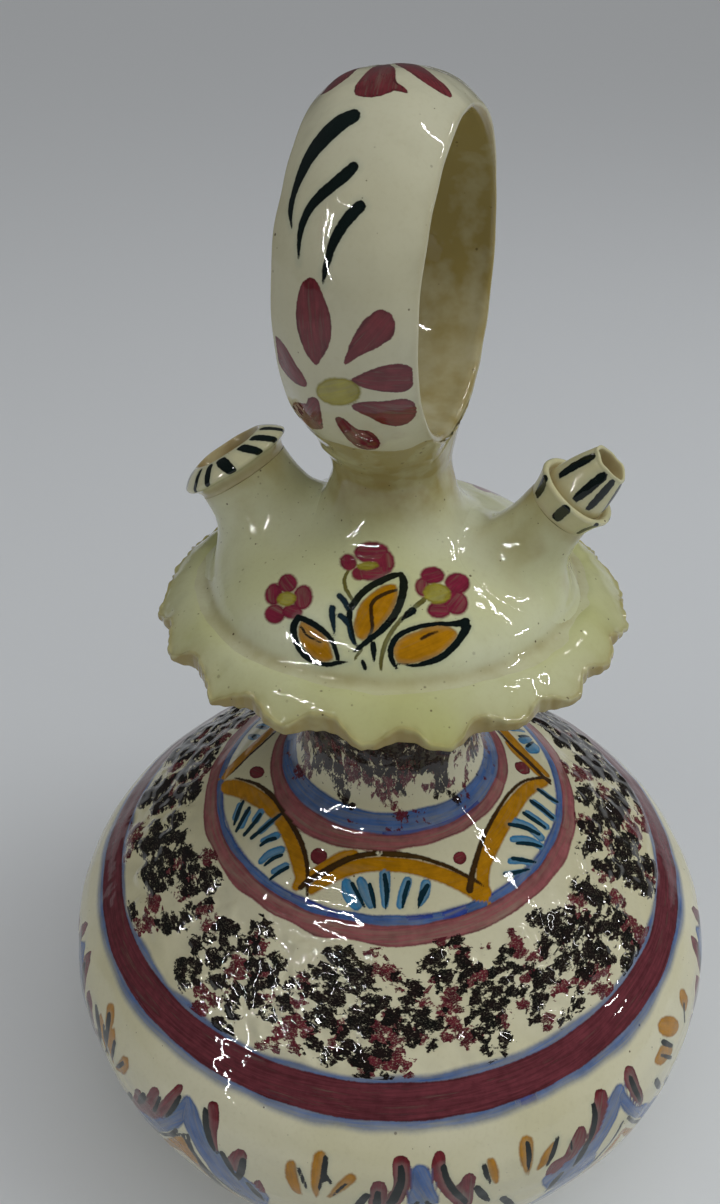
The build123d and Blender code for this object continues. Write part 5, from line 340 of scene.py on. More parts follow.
        ("blk", 0, (-83,80,-83.4,81,-84.3,81.7,-85.4,82.1,-86.7,81.9,-87.7,81.3,-88.4,80.4,-88.5,79.3,-88.1,78.3,-87.2,77.5,-86,77.2,-84.7,77.4,-83.7,78,-83.1,78.9)),
        ("blk", 0, (-87,72.9,-87,73.4,-87.2,74,-87.8,74.6,-88.6,75.1,-89.4,75.4,-90,75.4,-90.5,75.2,-90.5,74.7,-90.3,74.1,-89.7,73.5,-89,73,-88.1,72.7,-87.4,72.7)),
        ("blk", 0, (-85.2,85.1,-85.2,85.9,-85.5,86.6,-86,87,-86.7,87.2,-87.3,87,-87.8,86.5,-88.2,85.9,-88.2,85.1,-87.9,84.5,-87.3,84,-86.6,83.8,-86,84,-85.4,84.5)),
        ("blk", 0, (-81.6,87.1,-81.7,87.9,-82,88.7,-82.5,89.1,-83.1,89.3,-83.7,89.1,-84.2,88.6,-84.5,87.8,-84.5,87,-84.2,86.2,-83.6,85.7,-83,85.6,-82.3,85.8,-81.9,86.3)),
        ("blk", 0, (-78.9,84.7,-78.9,85.7,-79.2,86.4,-79.7,86.9,-80.2,87,-80.8,86.7,-81.2,86,-81.4,85.2,-81.4,84.2,-81.1,83.4,-80.7,82.9,-80.1,82.8,-79.5,83.2,-79.1,83.8)),
        ("blk", 0, (-87.6,71.7,-87.9,72,-88.5,72.1,-89.2,72,-89.8,71.7,-90.3,71.3,-90.6,70.8,-90.5,70.3,-90.2,70,-89.6,69.8,-88.9,69.9,-88.2,70.2,-87.7,70.7,-87.5,71.2)),
        ("brg", 0, (-104,69,-103.9,69.6,-104,70.2,-104.4,70.6,-105,70.9,-105.7,71,-106.3,70.8,-106.7,70.4,-106.9,69.8,-106.8,69.2,-106.4,68.7,-105.8,68.4,-105.1,68.4,-104.5,68.6)),
        ("brg", 0, (-110.8,85.8,-110.8,86.5,-111.1,87.2,-111.6,87.7,-112.2,88,-112.9,87.9,-113.4,87.6,-113.7,87,-113.7,86.3,-113.4,85.7,-112.8,85.1,-112.2,84.9,-111.5,84.9,-111,85.2)),
        ("brg", 0, (-108.6,88.7,-108.7,89.3,-109.1,90,-109.8,90.7,-110.7,91.2,-111.5,91.5,-112.2,91.4,-112.6,91.1,-112.6,90.5,-112.2,89.8,-111.5,89,-110.6,88.5,-109.7,88.3,-109,88.3)),
        ("brg", 0, (-106.8,84,-106.6,84.5,-106.8,85.1,-107.2,85.7,-107.8,86.3,-108.5,86.7,-109.1,86.8,-109.5,86.7,-109.6,86.2,-109.5,85.6,-109,84.9,-108.4,84.3,-107.8,84,-107.2,83.9)),
        ("brg", 0, (-105.7,78.9,-105.8,79.4,-106.2,79.8,-106.8,80.2,-107.5,80.3,-108.2,80.3,-108.6,80.1,-108.9,79.7,-108.8,79.2,-108.4,78.8,-107.8,78.4,-107.1,78.2,-106.4,78.3,-105.9,78.5)),
        ("brg", 0, (-92.3,87.5,-92.4,88,-92.8,88.6,-93.5,89.1,-94.3,89.4,-95.1,89.6,-95.7,89.5,-96,89.2,-96,88.6,-95.6,88,-94.9,87.5,-94.1,87.1,-93.2,87,-92.6,87.1)),
        ("brg", 0, (-88.7,83.5,-89.2,84.5,-90,85.3,-90.9,85.6,-91.8,85.4,-92.4,84.7,-92.8,83.7,-92.7,82.5,-92.3,81.4,-91.5,80.6,-90.5,80.3,-89.6,80.5,-88.9,81.3,-88.6,82.3)),
        ("brg", 0, (-91.5,85.2,-91.5,85.8,-91.7,86.2,-92.1,86.6,-92.5,86.8,-93,86.8,-93.4,86.5,-93.7,86,-93.7,85.5,-93.5,85,-93.2,84.6,-92.7,84.4,-92.2,84.5,-91.8,84.8)),
        ("brg", 0, (-90.5,78.5,-90.7,79.3,-91,80,-91.4,80.3,-91.8,80.3,-92.2,79.9,-92.4,79.2,-92.5,78.4,-92.3,77.5,-92,76.8,-91.6,76.5,-91.1,76.5,-90.8,76.9,-90.5,77.6)),
        ("brg", 0, (-90,73.3,-90.1,73.8,-90.4,74.2,-90.9,74.6,-91.6,74.8,-92.2,74.8,-92.8,74.6,-93.1,74.2,-93,73.8,-92.7,73.3,-92.2,72.9,-91.5,72.7,-90.8,72.7,-90.3,72.9)),
        ("brg", 0, (-86.3,83.5,-86.6,84,-87.1,84.4,-87.7,84.5,-88.3,84.3,-88.7,83.9,-89,83.3,-88.9,82.7,-88.6,82.1,-88.1,81.7,-87.5,81.6,-86.9,81.8,-86.5,82.3,-86.3,82.9)),
        ("brg", 0, (-80.6,81,-80.5,81.9,-80.6,82.7,-81,83.3,-81.6,83.5,-82.2,83.3,-82.8,82.8,-83.2,82,-83.3,81.1,-83.2,80.2,-82.8,79.6,-82.2,79.4,-81.6,79.5,-81,80.1)),
        ("brg", 0, (-80.2,84.7,-80.2,85.3,-80.5,85.9,-81,86.2,-81.6,86.3,-82.1,86.2,-82.5,85.8,-82.7,85.2,-82.7,84.6,-82.4,84,-81.9,83.6,-81.3,83.5,-80.8,83.7,-80.4,84.1)),
        ("brg", 0, (-97.2,79.4,-97.2,79.9,-97.6,80.4,-98.3,80.9,-99.1,81.3,-99.9,81.5,-100.5,81.5,-100.9,81.2,-100.9,80.7,-100.5,80.1,-99.8,79.6,-99,79.2,-98.2,79,-97.5,79.1)),
        ("brg", 0, (-105,76.6,-105.2,77.2,-105.7,77.7,-106.5,77.9,-107.3,78,-108.1,77.8,-108.6,77.4,-108.8,76.9,-108.6,76.3,-108.1,75.8,-107.3,75.5,-106.4,75.4,-105.7,75.6,-105.1,76.1)),
        ("brg", 0, (-81.6,83.5,-81.7,84.1,-81.9,84.5,-82.3,84.8,-82.8,85,-83.2,84.8,-83.6,84.5,-83.8,84,-83.8,83.5,-83.5,83,-83.1,82.7,-82.6,82.6,-82.2,82.7,-81.8,83.1)),
        ("brg", 0, (-89,87.3,-89,87.9,-89.3,88.4,-89.8,88.8,-90.5,89,-91.1,89,-91.6,88.8,-91.9,88.3,-91.9,87.8,-91.6,87.2,-91,86.8,-90.4,86.6,-89.7,86.6,-89.2,86.9)),
        ("brg", 0, (-98.8,75.5,-98.8,76,-99,76.5,-99.5,77,-100.2,77.2,-100.8,77.3,-101.4,77.2,-101.8,76.9,-101.8,76.4,-101.5,75.9,-101,75.4,-100.4,75.2,-99.7,75.1,-99.1,75.2)),
        ("blk", 0, (-76.9,70.5,-77.7,71.5,-78.7,72.1,-79.7,72.3,-80.7,71.9,-81.3,71.1,-81.6,70,-81.3,68.8,-80.6,67.7,-79.5,67,-78.4,66.9,-77.3,67.3,-76.7,68.2,-76.6,69.4)),
        ("blk", 0, (-72.2,75,-72.5,75.5,-73.3,75.8,-74.4,75.8,-75.6,75.7,-76.6,75.3,-77.3,74.8,-77.5,74.2,-77.2,73.7,-76.4,73.4,-75.3,73.3,-74.1,73.5,-73,73.9,-72.3,74.5)),
        ("blk", 0, (-70.5,78.3,-70.9,78.8,-71.6,79,-72.3,79,-72.9,78.6,-73.3,78,-73.5,77.3,-73.3,76.7,-72.9,76.2,-72.2,76,-71.5,76.1,-70.9,76.4,-70.4,77,-70.3,77.7)),
        ("blk", 0, (-75.1,79.4,-75.7,80.4,-76.8,81,-78.2,81.1,-79.5,80.8,-80.7,80,-81.3,79,-81.4,77.8,-80.8,76.7,-79.7,75.9,-78.3,75.7,-76.8,76.1,-75.7,77,-75.1,78.2)),
        ("blk", 0, (-58.4,66.1,-58.6,67.3,-59.2,68.3,-60,68.8,-60.9,68.8,-61.6,68.2,-62.2,67.2,-62.4,66,-62.2,64.8,-61.7,63.8,-60.9,63.3,-59.9,63.3,-59.1,63.9,-58.6,64.9)),
        ("blk", 0, (-63,67,-63.5,67.5,-64,67.8,-64.5,67.9,-64.8,67.7,-64.9,67.3,-64.7,66.7,-64.3,66.1,-63.8,65.7,-63.3,65.4,-62.8,65.3,-62.5,65.5,-62.4,66,-62.6,66.5)),
        ("blk", 0, (-60.4,68.6,-60.5,68.9,-61,69.1,-61.5,69.2,-62.1,69.1,-62.6,68.8,-63,68.5,-63.1,68.2,-62.9,67.9,-62.5,67.7,-61.9,67.6,-61.3,67.7,-60.8,68,-60.4,68.3)),
        ("blk", 0, (-58.2,71.1,-58.9,71.8,-59.6,72.3,-60.2,72.4,-60.8,72.1,-61,71.5,-60.9,70.6,-60.5,69.7,-59.8,68.9,-59.1,68.5,-58.4,68.4,-57.8,68.7,-57.6,69.3,-57.7,70.1)),
        ("blk", 0, (-52.6,63.3,-52.9,63.7,-53.4,64,-54.2,64.2,-55,64.2,-55.7,63.9,-56.2,63.6,-56.3,63.1,-56.1,62.7,-55.6,62.3,-54.8,62.1,-54,62.2,-53.2,62.4,-52.8,62.8)),
        ("blk", 0, (-51.8,68.9,-52.3,69.5,-53.1,70,-54.2,70,-55.3,69.8,-56.2,69.3,-56.7,68.5,-56.7,67.8,-56.3,67,-55.4,66.6,-54.3,66.4,-53.1,66.7,-52.2,67.3,-51.8,68.1)),
        ("blk", 0, (-50.4,66,-50.7,66.4,-51,66.7,-51.4,66.8,-51.8,66.7,-52.1,66.4,-52.2,66,-52.1,65.6,-51.9,65.2,-51.5,64.9,-51.1,64.8,-50.7,64.9,-50.4,65.2,-50.3,65.6)),
        ("blk", 0, (-43,71.7,-43.2,72.2,-44,72.7,-45.2,73,-46.5,73.1,-47.8,73,-48.6,72.7,-49,72.3,-48.8,71.7,-48.1,71.2,-46.9,70.9,-45.6,70.8,-44.3,70.9,-43.3,71.2)),
        ("blk", 0, (-55.1,73.1,-55.6,73.6,-56.2,73.9,-56.7,73.9,-57.1,73.7,-57.2,73.2,-57.2,72.6,-56.9,72,-56.4,71.5,-55.9,71.2,-55.3,71.2,-54.9,71.4,-54.8,71.9,-54.8,72.5)),
        ("blk", 0, (-51.3,75.8,-51.6,76.4,-52.1,76.8,-52.9,77,-53.6,77,-54.3,76.6,-54.8,76.1,-54.9,75.4,-54.6,74.8,-54.1,74.3,-53.3,74.1,-52.5,74.2,-51.8,74.5,-51.4,75.1)),
        ("blk", 0, (-48.9,75.4,-49.2,75.7,-49.7,75.9,-50.4,75.9,-51,75.6,-51.6,75.3,-51.9,74.8,-51.9,74.3,-51.6,74,-51.1,73.8,-50.4,73.8,-49.7,74,-49.2,74.4,-48.9,74.9)),
        ("blk", 0, (-46.8,77.8,-47.4,78.5,-48,79,-48.6,79.1,-49,78.9,-49.1,78.3,-49,77.5,-48.6,76.7,-48,75.9,-47.3,75.4,-46.7,75.2,-46.3,75.5,-46.2,76.1,-46.4,76.9)),
        ("blk", 0, (-52.8,79.6,-53.3,79.9,-53.9,80,-54.6,79.8,-55.2,79.3,-55.6,78.8,-55.8,78.2,-55.6,77.6,-55.2,77.3,-54.5,77.2,-53.8,77.4,-53.2,77.8,-52.8,78.4,-52.6,79.1)),
        ("blk", 0, (-49.1,79.5,-49.5,80,-50.1,80.3,-51,80.3,-51.8,80,-52.4,79.5,-52.8,78.9,-52.8,78.2,-52.5,77.7,-51.8,77.3,-50.9,77.3,-50.1,77.6,-49.4,78.2,-49,78.8)),
        ("blk", 0, (-66,77.6,-66.3,78.2,-66.8,78.6,-67.4,78.7,-68,78.6,-68.5,78.2,-68.8,77.6,-68.8,77,-68.5,76.4,-68,76,-67.3,75.8,-66.7,76,-66.2,76.4,-66,77)),
        ("blk", 0, (-64,78.5,-64.3,79.4,-64.8,80,-65.4,80.3,-65.9,80.1,-66.2,79.6,-66.3,78.8,-66.2,77.9,-65.9,77,-65.3,76.3,-64.8,76,-64.2,76.2,-63.9,76.8,-63.8,77.6)),
        ("blk", 0, (-64.4,80.2,-64.5,80.5,-65,80.8,-65.5,80.9,-66.1,80.8,-66.6,80.6,-67,80.3,-67.1,79.9,-66.9,79.6,-66.5,79.3,-66,79.2,-65.3,79.3,-64.8,79.5,-64.5,79.8)),
        ("blk", 0, (-68,79.9,-68.2,80.5,-68.6,81,-69.2,81.3,-69.8,81.3,-70.3,81,-70.6,80.5,-70.8,79.9,-70.6,79.3,-70.2,78.8,-69.7,78.5,-69,78.5,-68.5,78.8,-68.1,79.3)),
        ("blk", 0, (-61.5,79.5,-61.6,79.9,-61.9,80.3,-62.2,80.5,-62.5,80.4,-62.7,80.2,-62.9,79.7,-62.9,79.2,-62.7,78.7,-62.5,78.3,-62.1,78.1,-61.8,78.2,-61.6,78.5,-61.5,78.9)),
        ("blk", 0, (-56.1,81.6,-56.5,82.1,-57,82.4,-57.3,82.4,-57.5,82.3,-57.5,81.9,-57.4,81.4,-57,80.9,-56.6,80.4,-56.2,80.1,-55.8,80,-55.6,80.2,-55.6,80.6,-55.8,81.1)),
        ("blk", 0, (-54.2,83.1,-54.3,83.6,-54.6,84.1,-55,84.3,-55.5,84.4,-56,84.2,-56.4,83.9,-56.5,83.4,-56.5,82.8,-56.2,82.4,-55.8,82.1,-55.2,82,-54.8,82.2,-54.4,82.6)),
        ("blk", 0, (-50.3,83.8,-50.5,84.1,-51,84.3,-51.8,84.3,-52.6,84.2,-53.3,83.9,-53.8,83.6,-53.9,83.2,-53.7,82.9,-53.2,82.7,-52.4,82.6,-51.6,82.7,-50.9,83,-50.4,83.4)),
        ("blk", 0, (-49.7,87.3,-50.2,88,-50.8,88.3,-51.4,88.4,-51.9,88.1,-52.2,87.5,-52.3,86.7,-52.1,85.9,-51.6,85.3,-51,84.9,-50.3,84.9,-49.8,85.2,-49.5,85.8,-49.5,86.6)),
        ("blk", 0, (-52.8,87.7,-53.1,88,-53.6,88.1,-54.3,88,-54.9,87.6,-55.4,87.2,-55.6,86.7,-55.6,86.3,-55.3,86,-54.8,85.9,-54.2,86,-53.5,86.3,-53,86.8,-52.8,87.3)),
        ("blk", 0, (-53.4,88.9,-53.8,89.4,-54.2,89.7,-54.5,89.7,-54.7,89.5,-54.8,89.2,-54.7,88.6,-54.5,88.1,-54.1,87.6,-53.7,87.4,-53.3,87.3,-53.1,87.5,-53,87.9,-53.1,88.4)),
        ("blk", 0, (-51.7,80.8,-51.9,81.1,-52.1,81.2,-52.5,81.2,-52.8,81.1,-53.1,80.9,-53.3,80.6,-53.3,80.3,-53.2,80.1,-52.9,80,-52.5,80,-52.2,80.1,-51.9,80.3,-51.7,80.6)),
        ("blk", 0, (-64,84.5,-64,84.8,-64.2,85,-64.3,85,-64.5,85,-64.7,84.9,-64.8,84.7,-64.8,84.4,-64.7,84.2,-64.6,84,-64.4,83.9,-64.2,83.9,-64.1,84,-64,84.3)),
        ("blk", 0, (-63.1,80.8,-63.1,81,-63.3,81.1,-63.5,81.1,-63.6,81.1,-63.8,81,-63.9,80.9,-64,80.7,-63.9,80.6,-63.8,80.5,-63.6,80.4,-63.4,80.5,-63.2,80.5,-63.1,80.7)),
        ("blk", 0, (-76.5,86.4,-76.7,87.2,-77.1,87.9,-77.7,88.3,-78.4,88.4,-79.1,88.1,-79.6,87.5,-79.9,86.8,-79.8,85.9,-79.4,85.2,-78.7,84.8,-78,84.7,-77.3,85,-76.8,85.6)),
        ("blk", 0, (-71.3,90.2,-71.5,90.5,-71.8,90.8,-72.3,90.9,-72.8,90.9,-73.3,90.7,-73.6,90.5,-73.7,90.2,-73.6,89.9,-73.3,89.7,-72.8,89.5,-72.3,89.6,-71.8,89.7,-71.5,89.9)),
        ("blk", 0, (-73.3,90,-73.6,90.3,-74.4,90.5,-75.5,90.7,-76.7,90.8,-77.8,90.8,-78.6,90.6,-78.9,90.3,-78.7,90,-77.9,89.7,-76.8,89.4,-75.5,89.3,-74.4,89.5,-73.6,89.7)),
        ("blk", 0, (-69,70.5,-69.2,70.8,-69.6,71,-70.2,71.1,-70.7,71,-71.2,70.8,-71.5,70.5,-71.6,70.1,-71.4,69.8,-71,69.6,-70.4,69.5,-69.8,69.6,-69.3,69.8,-69,70.2)),
        ("blk", 0, (-67.9,74,-68,74.5,-68.3,74.8,-68.7,75,-69.2,75,-69.5,74.8,-69.8,74.5,-69.9,74,-69.8,73.6,-69.5,73.2,-69.1,73.1,-68.6,73.1,-68.2,73.3,-68,73.6)),
        ("blk", 0, (-65.2,72,-65.3,72.6,-65.6,73.1,-65.9,73.4,-66.2,73.3,-66.5,73,-66.7,72.5,-66.7,71.9,-66.6,71.2,-66.3,70.7,-66,70.5,-65.6,70.5,-65.3,70.8,-65.2,71.3)),
        ("blk", 0, (-66.9,82.9,-67.2,83.3,-67.6,83.6,-68,83.7,-68.3,83.5,-68.6,83.2,-68.7,82.7,-68.5,82.2,-68.3,81.7,-67.9,81.4,-67.5,81.4,-67.1,81.5,-66.9,81.9,-66.8,82.4)),
        ("blk", 0, (-72.6,85.1,-72.7,85.8,-73.1,86.4,-73.7,86.7,-74.3,86.7,-74.9,86.4,-75.4,85.8,-75.5,85.2,-75.4,84.4,-75,83.8,-74.4,83.5,-73.8,83.5,-73.1,83.8,-72.7,84.4)),
        ("brg", 0, (-74.4,64.7,-74.6,65,-75.1,65.2,-75.7,65.3,-76.3,65.2,-76.8,65,-77.2,64.7,-77.3,64.4,-77.1,64.1,-76.7,63.9,-76.1,63.8,-75.5,63.8,-74.9,64.1,-74.5,64.4)),
        ("brg", 0, (-73.9,67.3,-74.2,67.8,-74.8,68.1,-75.5,68.1,-76.2,67.9,-76.8,67.5,-77.1,67,-77.1,66.4,-76.7,65.9,-76.2,65.6,-75.4,65.5,-74.7,65.8,-74.1,66.2,-73.8,66.8)),
        ("brg", 0, (-69.1,69.7,-69.6,70.2,-70.5,70.4,-71.7,70.3,-73,69.9,-74,69.2,-74.6,68.5,-74.7,67.9,-74.2,67.4,-73.2,67.2,-72,67.4,-70.7,67.7,-69.7,68.4,-69.1,69.1)),
        ("brg", 0, (-65.8,72.4,-66.3,73.1,-66.9,73.5,-67.6,73.5,-68.2,73.3,-68.7,72.8,-68.8,72,-68.7,71.3,-68.2,70.6,-67.5,70.2,-66.8,70.1,-66.2,70.4,-65.7,71,-65.6,71.7)),
        ("brg", 0, (-64.4,74.5,-64.6,75.2,-65,75.7,-65.5,75.9,-66.1,75.8,-66.5,75.5,-66.8,75,-66.9,74.3,-66.7,73.7,-66.3,73.2,-65.8,73,-65.2,73,-64.8,73.3,-64.5,73.9)),
        ("brg", 0, (-57.1,74.6,-57.4,75.5,-58.1,76,-58.8,76.3,-59.6,76.1,-60.2,75.6,-60.5,74.8,-60.5,73.9,-60.2,73.1,-59.6,72.5,-58.8,72.3,-58,72.5,-57.4,73,-57,73.8)),
        ("brg", 0, (-59.3,78.2,-59.6,79.1,-60,79.8,-60.4,80.1,-60.8,80,-61.1,79.5,-61.3,78.7,-61.2,77.8,-61,76.9,-60.6,76.2,-60.1,75.8,-59.7,75.9,-59.4,76.4,-59.2,77.2)),
        ("brg", 0, (-58.3,80.9,-58.8,81.5,-59.5,81.9,-60.1,81.9,-60.6,81.5,-60.9,80.9,-60.9,80.1,-60.7,79.4,-60.1,78.7,-59.5,78.4,-58.8,78.4,-58.2,78.8,-58,79.4,-58,80.2)),
        ("brg", 0, (-59.8,81.8,-59.9,82,-60.2,82.2,-60.7,82.2,-61.2,82.1,-61.6,81.9,-61.9,81.6,-62,81.3,-61.8,81,-61.5,80.8,-61,80.8,-60.5,80.9,-60.1,81.1,-59.8,81.4)),
        ("brg", 0, (-65,83.1,-65.3,83.4,-65.8,83.5,-66.5,83.5,-67.1,83.2,-67.6,82.7,-67.8,82.2,-67.8,81.7,-67.5,81.3,-66.9,81.2,-66.3,81.3,-65.7,81.6,-65.2,82,-64.9,82.6)),
        ("brg", 0, (-60,83.4,-60.1,83.7,-60.4,83.8,-60.6,83.9,-60.9,83.9,-61.2,83.7,-61.3,83.4,-61.3,83.1,-61.2,82.8,-61,82.6,-60.7,82.5,-60.4,82.6,-60.2,82.8,-60,83)),
        ("brg", 0, (-55.8,83.8,-55.9,84.3,-56.3,84.8,-56.9,85.1,-57.6,85.2,-58.3,85.1,-58.7,84.7,-59,84.2,-58.9,83.7,-58.5,83.2,-57.9,82.9,-57.2,82.8,-56.5,82.9,-56.1,83.3)),
        ("brg", 0, (-48.1,82.7,-48.6,83.2,-49.2,83.5,-49.9,83.5,-50.4,83.2,-50.8,82.6,-50.9,81.9,-50.6,81.2,-50.2,80.6,-49.5,80.3,-48.9,80.4,-48.3,80.7,-48,81.3,-47.9,82)),
        ("brg", 0, (-69.5,79.9,-70,80.6,-70.8,81,-71.6,81.1,-72.5,80.8,-73.1,80.2,-73.5,79.3,-73.4,78.5,-72.9,77.8,-72.2,77.3,-71.2,77.2,-70.3,77.6,-69.7,78.2,-69.4,79)),
        ("brg", 0, (-72.2,81,-72.7,82,-73.4,82.7,-74.2,82.9,-74.8,82.7,-75.2,82,-75.4,81,-75.2,79.8,-74.8,78.8,-74,78.1,-73.3,77.8,-72.6,78.1,-72.1,78.8,-72,79.9)),
        ("brg", 0, (-70.4,84.4,-71,85.1,-71.8,85.5,-72.5,85.5,-73.2,85,-73.6,84.3,-73.7,83.4,-73.4,82.5,-72.9,81.8,-72.1,81.5,-71.3,81.5,-70.6,81.9,-70.2,82.6,-70.1,83.5)),
        ("brg", 0, (-68.2,88.6,-68.5,89.2,-69,89.6,-69.5,89.7,-70,89.5,-70.4,89,-70.5,88.3,-70.4,87.6,-70.1,87,-69.6,86.6,-69,86.5,-68.5,86.7,-68.1,87.2,-68,87.9)),
        ("brg", 0, (-69.5,87.2,-70.1,87.9,-70.8,88.4,-71.6,88.5,-72.2,88.1,-72.6,87.3,-72.7,86.3,-72.3,85.4,-71.7,84.6,-70.9,84.1,-70.1,84,-69.5,84.5,-69.1,85.2,-69.1,86.2)),
        ("brg", 0, (-74.4,87.9,-74.6,88.7,-75.1,89.4,-75.9,89.8,-76.8,89.8,-77.6,89.6,-78.2,89,-78.5,88.2,-78.3,87.4,-77.8,86.7,-77,86.2,-76.1,86.2,-75.2,86.5,-74.6,87.1)),
        ("brg", 0, (-72.3,87,-72.5,87.7,-72.9,88.2,-73.5,88.5,-74.1,88.5,-74.7,88.2,-75.1,87.7,-75.2,87,-75.1,86.3,-74.8,85.7,-74.2,85.4,-73.5,85.4,-72.9,85.7,-72.5,86.3)),
        ("brg", 0, (-60.6,71.4,-60.8,71.6,-61.2,71.8,-61.7,71.8,-62.3,71.7,-62.8,71.5,-63.1,71.2,-63.2,71,-63,70.7,-62.6,70.5,-62.1,70.5,-61.5,70.6,-61,70.8,-60.7,71.1)),
        ("brg", 0, (-52.2,71.5,-52.4,71.9,-53,72.3,-53.8,72.5,-54.8,72.6,-55.6,72.5,-56.3,72.3,-56.5,71.9,-56.4,71.4,-55.8,71,-55,70.7,-54,70.6,-53.1,70.7,-52.5,71)),
        ("brg", 0, (-58,63.6,-58.6,64,-59.3,64,-60,63.8,-60.6,63.3,-61,62.7,-61,62.1,-60.8,61.5,-60.2,61.2,-59.5,61.2,-58.7,61.4,-58.1,61.9,-57.7,62.5,-57.7,63.1)),
        ("brg", 0, (-51.7,66.2,-52.1,66.7,-52.7,67,-53.5,67.1,-54.2,66.9,-54.8,66.5,-55.2,66,-55.2,65.4,-54.9,64.9,-54.2,64.6,-53.4,64.5,-52.6,64.7,-52,65.1,-51.7,65.6)),
        ("brg", 0, (-49.3,73.4,-49.6,73.6,-50.3,73.7,-51.1,73.5,-52,73.2,-52.8,72.9,-53.3,72.5,-53.4,72.1,-53.1,71.8,-52.4,71.8,-51.6,71.8,-50.6,72.1,-49.9,72.5,-49.4,73)),
        ("brg", 0, (-48,66.3,-48.1,66.5,-48.5,66.6,-48.9,66.7,-49.2,66.5,-49.5,66.3,-49.7,66,-49.7,65.7,-49.5,65.5,-49.1,65.4,-48.8,65.4,-48.4,65.5,-48.1,65.7,-47.9,66)),
        ("blk", 0, (-31.4,70.4,-32.6,72.4,-33.6,73.8,-34.4,74.5,-34.8,74.4,-34.7,73.3,-34.1,71.6,-33.2,69.6,-32,67.6,-30.7,66.1,-29.7,65.4,-29.2,65.6,-29.4,66.7,-30.2,68.4)),
        ("blk", 0, (-31.6,67.4,-32.1,67.7,-32.6,67.8,-33.1,67.8,-33.6,67.5,-33.9,67.1,-33.9,66.6,-33.7,66.2,-33.3,65.8,-32.7,65.7,-32.2,65.8,-31.7,66.1,-31.4,66.5,-31.4,67)),
        ("blk", 0, (-22.2,71.5,-23.1,71.8,-24.2,71.7,-25.5,71.2,-26.7,70.4,-27.5,69.4,-27.8,68.5,-27.5,67.8,-26.7,67.4,-25.4,67.5,-24.1,68,-22.9,68.9,-22.1,69.9,-21.9,70.8)),
        ("blk", 0, (-28,71,-28.6,71.5,-29.2,71.8,-29.7,71.9,-30.1,71.7,-30.1,71.3,-29.9,70.7,-29.5,70.1,-28.9,69.5,-28.2,69.2,-27.7,69.1,-27.3,69.4,-27.3,69.8,-27.5,70.4)),
        ("blk", 0, (-22,73.2,-22.7,73.6,-23.6,73.7,-24.4,73.5,-25,73,-25.3,72.3,-25.3,71.6,-24.8,71,-24.1,70.6,-23.2,70.5,-22.4,70.7,-21.8,71.2,-21.5,71.9,-21.6,72.6)),
        ("blk", 0, (-25.6,75,-26.3,75.1,-27.2,74.8,-28.3,74.1,-29.3,73.2,-30,72.3,-30.2,71.5,-30,70.9,-29.3,70.8,-28.2,71,-27.1,71.7,-26.1,72.6,-25.5,73.6,-25.3,74.4)),
        ("blk", 0, (-17.7,80.1,-18.8,80.3,-20,80.2,-21.1,79.7,-21.7,78.8,-21.9,77.9,-21.5,76.9,-20.7,76.2,-19.5,75.9,-18.2,76,-17.2,76.6,-16.5,77.5,-16.4,78.5,-16.8,79.4)),
        ("blk", 0, (-19.1,75.8,-19.7,76.1,-20.5,76.1,-21.2,75.8,-21.8,75.2,-22.1,74.6,-22.1,74,-21.8,73.4,-21.1,73.2,-20.4,73.2,-19.6,73.5,-19,74,-18.7,74.7,-18.8,75.3)),
        ("blk", 0, (-21.4,84.6,-22.3,84.6,-23.4,84.1,-24.4,83.1,-25.1,82,-25.5,80.8,-25.4,79.8,-24.7,79.2,-23.7,79.1,-22.6,79.6,-21.5,80.6,-20.8,81.9,-20.5,83.1,-20.7,84.1)),
        ("blk", 0, (-21.2,85.7,-21.7,85.9,-22.2,85.8,-22.9,85.5,-23.4,85,-23.7,84.4,-23.8,83.8,-23.6,83.4,-23.2,83.2,-22.6,83.3,-21.9,83.6,-21.4,84.1,-21.1,84.7,-21,85.3)),
        ("blk", 0, (-27.9,77.2,-28.2,77.7,-28.9,78,-29.7,78,-30.6,77.8,-31.2,77.3,-31.6,76.7,-31.6,76.1,-31.3,75.5,-30.7,75.3,-29.8,75.2,-28.9,75.5,-28.2,76,-27.9,76.6)),
        ("blk", 0, (-31.2,79.2,-31.9,79.4,-32.6,79.4,-33.2,79.1,-33.6,78.5,-33.7,77.9,-33.5,77.3,-33,76.8,-32.3,76.5,-31.5,76.6,-30.9,77,-30.5,77.5,-30.4,78.1,-30.6,78.8)),
        ("blk", 0, (-11.6,82.8,-12.3,82.9,-13.1,82.7,-14,82.2,-14.7,81.4,-15.1,80.6,-15.1,79.9,-14.7,79.4,-14,79.3,-13.1,79.5,-12.2,80,-11.6,80.8,-11.2,81.6,-11.2,82.4)),
        ("blk", 0, (-15.9,83,-16.6,83.3,-17.4,83.3,-18.1,83,-18.5,82.5,-18.7,81.9,-18.6,81.2,-18.2,80.7,-17.5,80.4,-16.7,80.4,-15.9,80.6,-15.4,81.2,-15.2,81.8,-15.4,82.5)),
        ("blk", 0, (-13.9,87.6,-14.5,87.8,-15.2,87.6,-15.9,87.2,-16.5,86.7,-16.8,86,-16.7,85.3,-16.4,84.9,-15.8,84.7,-15,84.8,-14.3,85.2,-13.7,85.8,-13.5,86.5,-13.5,87.2)),
        ("blk", 0, (-14.9,90.4,-15.5,90.6,-16.2,90.5,-16.9,90.1,-17.4,89.5,-17.6,88.8,-17.6,88.2,-17.3,87.8,-16.7,87.5,-16,87.6,-15.3,88,-14.8,88.7,-14.5,89.3,-14.6,90)),
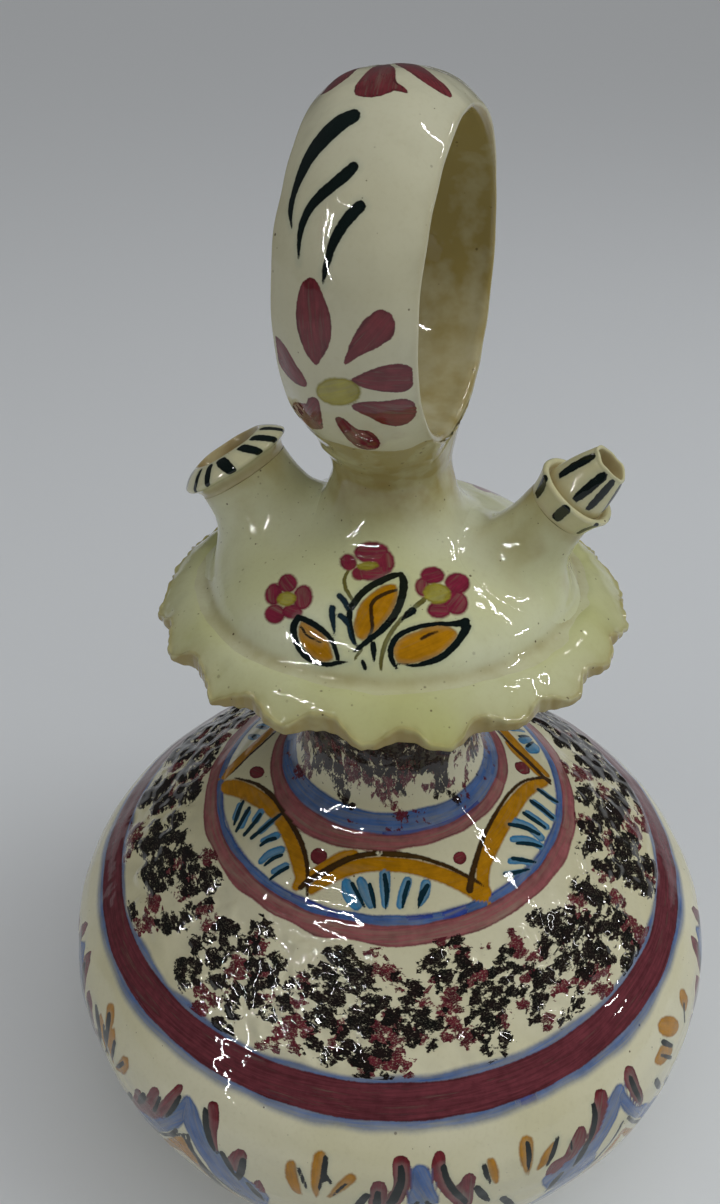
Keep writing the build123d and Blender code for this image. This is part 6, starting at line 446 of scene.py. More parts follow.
        ("blk", 0, (-12.9,71.4,-13.8,71.3,-14.7,71,-15.4,70.4,-15.8,69.8,-15.8,69.1,-15.4,68.6,-14.7,68.3,-13.8,68.3,-12.9,68.6,-12.2,69.2,-11.8,69.9,-11.8,70.6,-12.2,71.1)),
        ("blk", 0, (-12,76,-13.1,75.9,-14.2,75.5,-15.1,74.8,-15.6,74,-15.5,73.2,-14.9,72.6,-13.9,72.2,-12.7,72.2,-11.6,72.7,-10.7,73.4,-10.3,74.3,-10.4,75.1,-11,75.7)),
        ("blk", 0, (2,89.2,1.1,88.7,-0.1,87.4,-1.2,85.7,-2.1,83.9,-2.7,82.2,-2.8,81.1,-2.4,80.7,-1.4,81,-0.3,82.2,0.9,83.9,2,85.9,2.5,87.6,2.5,88.8)),
        ("blk", 0, (0.1,89.5,-0.7,89,-1.5,88.2,-2,87.2,-2.1,86.2,-1.9,85.5,-1.4,85.1,-0.6,85.2,0.3,85.8,1.1,86.6,1.7,87.7,1.9,88.7,1.6,89.4,1,89.7)),
        ("blk", 0, (5.5,85.7,4.3,84.9,2.5,83,0.2,80.4,-1.7,77.6,-3.2,75.1,-4,73.3,-3.8,72.5,-2.7,72.9,-0.9,74.5,1.4,77,3.5,80,5.1,82.9,5.8,84.9)),
        ("blk", 0, (9.2,91.2,8.2,90.7,7.1,89.6,6,88.2,5,86.6,4.5,85.2,4.6,84.3,5.2,83.9,6.2,84.3,7.4,85.3,8.5,86.8,9.4,88.4,9.8,89.9,9.8,90.9)),
        ("blk", 0, (-1.6,76.8,-2.4,76.5,-3.3,75.6,-4,74.4,-4.6,73.2,-4.7,72.1,-4.5,71.3,-3.9,71.1,-3,71.4,-2.1,72.2,-1.3,73.5,-0.9,74.8,-0.8,75.9,-1,76.6)),
        ("blk", 0, (8.7,93.3,8,93,7.2,92.3,6.4,91.4,5.9,90.4,5.6,89.5,5.7,88.9,6.2,88.7,7,89,7.8,89.6,8.5,90.6,9.1,91.6,9.3,92.6,9.2,93.2)),
        ("blk", 0, (-36.8,78.6,-37.3,79.1,-38,79.3,-38.8,79.2,-39.5,78.9,-39.9,78.3,-40.1,77.6,-39.9,76.9,-39.4,76.4,-38.7,76.1,-37.9,76.2,-37.2,76.6,-36.8,77.2,-36.6,77.9)),
        ("blk", 0, (-35.3,79.5,-35.7,79.8,-36.2,79.9,-36.8,79.8,-37.4,79.5,-37.8,79,-38,78.5,-37.9,78,-37.5,77.7,-36.9,77.6,-36.3,77.7,-35.8,78.1,-35.4,78.6,-35.2,79.1)),
        ("blk", 0, (-39.6,81.8,-40.1,82.3,-40.7,82.5,-41.4,82.5,-42.1,82.2,-42.6,81.6,-42.7,81,-42.6,80.3,-42.2,79.8,-41.5,79.5,-40.8,79.5,-40.1,79.8,-39.6,80.4,-39.5,81.1)),
        ("blk", 0, (-41.6,78.4,-41.8,78.8,-42.2,79.1,-42.9,79.3,-43.6,79.3,-44.3,79.3,-44.8,79,-45,78.7,-44.9,78.3,-44.4,78,-43.8,77.8,-43,77.7,-42.3,77.8,-41.8,78.1)),
        ("blk", 0, (-37.7,88.2,-38.4,88.5,-38.9,88.7,-39.4,88.7,-39.5,88.4,-39.4,88,-39,87.5,-38.5,87,-37.8,86.7,-37.2,86.5,-36.8,86.6,-36.6,86.8,-36.7,87.2,-37.1,87.7)),
        ("blk", 0, (-32.6,87,-33,87.5,-33.5,87.8,-33.9,87.8,-34.2,87.6,-34.3,87.1,-34.2,86.6,-34,86,-33.5,85.5,-33.1,85.2,-32.6,85.2,-32.3,85.4,-32.2,85.9,-32.3,86.4)),
        ("blk", 0, (-41.7,84.7,-42.1,85.2,-42.6,85.5,-43.2,85.6,-43.8,85.3,-44.1,84.8,-44.2,84.2,-44.1,83.6,-43.7,83,-43.1,82.7,-42.5,82.6,-42,82.9,-41.6,83.4,-41.5,84)),
        ("blk", 0, (-44.8,77.1,-45.2,77.7,-45.9,78.1,-46.6,78.1,-47.3,77.8,-47.8,77.2,-48,76.5,-47.8,75.7,-47.4,75,-46.7,74.6,-45.9,74.6,-45.2,74.9,-44.8,75.5,-44.6,76.3)),
        ("blk", 0, (-42,70.2,-42.5,70.8,-43.1,71.2,-43.7,71.3,-44.2,71.2,-44.5,70.7,-44.6,70.1,-44.4,69.4,-43.9,68.8,-43.3,68.3,-42.7,68.2,-42.2,68.4,-41.9,68.9,-41.8,69.6)),
        ("blk", 0, (-42.2,72.3,-42.4,72.7,-42.9,72.9,-43.5,73,-44.2,73,-44.8,72.8,-45.1,72.5,-45.3,72.1,-45.1,71.8,-44.7,71.5,-44.1,71.4,-43.4,71.5,-42.8,71.7,-42.4,72)),
        ("blk", 0, (-17.3,90.3,-17.5,90.9,-17.9,91.2,-18.5,91.3,-19.1,91.1,-19.7,90.6,-20.1,90,-20.2,89.4,-20.1,88.8,-19.7,88.4,-19.1,88.3,-18.4,88.5,-17.9,89,-17.5,89.7)),
        ("blk", 0, (-27.6,83.8,-27.9,84,-28.3,84,-28.8,83.8,-29.3,83.5,-29.6,83.1,-29.7,82.7,-29.6,82.4,-29.2,82.2,-28.8,82.2,-28.3,82.3,-27.8,82.7,-27.5,83.1,-27.4,83.5)),
        ("blk", 0, (-41.1,74.2,-41.4,74.4,-41.8,74.5,-42.3,74.4,-42.8,74.2,-43.1,73.9,-43.3,73.6,-43.3,73.3,-43.1,73.1,-42.6,73,-42.1,73,-41.7,73.3,-41.3,73.6,-41.1,73.9)),
        ("brg", 0, (-38.4,68.6,-38.8,69.7,-39.3,70.4,-39.9,70.8,-40.5,70.8,-41.1,70.2,-41.4,69.3,-41.4,68.3,-41.1,67.2,-40.6,66.4,-39.9,66,-39.2,66.1,-38.7,66.6,-38.4,67.5)),
        ("brg", 0, (-15.9,71.7,-16.6,71.9,-17.3,71.8,-18,71.5,-18.6,71,-18.9,70.4,-18.8,69.8,-18.5,69.4,-17.9,69.2,-17.1,69.2,-16.3,69.5,-15.7,70,-15.4,70.6,-15.5,71.2)),
        ("brg", 0, (-7.4,80.9,-8.2,81,-9.1,80.8,-9.9,80.3,-10.4,79.6,-10.7,78.9,-10.5,78.2,-10,77.7,-9.2,77.6,-8.3,77.8,-7.5,78.3,-6.8,79,-6.6,79.8,-6.8,80.5)),
        ("brg", 0, (-11.2,86.9,-12,86.6,-12.7,86,-13.3,85,-13.6,84,-13.6,83.2,-13.2,82.6,-12.5,82.4,-11.7,82.7,-10.9,83.4,-10.3,84.4,-10.1,85.4,-10.1,86.2,-10.6,86.8)),
        ("brg", 0, (-11.3,90,-12,90.2,-12.7,90.1,-13.4,89.8,-13.8,89.3,-13.9,88.7,-13.7,88.1,-13.2,87.6,-12.5,87.4,-11.8,87.4,-11.1,87.8,-10.7,88.3,-10.6,88.9,-10.8,89.5)),
        ("brg", 0, (-25.2,85.2,-25.7,85.6,-26.7,85.7,-28.1,85.5,-29.5,85,-30.7,84.3,-31.4,83.5,-31.6,82.8,-31.1,82.3,-30.1,82.1,-28.7,82.2,-27.3,82.8,-26.1,83.6,-25.3,84.5)),
        ("brg", 0, (-25.7,90.7,-26.1,90.7,-26.8,90.3,-27.7,89.7,-28.6,88.8,-29.3,88,-29.7,87.3,-29.6,86.9,-29.2,86.8,-28.4,87.2,-27.5,87.8,-26.7,88.7,-26,89.6,-25.6,90.3)),
        ("brg", 0, (-33.5,81.7,-33.6,82.2,-34.1,82.7,-35,83,-35.9,83.1,-36.8,82.9,-37.5,82.5,-37.8,81.9,-37.8,81.3,-37.3,80.8,-36.4,80.5,-35.5,80.4,-34.5,80.6,-33.8,81.1)),
        ("brg", 0, (-39.7,87.8,-40,88.3,-40.6,88.7,-41.2,88.8,-41.9,88.5,-42.4,88.1,-42.6,87.4,-42.6,86.8,-42.3,86.2,-41.8,85.8,-41.1,85.7,-40.4,85.9,-39.9,86.4,-39.7,87.1)),
        ("brg", 0, (-34.3,74.8,-34.8,75.2,-35.4,75.4,-36.1,75.3,-36.7,75,-37.1,74.4,-37.2,73.8,-37,73.2,-36.5,72.8,-35.9,72.7,-35.2,72.8,-34.6,73.1,-34.2,73.7,-34.1,74.3)),
        ("brg", 0, (-18.7,75.5,-19.1,75.7,-19.8,75.7,-20.3,75.4,-20.8,75,-21.1,74.5,-21.1,74,-20.8,73.5,-20.3,73.3,-19.6,73.3,-19,73.6,-18.6,74.1,-18.3,74.6,-18.4,75.1)),
        ("brg", 0, (-3,75.7,-3.7,75.6,-4.6,75.2,-5.5,74.5,-6.3,73.6,-6.7,72.7,-6.7,72,-6.3,71.6,-5.6,71.6,-4.6,72,-3.7,72.8,-2.9,73.7,-2.5,74.6,-2.5,75.3)),
        ("brg", 0, (6.8,90.9,6.1,90.7,5.2,90.1,4.5,89.2,3.9,88.2,3.6,87.4,3.8,86.8,4.2,86.5,5,86.7,5.8,87.3,6.6,88.2,7.2,89.2,7.4,90.1,7.2,90.8)),
        ("brg", 0, (-27.6,74.7,-27.9,74.9,-28.4,75,-28.8,74.9,-29.2,74.6,-29.4,74.3,-29.4,73.9,-29.3,73.6,-28.9,73.3,-28.5,73.3,-28,73.4,-27.7,73.6,-27.4,74,-27.4,74.4)),
        ("brg", 0, (-39.1,76.1,-39.5,76.5,-40.1,76.8,-40.8,76.7,-41.4,76.5,-41.8,76,-41.9,75.4,-41.8,74.8,-41.4,74.4,-40.8,74.1,-40.1,74.2,-39.5,74.4,-39.1,74.9,-39,75.5)),
        ("brg", 0, (-48.2,82.7,-48.5,83.2,-49,83.6,-49.5,83.7,-50.1,83.5,-50.4,83,-50.6,82.4,-50.5,81.8,-50.2,81.2,-49.7,80.8,-49.1,80.7,-48.6,80.9,-48.2,81.4,-48.1,82)),
        ("brg", 0, (-43.1,81.5,-43.4,81.8,-43.9,82,-44.3,82,-44.8,81.8,-45.1,81.5,-45.2,81,-45.1,80.6,-44.9,80.2,-44.5,80,-44,80,-43.5,80.2,-43.2,80.6,-43.1,81)),
        ("brg", 0, (-19.8,79,-20.1,79.2,-20.6,79.1,-21.2,78.8,-21.6,78.4,-21.9,77.9,-22,77.5,-21.8,77.1,-21.4,77,-20.9,77.1,-20.4,77.3,-19.9,77.8,-19.7,78.3,-19.6,78.7)),
        ("brg", 0, (-23.4,86.4,-23.8,86.6,-24.3,86.6,-24.8,86.4,-25.2,86.1,-25.5,85.6,-25.5,85.1,-25.3,84.7,-24.9,84.4,-24.4,84.4,-23.9,84.6,-23.4,85,-23.2,85.5,-23.2,86)),
        ("brg", 0, (-8.3,91.5,-8.6,91.5,-9.1,91.2,-9.6,90.8,-10,90.2,-10.3,89.6,-10.3,89.2,-10.2,88.9,-9.8,88.9,-9.3,89.2,-8.9,89.7,-8.4,90.2,-8.2,90.8,-8.1,91.2)),
        ("brg", 0, (-20.7,72.1,-21.1,72.3,-21.7,72.4,-22.2,72.3,-22.6,72,-22.7,71.6,-22.7,71.1,-22.4,70.7,-21.9,70.5,-21.3,70.4,-20.8,70.5,-20.4,70.8,-20.2,71.3,-20.4,71.7)),
        ("blk", 0, (58.9,95.8,58.3,90.3,59,87.5,60.8,87.6,63.2,90.6,65.8,97.1)),
        ("blk", 0, (53.5,78.9,52.4,77.1,51.1,74.6,50,72,49.2,69.6,48.9,68,49.3,67.4,50.3,67.9,51.5,69.5,52.9,72,54,74.7,54.6,77.2,54.7,79,54.4,79.6)),
        ("blk", 0, (54.5,92.9,53.1,88.3,52.7,85.5,53.4,84.6,55,85.8,58,90.9)),
        ("blk", 0, (44.8,78,43.2,75.6,41.7,72.7,40.7,69.9,40.3,67.6,40.6,66.1,41.6,65.7,43.3,66.8,45.1,69.1,46.6,72.1,47.5,75.3,47.7,77.8,47.3,79.4,46.3,79.4)),
        ("blk", 0, (44.2,82.1,42.7,79.6,41.7,77.4,41.4,75.8,41.9,75.1,43,75.4,44.5,76.7,46.1,78.8,47.6,81.4,48.6,84,48.8,85.8,48.4,86.5,47.3,86,45.9,84.4)),
        ("blk", 0, (47.8,97.2,47.3,93,47.4,89.7,48.2,87.8,49.4,87.7,50.8,89.3,52,92.5,53.1,97.4)),
        ("blk", 0, (45.5,96.1,44.4,93.3,43.9,91.4,44,90.5,44.9,91,46.2,92.6,47.8,95.2)),
        ("blk", 0, (34.3,76.5,33.5,75.2,33.2,73.5,33.5,71.9,34.2,70.6,35.4,70,36.7,70.1,37.9,70.9,38.6,72.3,38.8,74,38.5,75.6,37.7,76.8,36.6,77.5,35.4,77.3)),
        ("blk", 0, (31.8,80.6,30.6,78.8,30,76.9,30.1,75.4,30.9,74.5,32.3,74.3,34,75.1,35.5,76.6,36.6,78.5,37.2,80.6,37,82.2,36.2,83.1,35,83,33.4,82.2)),
        ("blk", 0, (34.2,87.8,32.6,85.1,31.6,82.8,31.3,81,32,80.1,33.4,80.4,35.3,81.8,37.2,84.2,38.8,87.1,39.6,89.7,39.8,91.7,39.1,92.5,37.8,91.9,36.1,90.2)),
        ("blk", 0, (34.4,95,32,93.6,29.4,91.4,27.2,89.1,26.1,87.1,25.8,85.3,26.4,84,28,83.7,30.6,84.7,33.3,86.7,35.5,89.5,36.9,92.3,37.1,94.4,36.2,95.4)),
        ("blk", 0, (30.9,95.6,29.5,95,27.9,93.8,26.4,92.1,25.3,90.4,24.8,88.8,24.9,87.6,25.6,87,26.8,87.1,28.4,88.2,30,90,31.3,92.2,31.9,94.1,31.7,95.3)),
        ("blk", 0, (21,71,19.2,69.9,17.5,68.4,16.1,66.8,15.4,65.2,15.5,64.1,16.5,63.5,18.1,63.7,20,64.7,21.8,66.3,23.1,68.1,23.7,69.8,23.4,71,22.5,71.4)),
        ("blk", 0, (18.4,72.5,17.1,72,15.9,71.4,15.1,70.8,14.7,70.2,14.9,69.8,15.7,69.6,16.9,69.7,18.2,70.2,19.5,70.8,20.3,71.5,20.6,72.2,20.4,72.6,19.6,72.7)),
        ("blk", 0, (24.1,83.7,22.8,82.6,21.5,81,20.5,79.4,20,77.9,20.1,76.9,20.9,76.5,22,76.8,23.4,77.8,24.6,79.4,25.6,81.2,26,82.8,25.9,83.8,25.2,84.2)),
        ("blk", 0, (20.2,80.5,18.2,79.5,16.3,78.3,14.9,77,14.2,75.9,14.5,75,15.6,74.6,17.3,74.8,19.4,75.6,21.2,76.9,22.6,78.4,23.2,79.8,23,80.7,21.9,80.9)),
        ("blk", 0, (14.8,73.7,13.3,73.2,12,72.4,10.9,71.4,10.2,70.4,10.2,69.5,10.8,68.9,11.8,68.7,13.2,69.1,14.8,70,16.1,71.1,16.9,72.3,16.8,73.3,16.1,73.8)),
        ("blk", 0, (15.4,78,14.1,77.5,12.8,76.5,11.8,75.2,11,74,10.8,72.8,11.1,72.1,12,71.9,13.1,72.3,14.5,73.3,15.8,74.7,16.6,76.1,16.8,77.3,16.4,78)),
        ("blk", 0, (6.5,67.7,5.5,67.5,4.4,67,3.3,66.2,2.6,65.3,2.2,64.4,2.4,63.8,3.1,63.5,4.1,63.6,5.3,64.1,6.3,65,7.1,65.9,7.4,66.8,7.1,67.4)),
        ("blk", 0, (8.8,70.4,8.1,70.2,7.2,69.7,6.5,69,5.9,68.2,5.7,67.5,5.8,67,6.3,66.8,7,67,7.9,67.4,8.7,68.2,9.2,69,9.4,69.7,9.3,70.2)),
        ("blk", 0, (-2.4,67.1,-3.1,67.1,-3.8,67,-4.5,66.6,-4.9,66.1,-5.1,65.6,-4.9,65.2,-4.3,64.9,-3.6,64.9,-2.9,65,-2.2,65.4,-1.8,65.9,-1.7,66.4,-1.9,66.8)),
        ("blk", 0, (3.3,70.2,2.7,70.5,1.7,70.4,0.5,70,-0.5,69.3,-1.3,68.5,-1.7,67.8,-1.6,67.2,-1.1,66.9,-0.1,66.9,1.1,67.3,2.2,68,3.1,68.8,3.5,69.7)),
        ("blk", 0, (9.8,83.2,8.2,82.7,6.5,81.5,4.9,79.8,3.7,78.1,3.2,76.5,3.6,75.4,4.7,74.9,6.3,75.2,8.2,76.4,9.8,78.1,10.8,80.1,11.2,81.8,10.8,82.9)),
        ("blk", 0, (35.1,97.9,34.3,97.1,33.8,96.2,33.7,95.2,33.9,94.5,34.6,94,35.5,94,36.4,94.5,37.3,95.3,37.8,96.4,38,97.4,37.7,98.2)),
        ("blk", 0, (30.3,98,29.9,96.6,29.9,95.5,30.4,94.9,31.3,94.8,32.4,95.5,33.5,96.6,34.2,98)),
        ("brg", 0, (27.5,63.5,26,62.2,24.6,60.8,23.8,59.3,23.7,58.1,24.3,57.3,25.6,57.2,27.2,57.8,29.1,59.2,30.7,60.9,31.6,62.7,31.6,64,30.9,64.6,29.4,64.4)),
        ("brg", 0, (29,69.9,27.6,68.9,26.3,67.7,25.3,66.3,24.6,65,24.5,64,25,63.5,26,63.5,27.3,64.3,28.8,65.6,30.1,67.3,30.8,68.8,30.8,69.8,30.2,70.2)),
        ("brg", 0, (31.1,74.7,30.1,73.9,29,72.7,28.1,71.4,27.5,70.2,27.4,69.3,27.9,69,28.7,69.2,29.8,70,30.9,71.2,31.8,72.5,32.3,73.8,32.3,74.7,31.9,75)),
        ("brg", 0, (44.5,94,43,91.1,41.7,88.2,41.1,85.8,41.1,84.3,41.8,83.8,43.1,84.7,44.7,86.6,46.2,89.4,47.4,92.6,48,95.3,47.9,97,47.2,97.4,46,96.3)),
        ("brg", 0, (23.5,76.1,22.4,75.1,21.6,74,21.2,73,21.2,72.2,21.8,71.9,22.8,72.2,23.9,72.8,24.9,73.9,25.7,75.1,26.1,76.1,26,76.9,25.4,77.1,24.5,76.8)),
        ("brg", 0, (8,68.8,7,68.3,6,67.3,5.1,66,4.6,64.8,4.6,63.7,5.2,63.1,6.1,63,7.2,63.5,8.3,64.5,9.1,65.8,9.5,67.1,9.4,68.2,8.9,68.8)),
        ("brg", 0, (16.8,85.7,15.8,86,14.6,85.8,13.3,85,12.3,84,11.7,82.8,11.5,81.5,11.8,80.6,12.6,80.1,13.7,80.2,15.2,80.9,16.4,82.1,17.1,83.5,17.3,84.8)),
        ("brg", 0, (21.1,91.9,19.9,91.3,18.6,90.4,17.6,89.3,16.9,88.2,16.8,87.3,17.3,86.7,18.3,86.7,19.6,87.2,20.9,88.1,21.9,89.3,22.5,90.5,22.6,91.5,22.1,92)),
        ("brg", 0, (6.2,75.3,5,75.2,3.8,74.7,2.8,74.1,2.3,73.4,2.3,72.7,2.8,72.1,3.8,71.8,5.1,71.9,6.4,72.4,7.4,73.1,7.9,73.9,7.8,74.6,7.2,75.1)),
        ("brg", 0, (40.2,97.4,39,96.5,37.8,95.1,36.7,93.6,36,92.1,35.8,91,36,90.3,36.8,90.2,37.8,90.8,39,92,40.1,93.6,41,95.5,41.3,97,41,97.6)),
        ("brg", 0, (26.9,93,25.7,92.9,24.5,92.2,23.4,91.2,22.6,89.9,22.2,88.7,22.4,87.7,23.1,87.1,24.2,87.1,25.5,87.6,26.6,88.7,27.4,90,27.8,91.5,27.6,92.5)),
        ("brg", 0, (49.6,84.1,47.9,81.2,46.1,77.6,44.6,74,43.7,70.9,43.6,68.8,44.3,68.1,45.7,69,47.5,71.3,49.2,74.7,50.5,78.5,51.3,82.2,51.4,84.7,50.8,85.3)),
        ("brg", 0, (20.1,82.9,18.6,82.1,17.1,81,15.9,79.6,15.2,78.4,15.2,77.5,15.9,77,17.1,77.1,18.7,77.8,20.2,79,21.4,80.4,22,81.8,22,82.8,21.3,83.2)),
        ("brg", 0, (52.5,81.8,50.8,79.1,49.4,76,48.2,73,47.6,70.7,47.7,69.3,48.6,69.1,50.1,70.3,51.7,72.6,53.1,75.7,54.1,78.9,54.7,81.7,54.5,83.3,53.8,83.3)),
        ("brg", 0, (12.3,84.5,11.7,84.2,11.1,83.7,10.5,83.1,10.2,82.5,10.1,81.9,10.3,81.5,10.7,81.4,11.3,81.6,12,82.1,12.5,82.8,12.8,83.5,12.9,84,12.7,84.4)),
    ),
}


# ------------------------------------------------------------------ curves
def cubic(pts, n):
    """Natural cubic spline through pts by chord length, n points."""
    P = np.asarray(pts, float)
    t = np.r_[0, np.cumsum(np.hypot(*np.diff(P, axis=0).T))]
    m, h = len(t), np.diff(t)
    A, B = np.zeros((m, m)), np.zeros((m, 2))
    A[0, 0] = A[-1, -1] = 1
    for i in range(1, m - 1):
        A[i, i - 1], A[i, i], A[i, i + 1] = h[i - 1], 2 * (h[i - 1] + h[i]), h[i]
        B[i] = 6 * ((P[i + 1] - P[i]) / h[i] - (P[i] - P[i - 1]) / h[i - 1])
    M = np.linalg.solve(A, B)
    u = np.linspace(0, t[-1], n)
    k = np.clip(np.searchsorted(t, u, side="right") - 1, 0, m - 2)
    d, hk = (u - t[k])[:, None], h[k][:, None]
    b = (P[k + 1] - P[k]) / hk - hk * (2 * M[k] + M[k + 1]) / 6
    return P[k] + b * d + M[k] / 2 * d * d + (M[k + 1] - M[k]) / (6 * hk) * d ** 3


class Curve:
    """A profile with arc length. Travelling up the outside, its normal points outward."""

    def __init__(self, X):
        X = np.asarray(X, float)
        keep = np.r_[True, np.hypot(*np.diff(X, axis=0).T) > 1e-9]
        self.X = X[keep]
        self.s = np.r_[0, np.cumsum(np.hypot(*np.diff(self.X, axis=0).T))]
        T = np.gradient(self.X, self.s, axis=0)
        T /= np.linalg.norm(T, axis=1)[:, None]
        self.N = np.c_[T[:, 1], -T[:, 0]]

    def at(self, s):
        return np.c_[np.interp(s, self.s, self.X[:, 0]), np.interp(s, self.s, self.X[:, 1])]

    def normal(self, s):
        return np.c_[np.interp(s, self.s, self.N[:, 0]), np.interp(s, self.s, self.N[:, 1])]

    def near(self, p):
        return self.s[np.argmin(np.hypot(self.X[:, 0] - p[0], self.X[:, 1] - p[1]))]

    def s_of_z(self, z):
        return np.interp(z, self.X[:, 1], self.s)

    def s_of_r(self, r):
        """For a profile whose radius falls as it climbs, up to its waist."""
        k = int(np.argmin(self.X[:, 0])) + 1
        return np.interp(-np.asarray(r, float), -self.X[:k, 0], self.s[:k])


def arc3(a, b, c, n=16):
    """Points on the circle from a through b to c."""
    a, b, c = (np.asarray(p, float) for p in (a, b, c))
    d = 2 * (a[0] * (b[1] - c[1]) + b[0] * (c[1] - a[1]) + c[0] * (a[1] - b[1]))
    q = [p @ p for p in (a, b, c)]
    o = np.array([(q[0] * (b[1] - c[1]) + q[1] * (c[1] - a[1]) + q[2] * (a[1] - b[1])) / d,
                  (q[0] * (c[0] - b[0]) + q[1] * (a[0] - c[0]) + q[2] * (b[0] - a[0])) / d])
    t = [math.atan2(*(p - o)[::-1]) for p in (a, b, c)]
    R = np.hypot(*(a - o))
    ccw = (t[1] - t[0]) % TAU < (t[2] - t[0]) % TAU
    sweep = (t[2] - t[0]) % TAU if ccw else -((t[0] - t[2]) % TAU)
    u = t[0] + sweep * np.linspace(0, 1, n)
    return np.c_[o[0] + R * np.cos(u), o[1] + R * np.sin(u)]


def steps(*stops):
    """Row positions: pairs (position, spacing up to the next stop)."""
    out = []
    for (a, d), (b, _) in zip(stops, stops[1:]):
        n = max(1, int(round(abs(b - a) / d)))
        out += list(a + (b - a) * np.arange(n) / n)
    return np.array(out + [stops[-1][0]])


def waves(seed, lo, hi, n=26):
    """Smooth hand-made unevenness with wavelengths from lo to hi mm, about 1 high."""
    g = np.random.default_rng(seed)
    k = g.normal(size=(n, 3))
    k /= np.linalg.norm(k, axis=1)[:, None]
    k *= (TAU / np.exp(g.uniform(math.log(lo), math.log(hi), n)))[:, None]
    ph = g.uniform(0, TAU, n)

    def f(P):
        P = np.asarray(P, float)
        out = np.zeros(P.shape[:-1])
        for i in range(n):
            out += np.sin(P @ k[i] + ph[i])
        return out * math.sqrt(2 / n)

    return f


def wrap(d):
    return (np.asarray(d) + 180) % 360 - 180


def sstep(x, a, b):
    t = np.clip((np.asarray(x, float) - a) / (b - a), 0, 1)
    return t * t * (3 - 2 * t)


# ------------------------------------------------------------------ meshes
def grid_object(name, co, sharp=()):
    """A closed quad mesh from co[rows, columns, 3] in mm, closed both ways. Rows named in sharp are hard edges."""
    R, C = co.shape[:2]
    me = bpy.data.meshes.new(name)
    me.vertices.add(R * C)
    me.vertices.foreach_set("co", (co.reshape(-1, 3) * MM).astype(np.float32).ravel())
    i, j = np.meshgrid(np.arange(R), np.arange(C), indexing="ij")
    i1, j1 = (i + 1) % R, (j + 1) % C
    F = np.stack([i * C + j, i * C + j1, i1 * C + j1, i1 * C + j], -1).reshape(-1, 4)
    me.loops.add(F.size)
    me.loops.foreach_set("vertex_index", F.ravel().astype(np.int32))
    me.polygons.add(len(F))
    me.polygons.foreach_set("loop_start", np.arange(0, F.size, 4, dtype=np.int32))
    me.update(calc_edges=True)
    # rows by their length along the section, columns by the turn
    step = np.linalg.norm(np.roll(co, -1, 0) - co, axis=2).mean(1)
    v = np.r_[0, np.cumsum(step)] / step.sum()
    uv = np.empty((R, C, 4, 2))
    uv[..., 0] = (np.stack([j, j + 1, j + 1, j], -1)) / C
    uv[..., 1] = np.stack([v[i], v[i], v[i + 1], v[i + 1]], -1)
    lay = me.uv_layers.new(name="OFBake")
    lay.uv.foreach_set("vector", uv.astype(np.float32).ravel())
    if len(sharp):
        e = np.empty(len(me.edges) * 2, np.int32)
        me.edges.foreach_get("vertices", e)
        row = e.reshape(-1, 2) // C
        hard = (row[:, 0] == row[:, 1]) & np.isin(row[:, 0], list(sharp))
        at = me.attributes.new("sharp_edge", "BOOLEAN", "EDGE")
        at.data.foreach_set("value", hard)
    o = bpy.data.objects.new(name, me)
    bpy.context.scene.collection.objects.link(o)
    return o


def turned(curve, rows, inner, n, push=None, x0=0.0):
    """Rows of a turned piece: the outside at arc lengths rows, then the inside points. Returns co, degrees, s, r."""
    ph = x0 + TAU * np.arange(n) / n
    P, N = curve.at(rows), curve.normal(rows)
    rr, zz = np.repeat(P[:, :1], n, 1), np.repeat(P[:, 1:], n, 1)
    co0 = np.stack([rr * np.cos(ph), rr * np.sin(ph), zz], -1)
    S = np.repeat(np.asarray(rows)[:, None], n, 1)
    PH = np.repeat(np.degrees(ph)[None], len(rows), 0)
    if push is not None:
        d = push(PH, S, rr, co0)
        rr = rr + N[:, :1] * d
        zz = zz + N[:, 1:] * d
    inner = np.asarray(inner, float).reshape(-1, 2)
    r2, z2 = np.repeat(inner[:, :1], n, 1), np.repeat(inner[:, 1:], n, 1)
    rr, zz = np.vstack([rr, r2]), np.vstack([zz, z2])
    co = np.stack([rr * np.cos(ph), rr * np.sin(ph), zz], -1)
    k = len(inner)
    S = np.vstack([S, np.full((k, n), -99.0)])
    PH = np.vstack([PH, np.repeat(np.degrees(ph)[None], k, 0)])
    return co, PH, S, rr


def place(co, origin, axis):
    """Turns a piece made about Z so that Z is axis, its 0 degrees is -Y, and moves it to origin (mm)."""
    a = np.asarray(axis, float)
    x = np.array([0.0, -1.0, 0.0])
    y = np.cross(a, x)
    return np.asarray(origin, float) + co[..., :1] * x + co[..., 1:2] * y + co[..., 2:] * a


def floats(o, **arrays):
    for name, v in arrays.items():
        v = np.asarray(v, np.float32)
        if v.ndim == 2 and v.shape[1] == 3:
            at = o.data.attributes.new(name, "FLOAT_VECTOR", "POINT")
            at.data.foreach_set("vector", v.ravel())
        else:
            at = o.data.attributes.new(name, "FLOAT", "POINT")
            at.data.foreach_set("value", v.ravel())


def coords(o):
    v = np.empty(len(o.data.vertices) * 3, np.float32)
    o.data.vertices.foreach_get("co", v)
    return v.reshape(-1, 3).astype(float) / MM


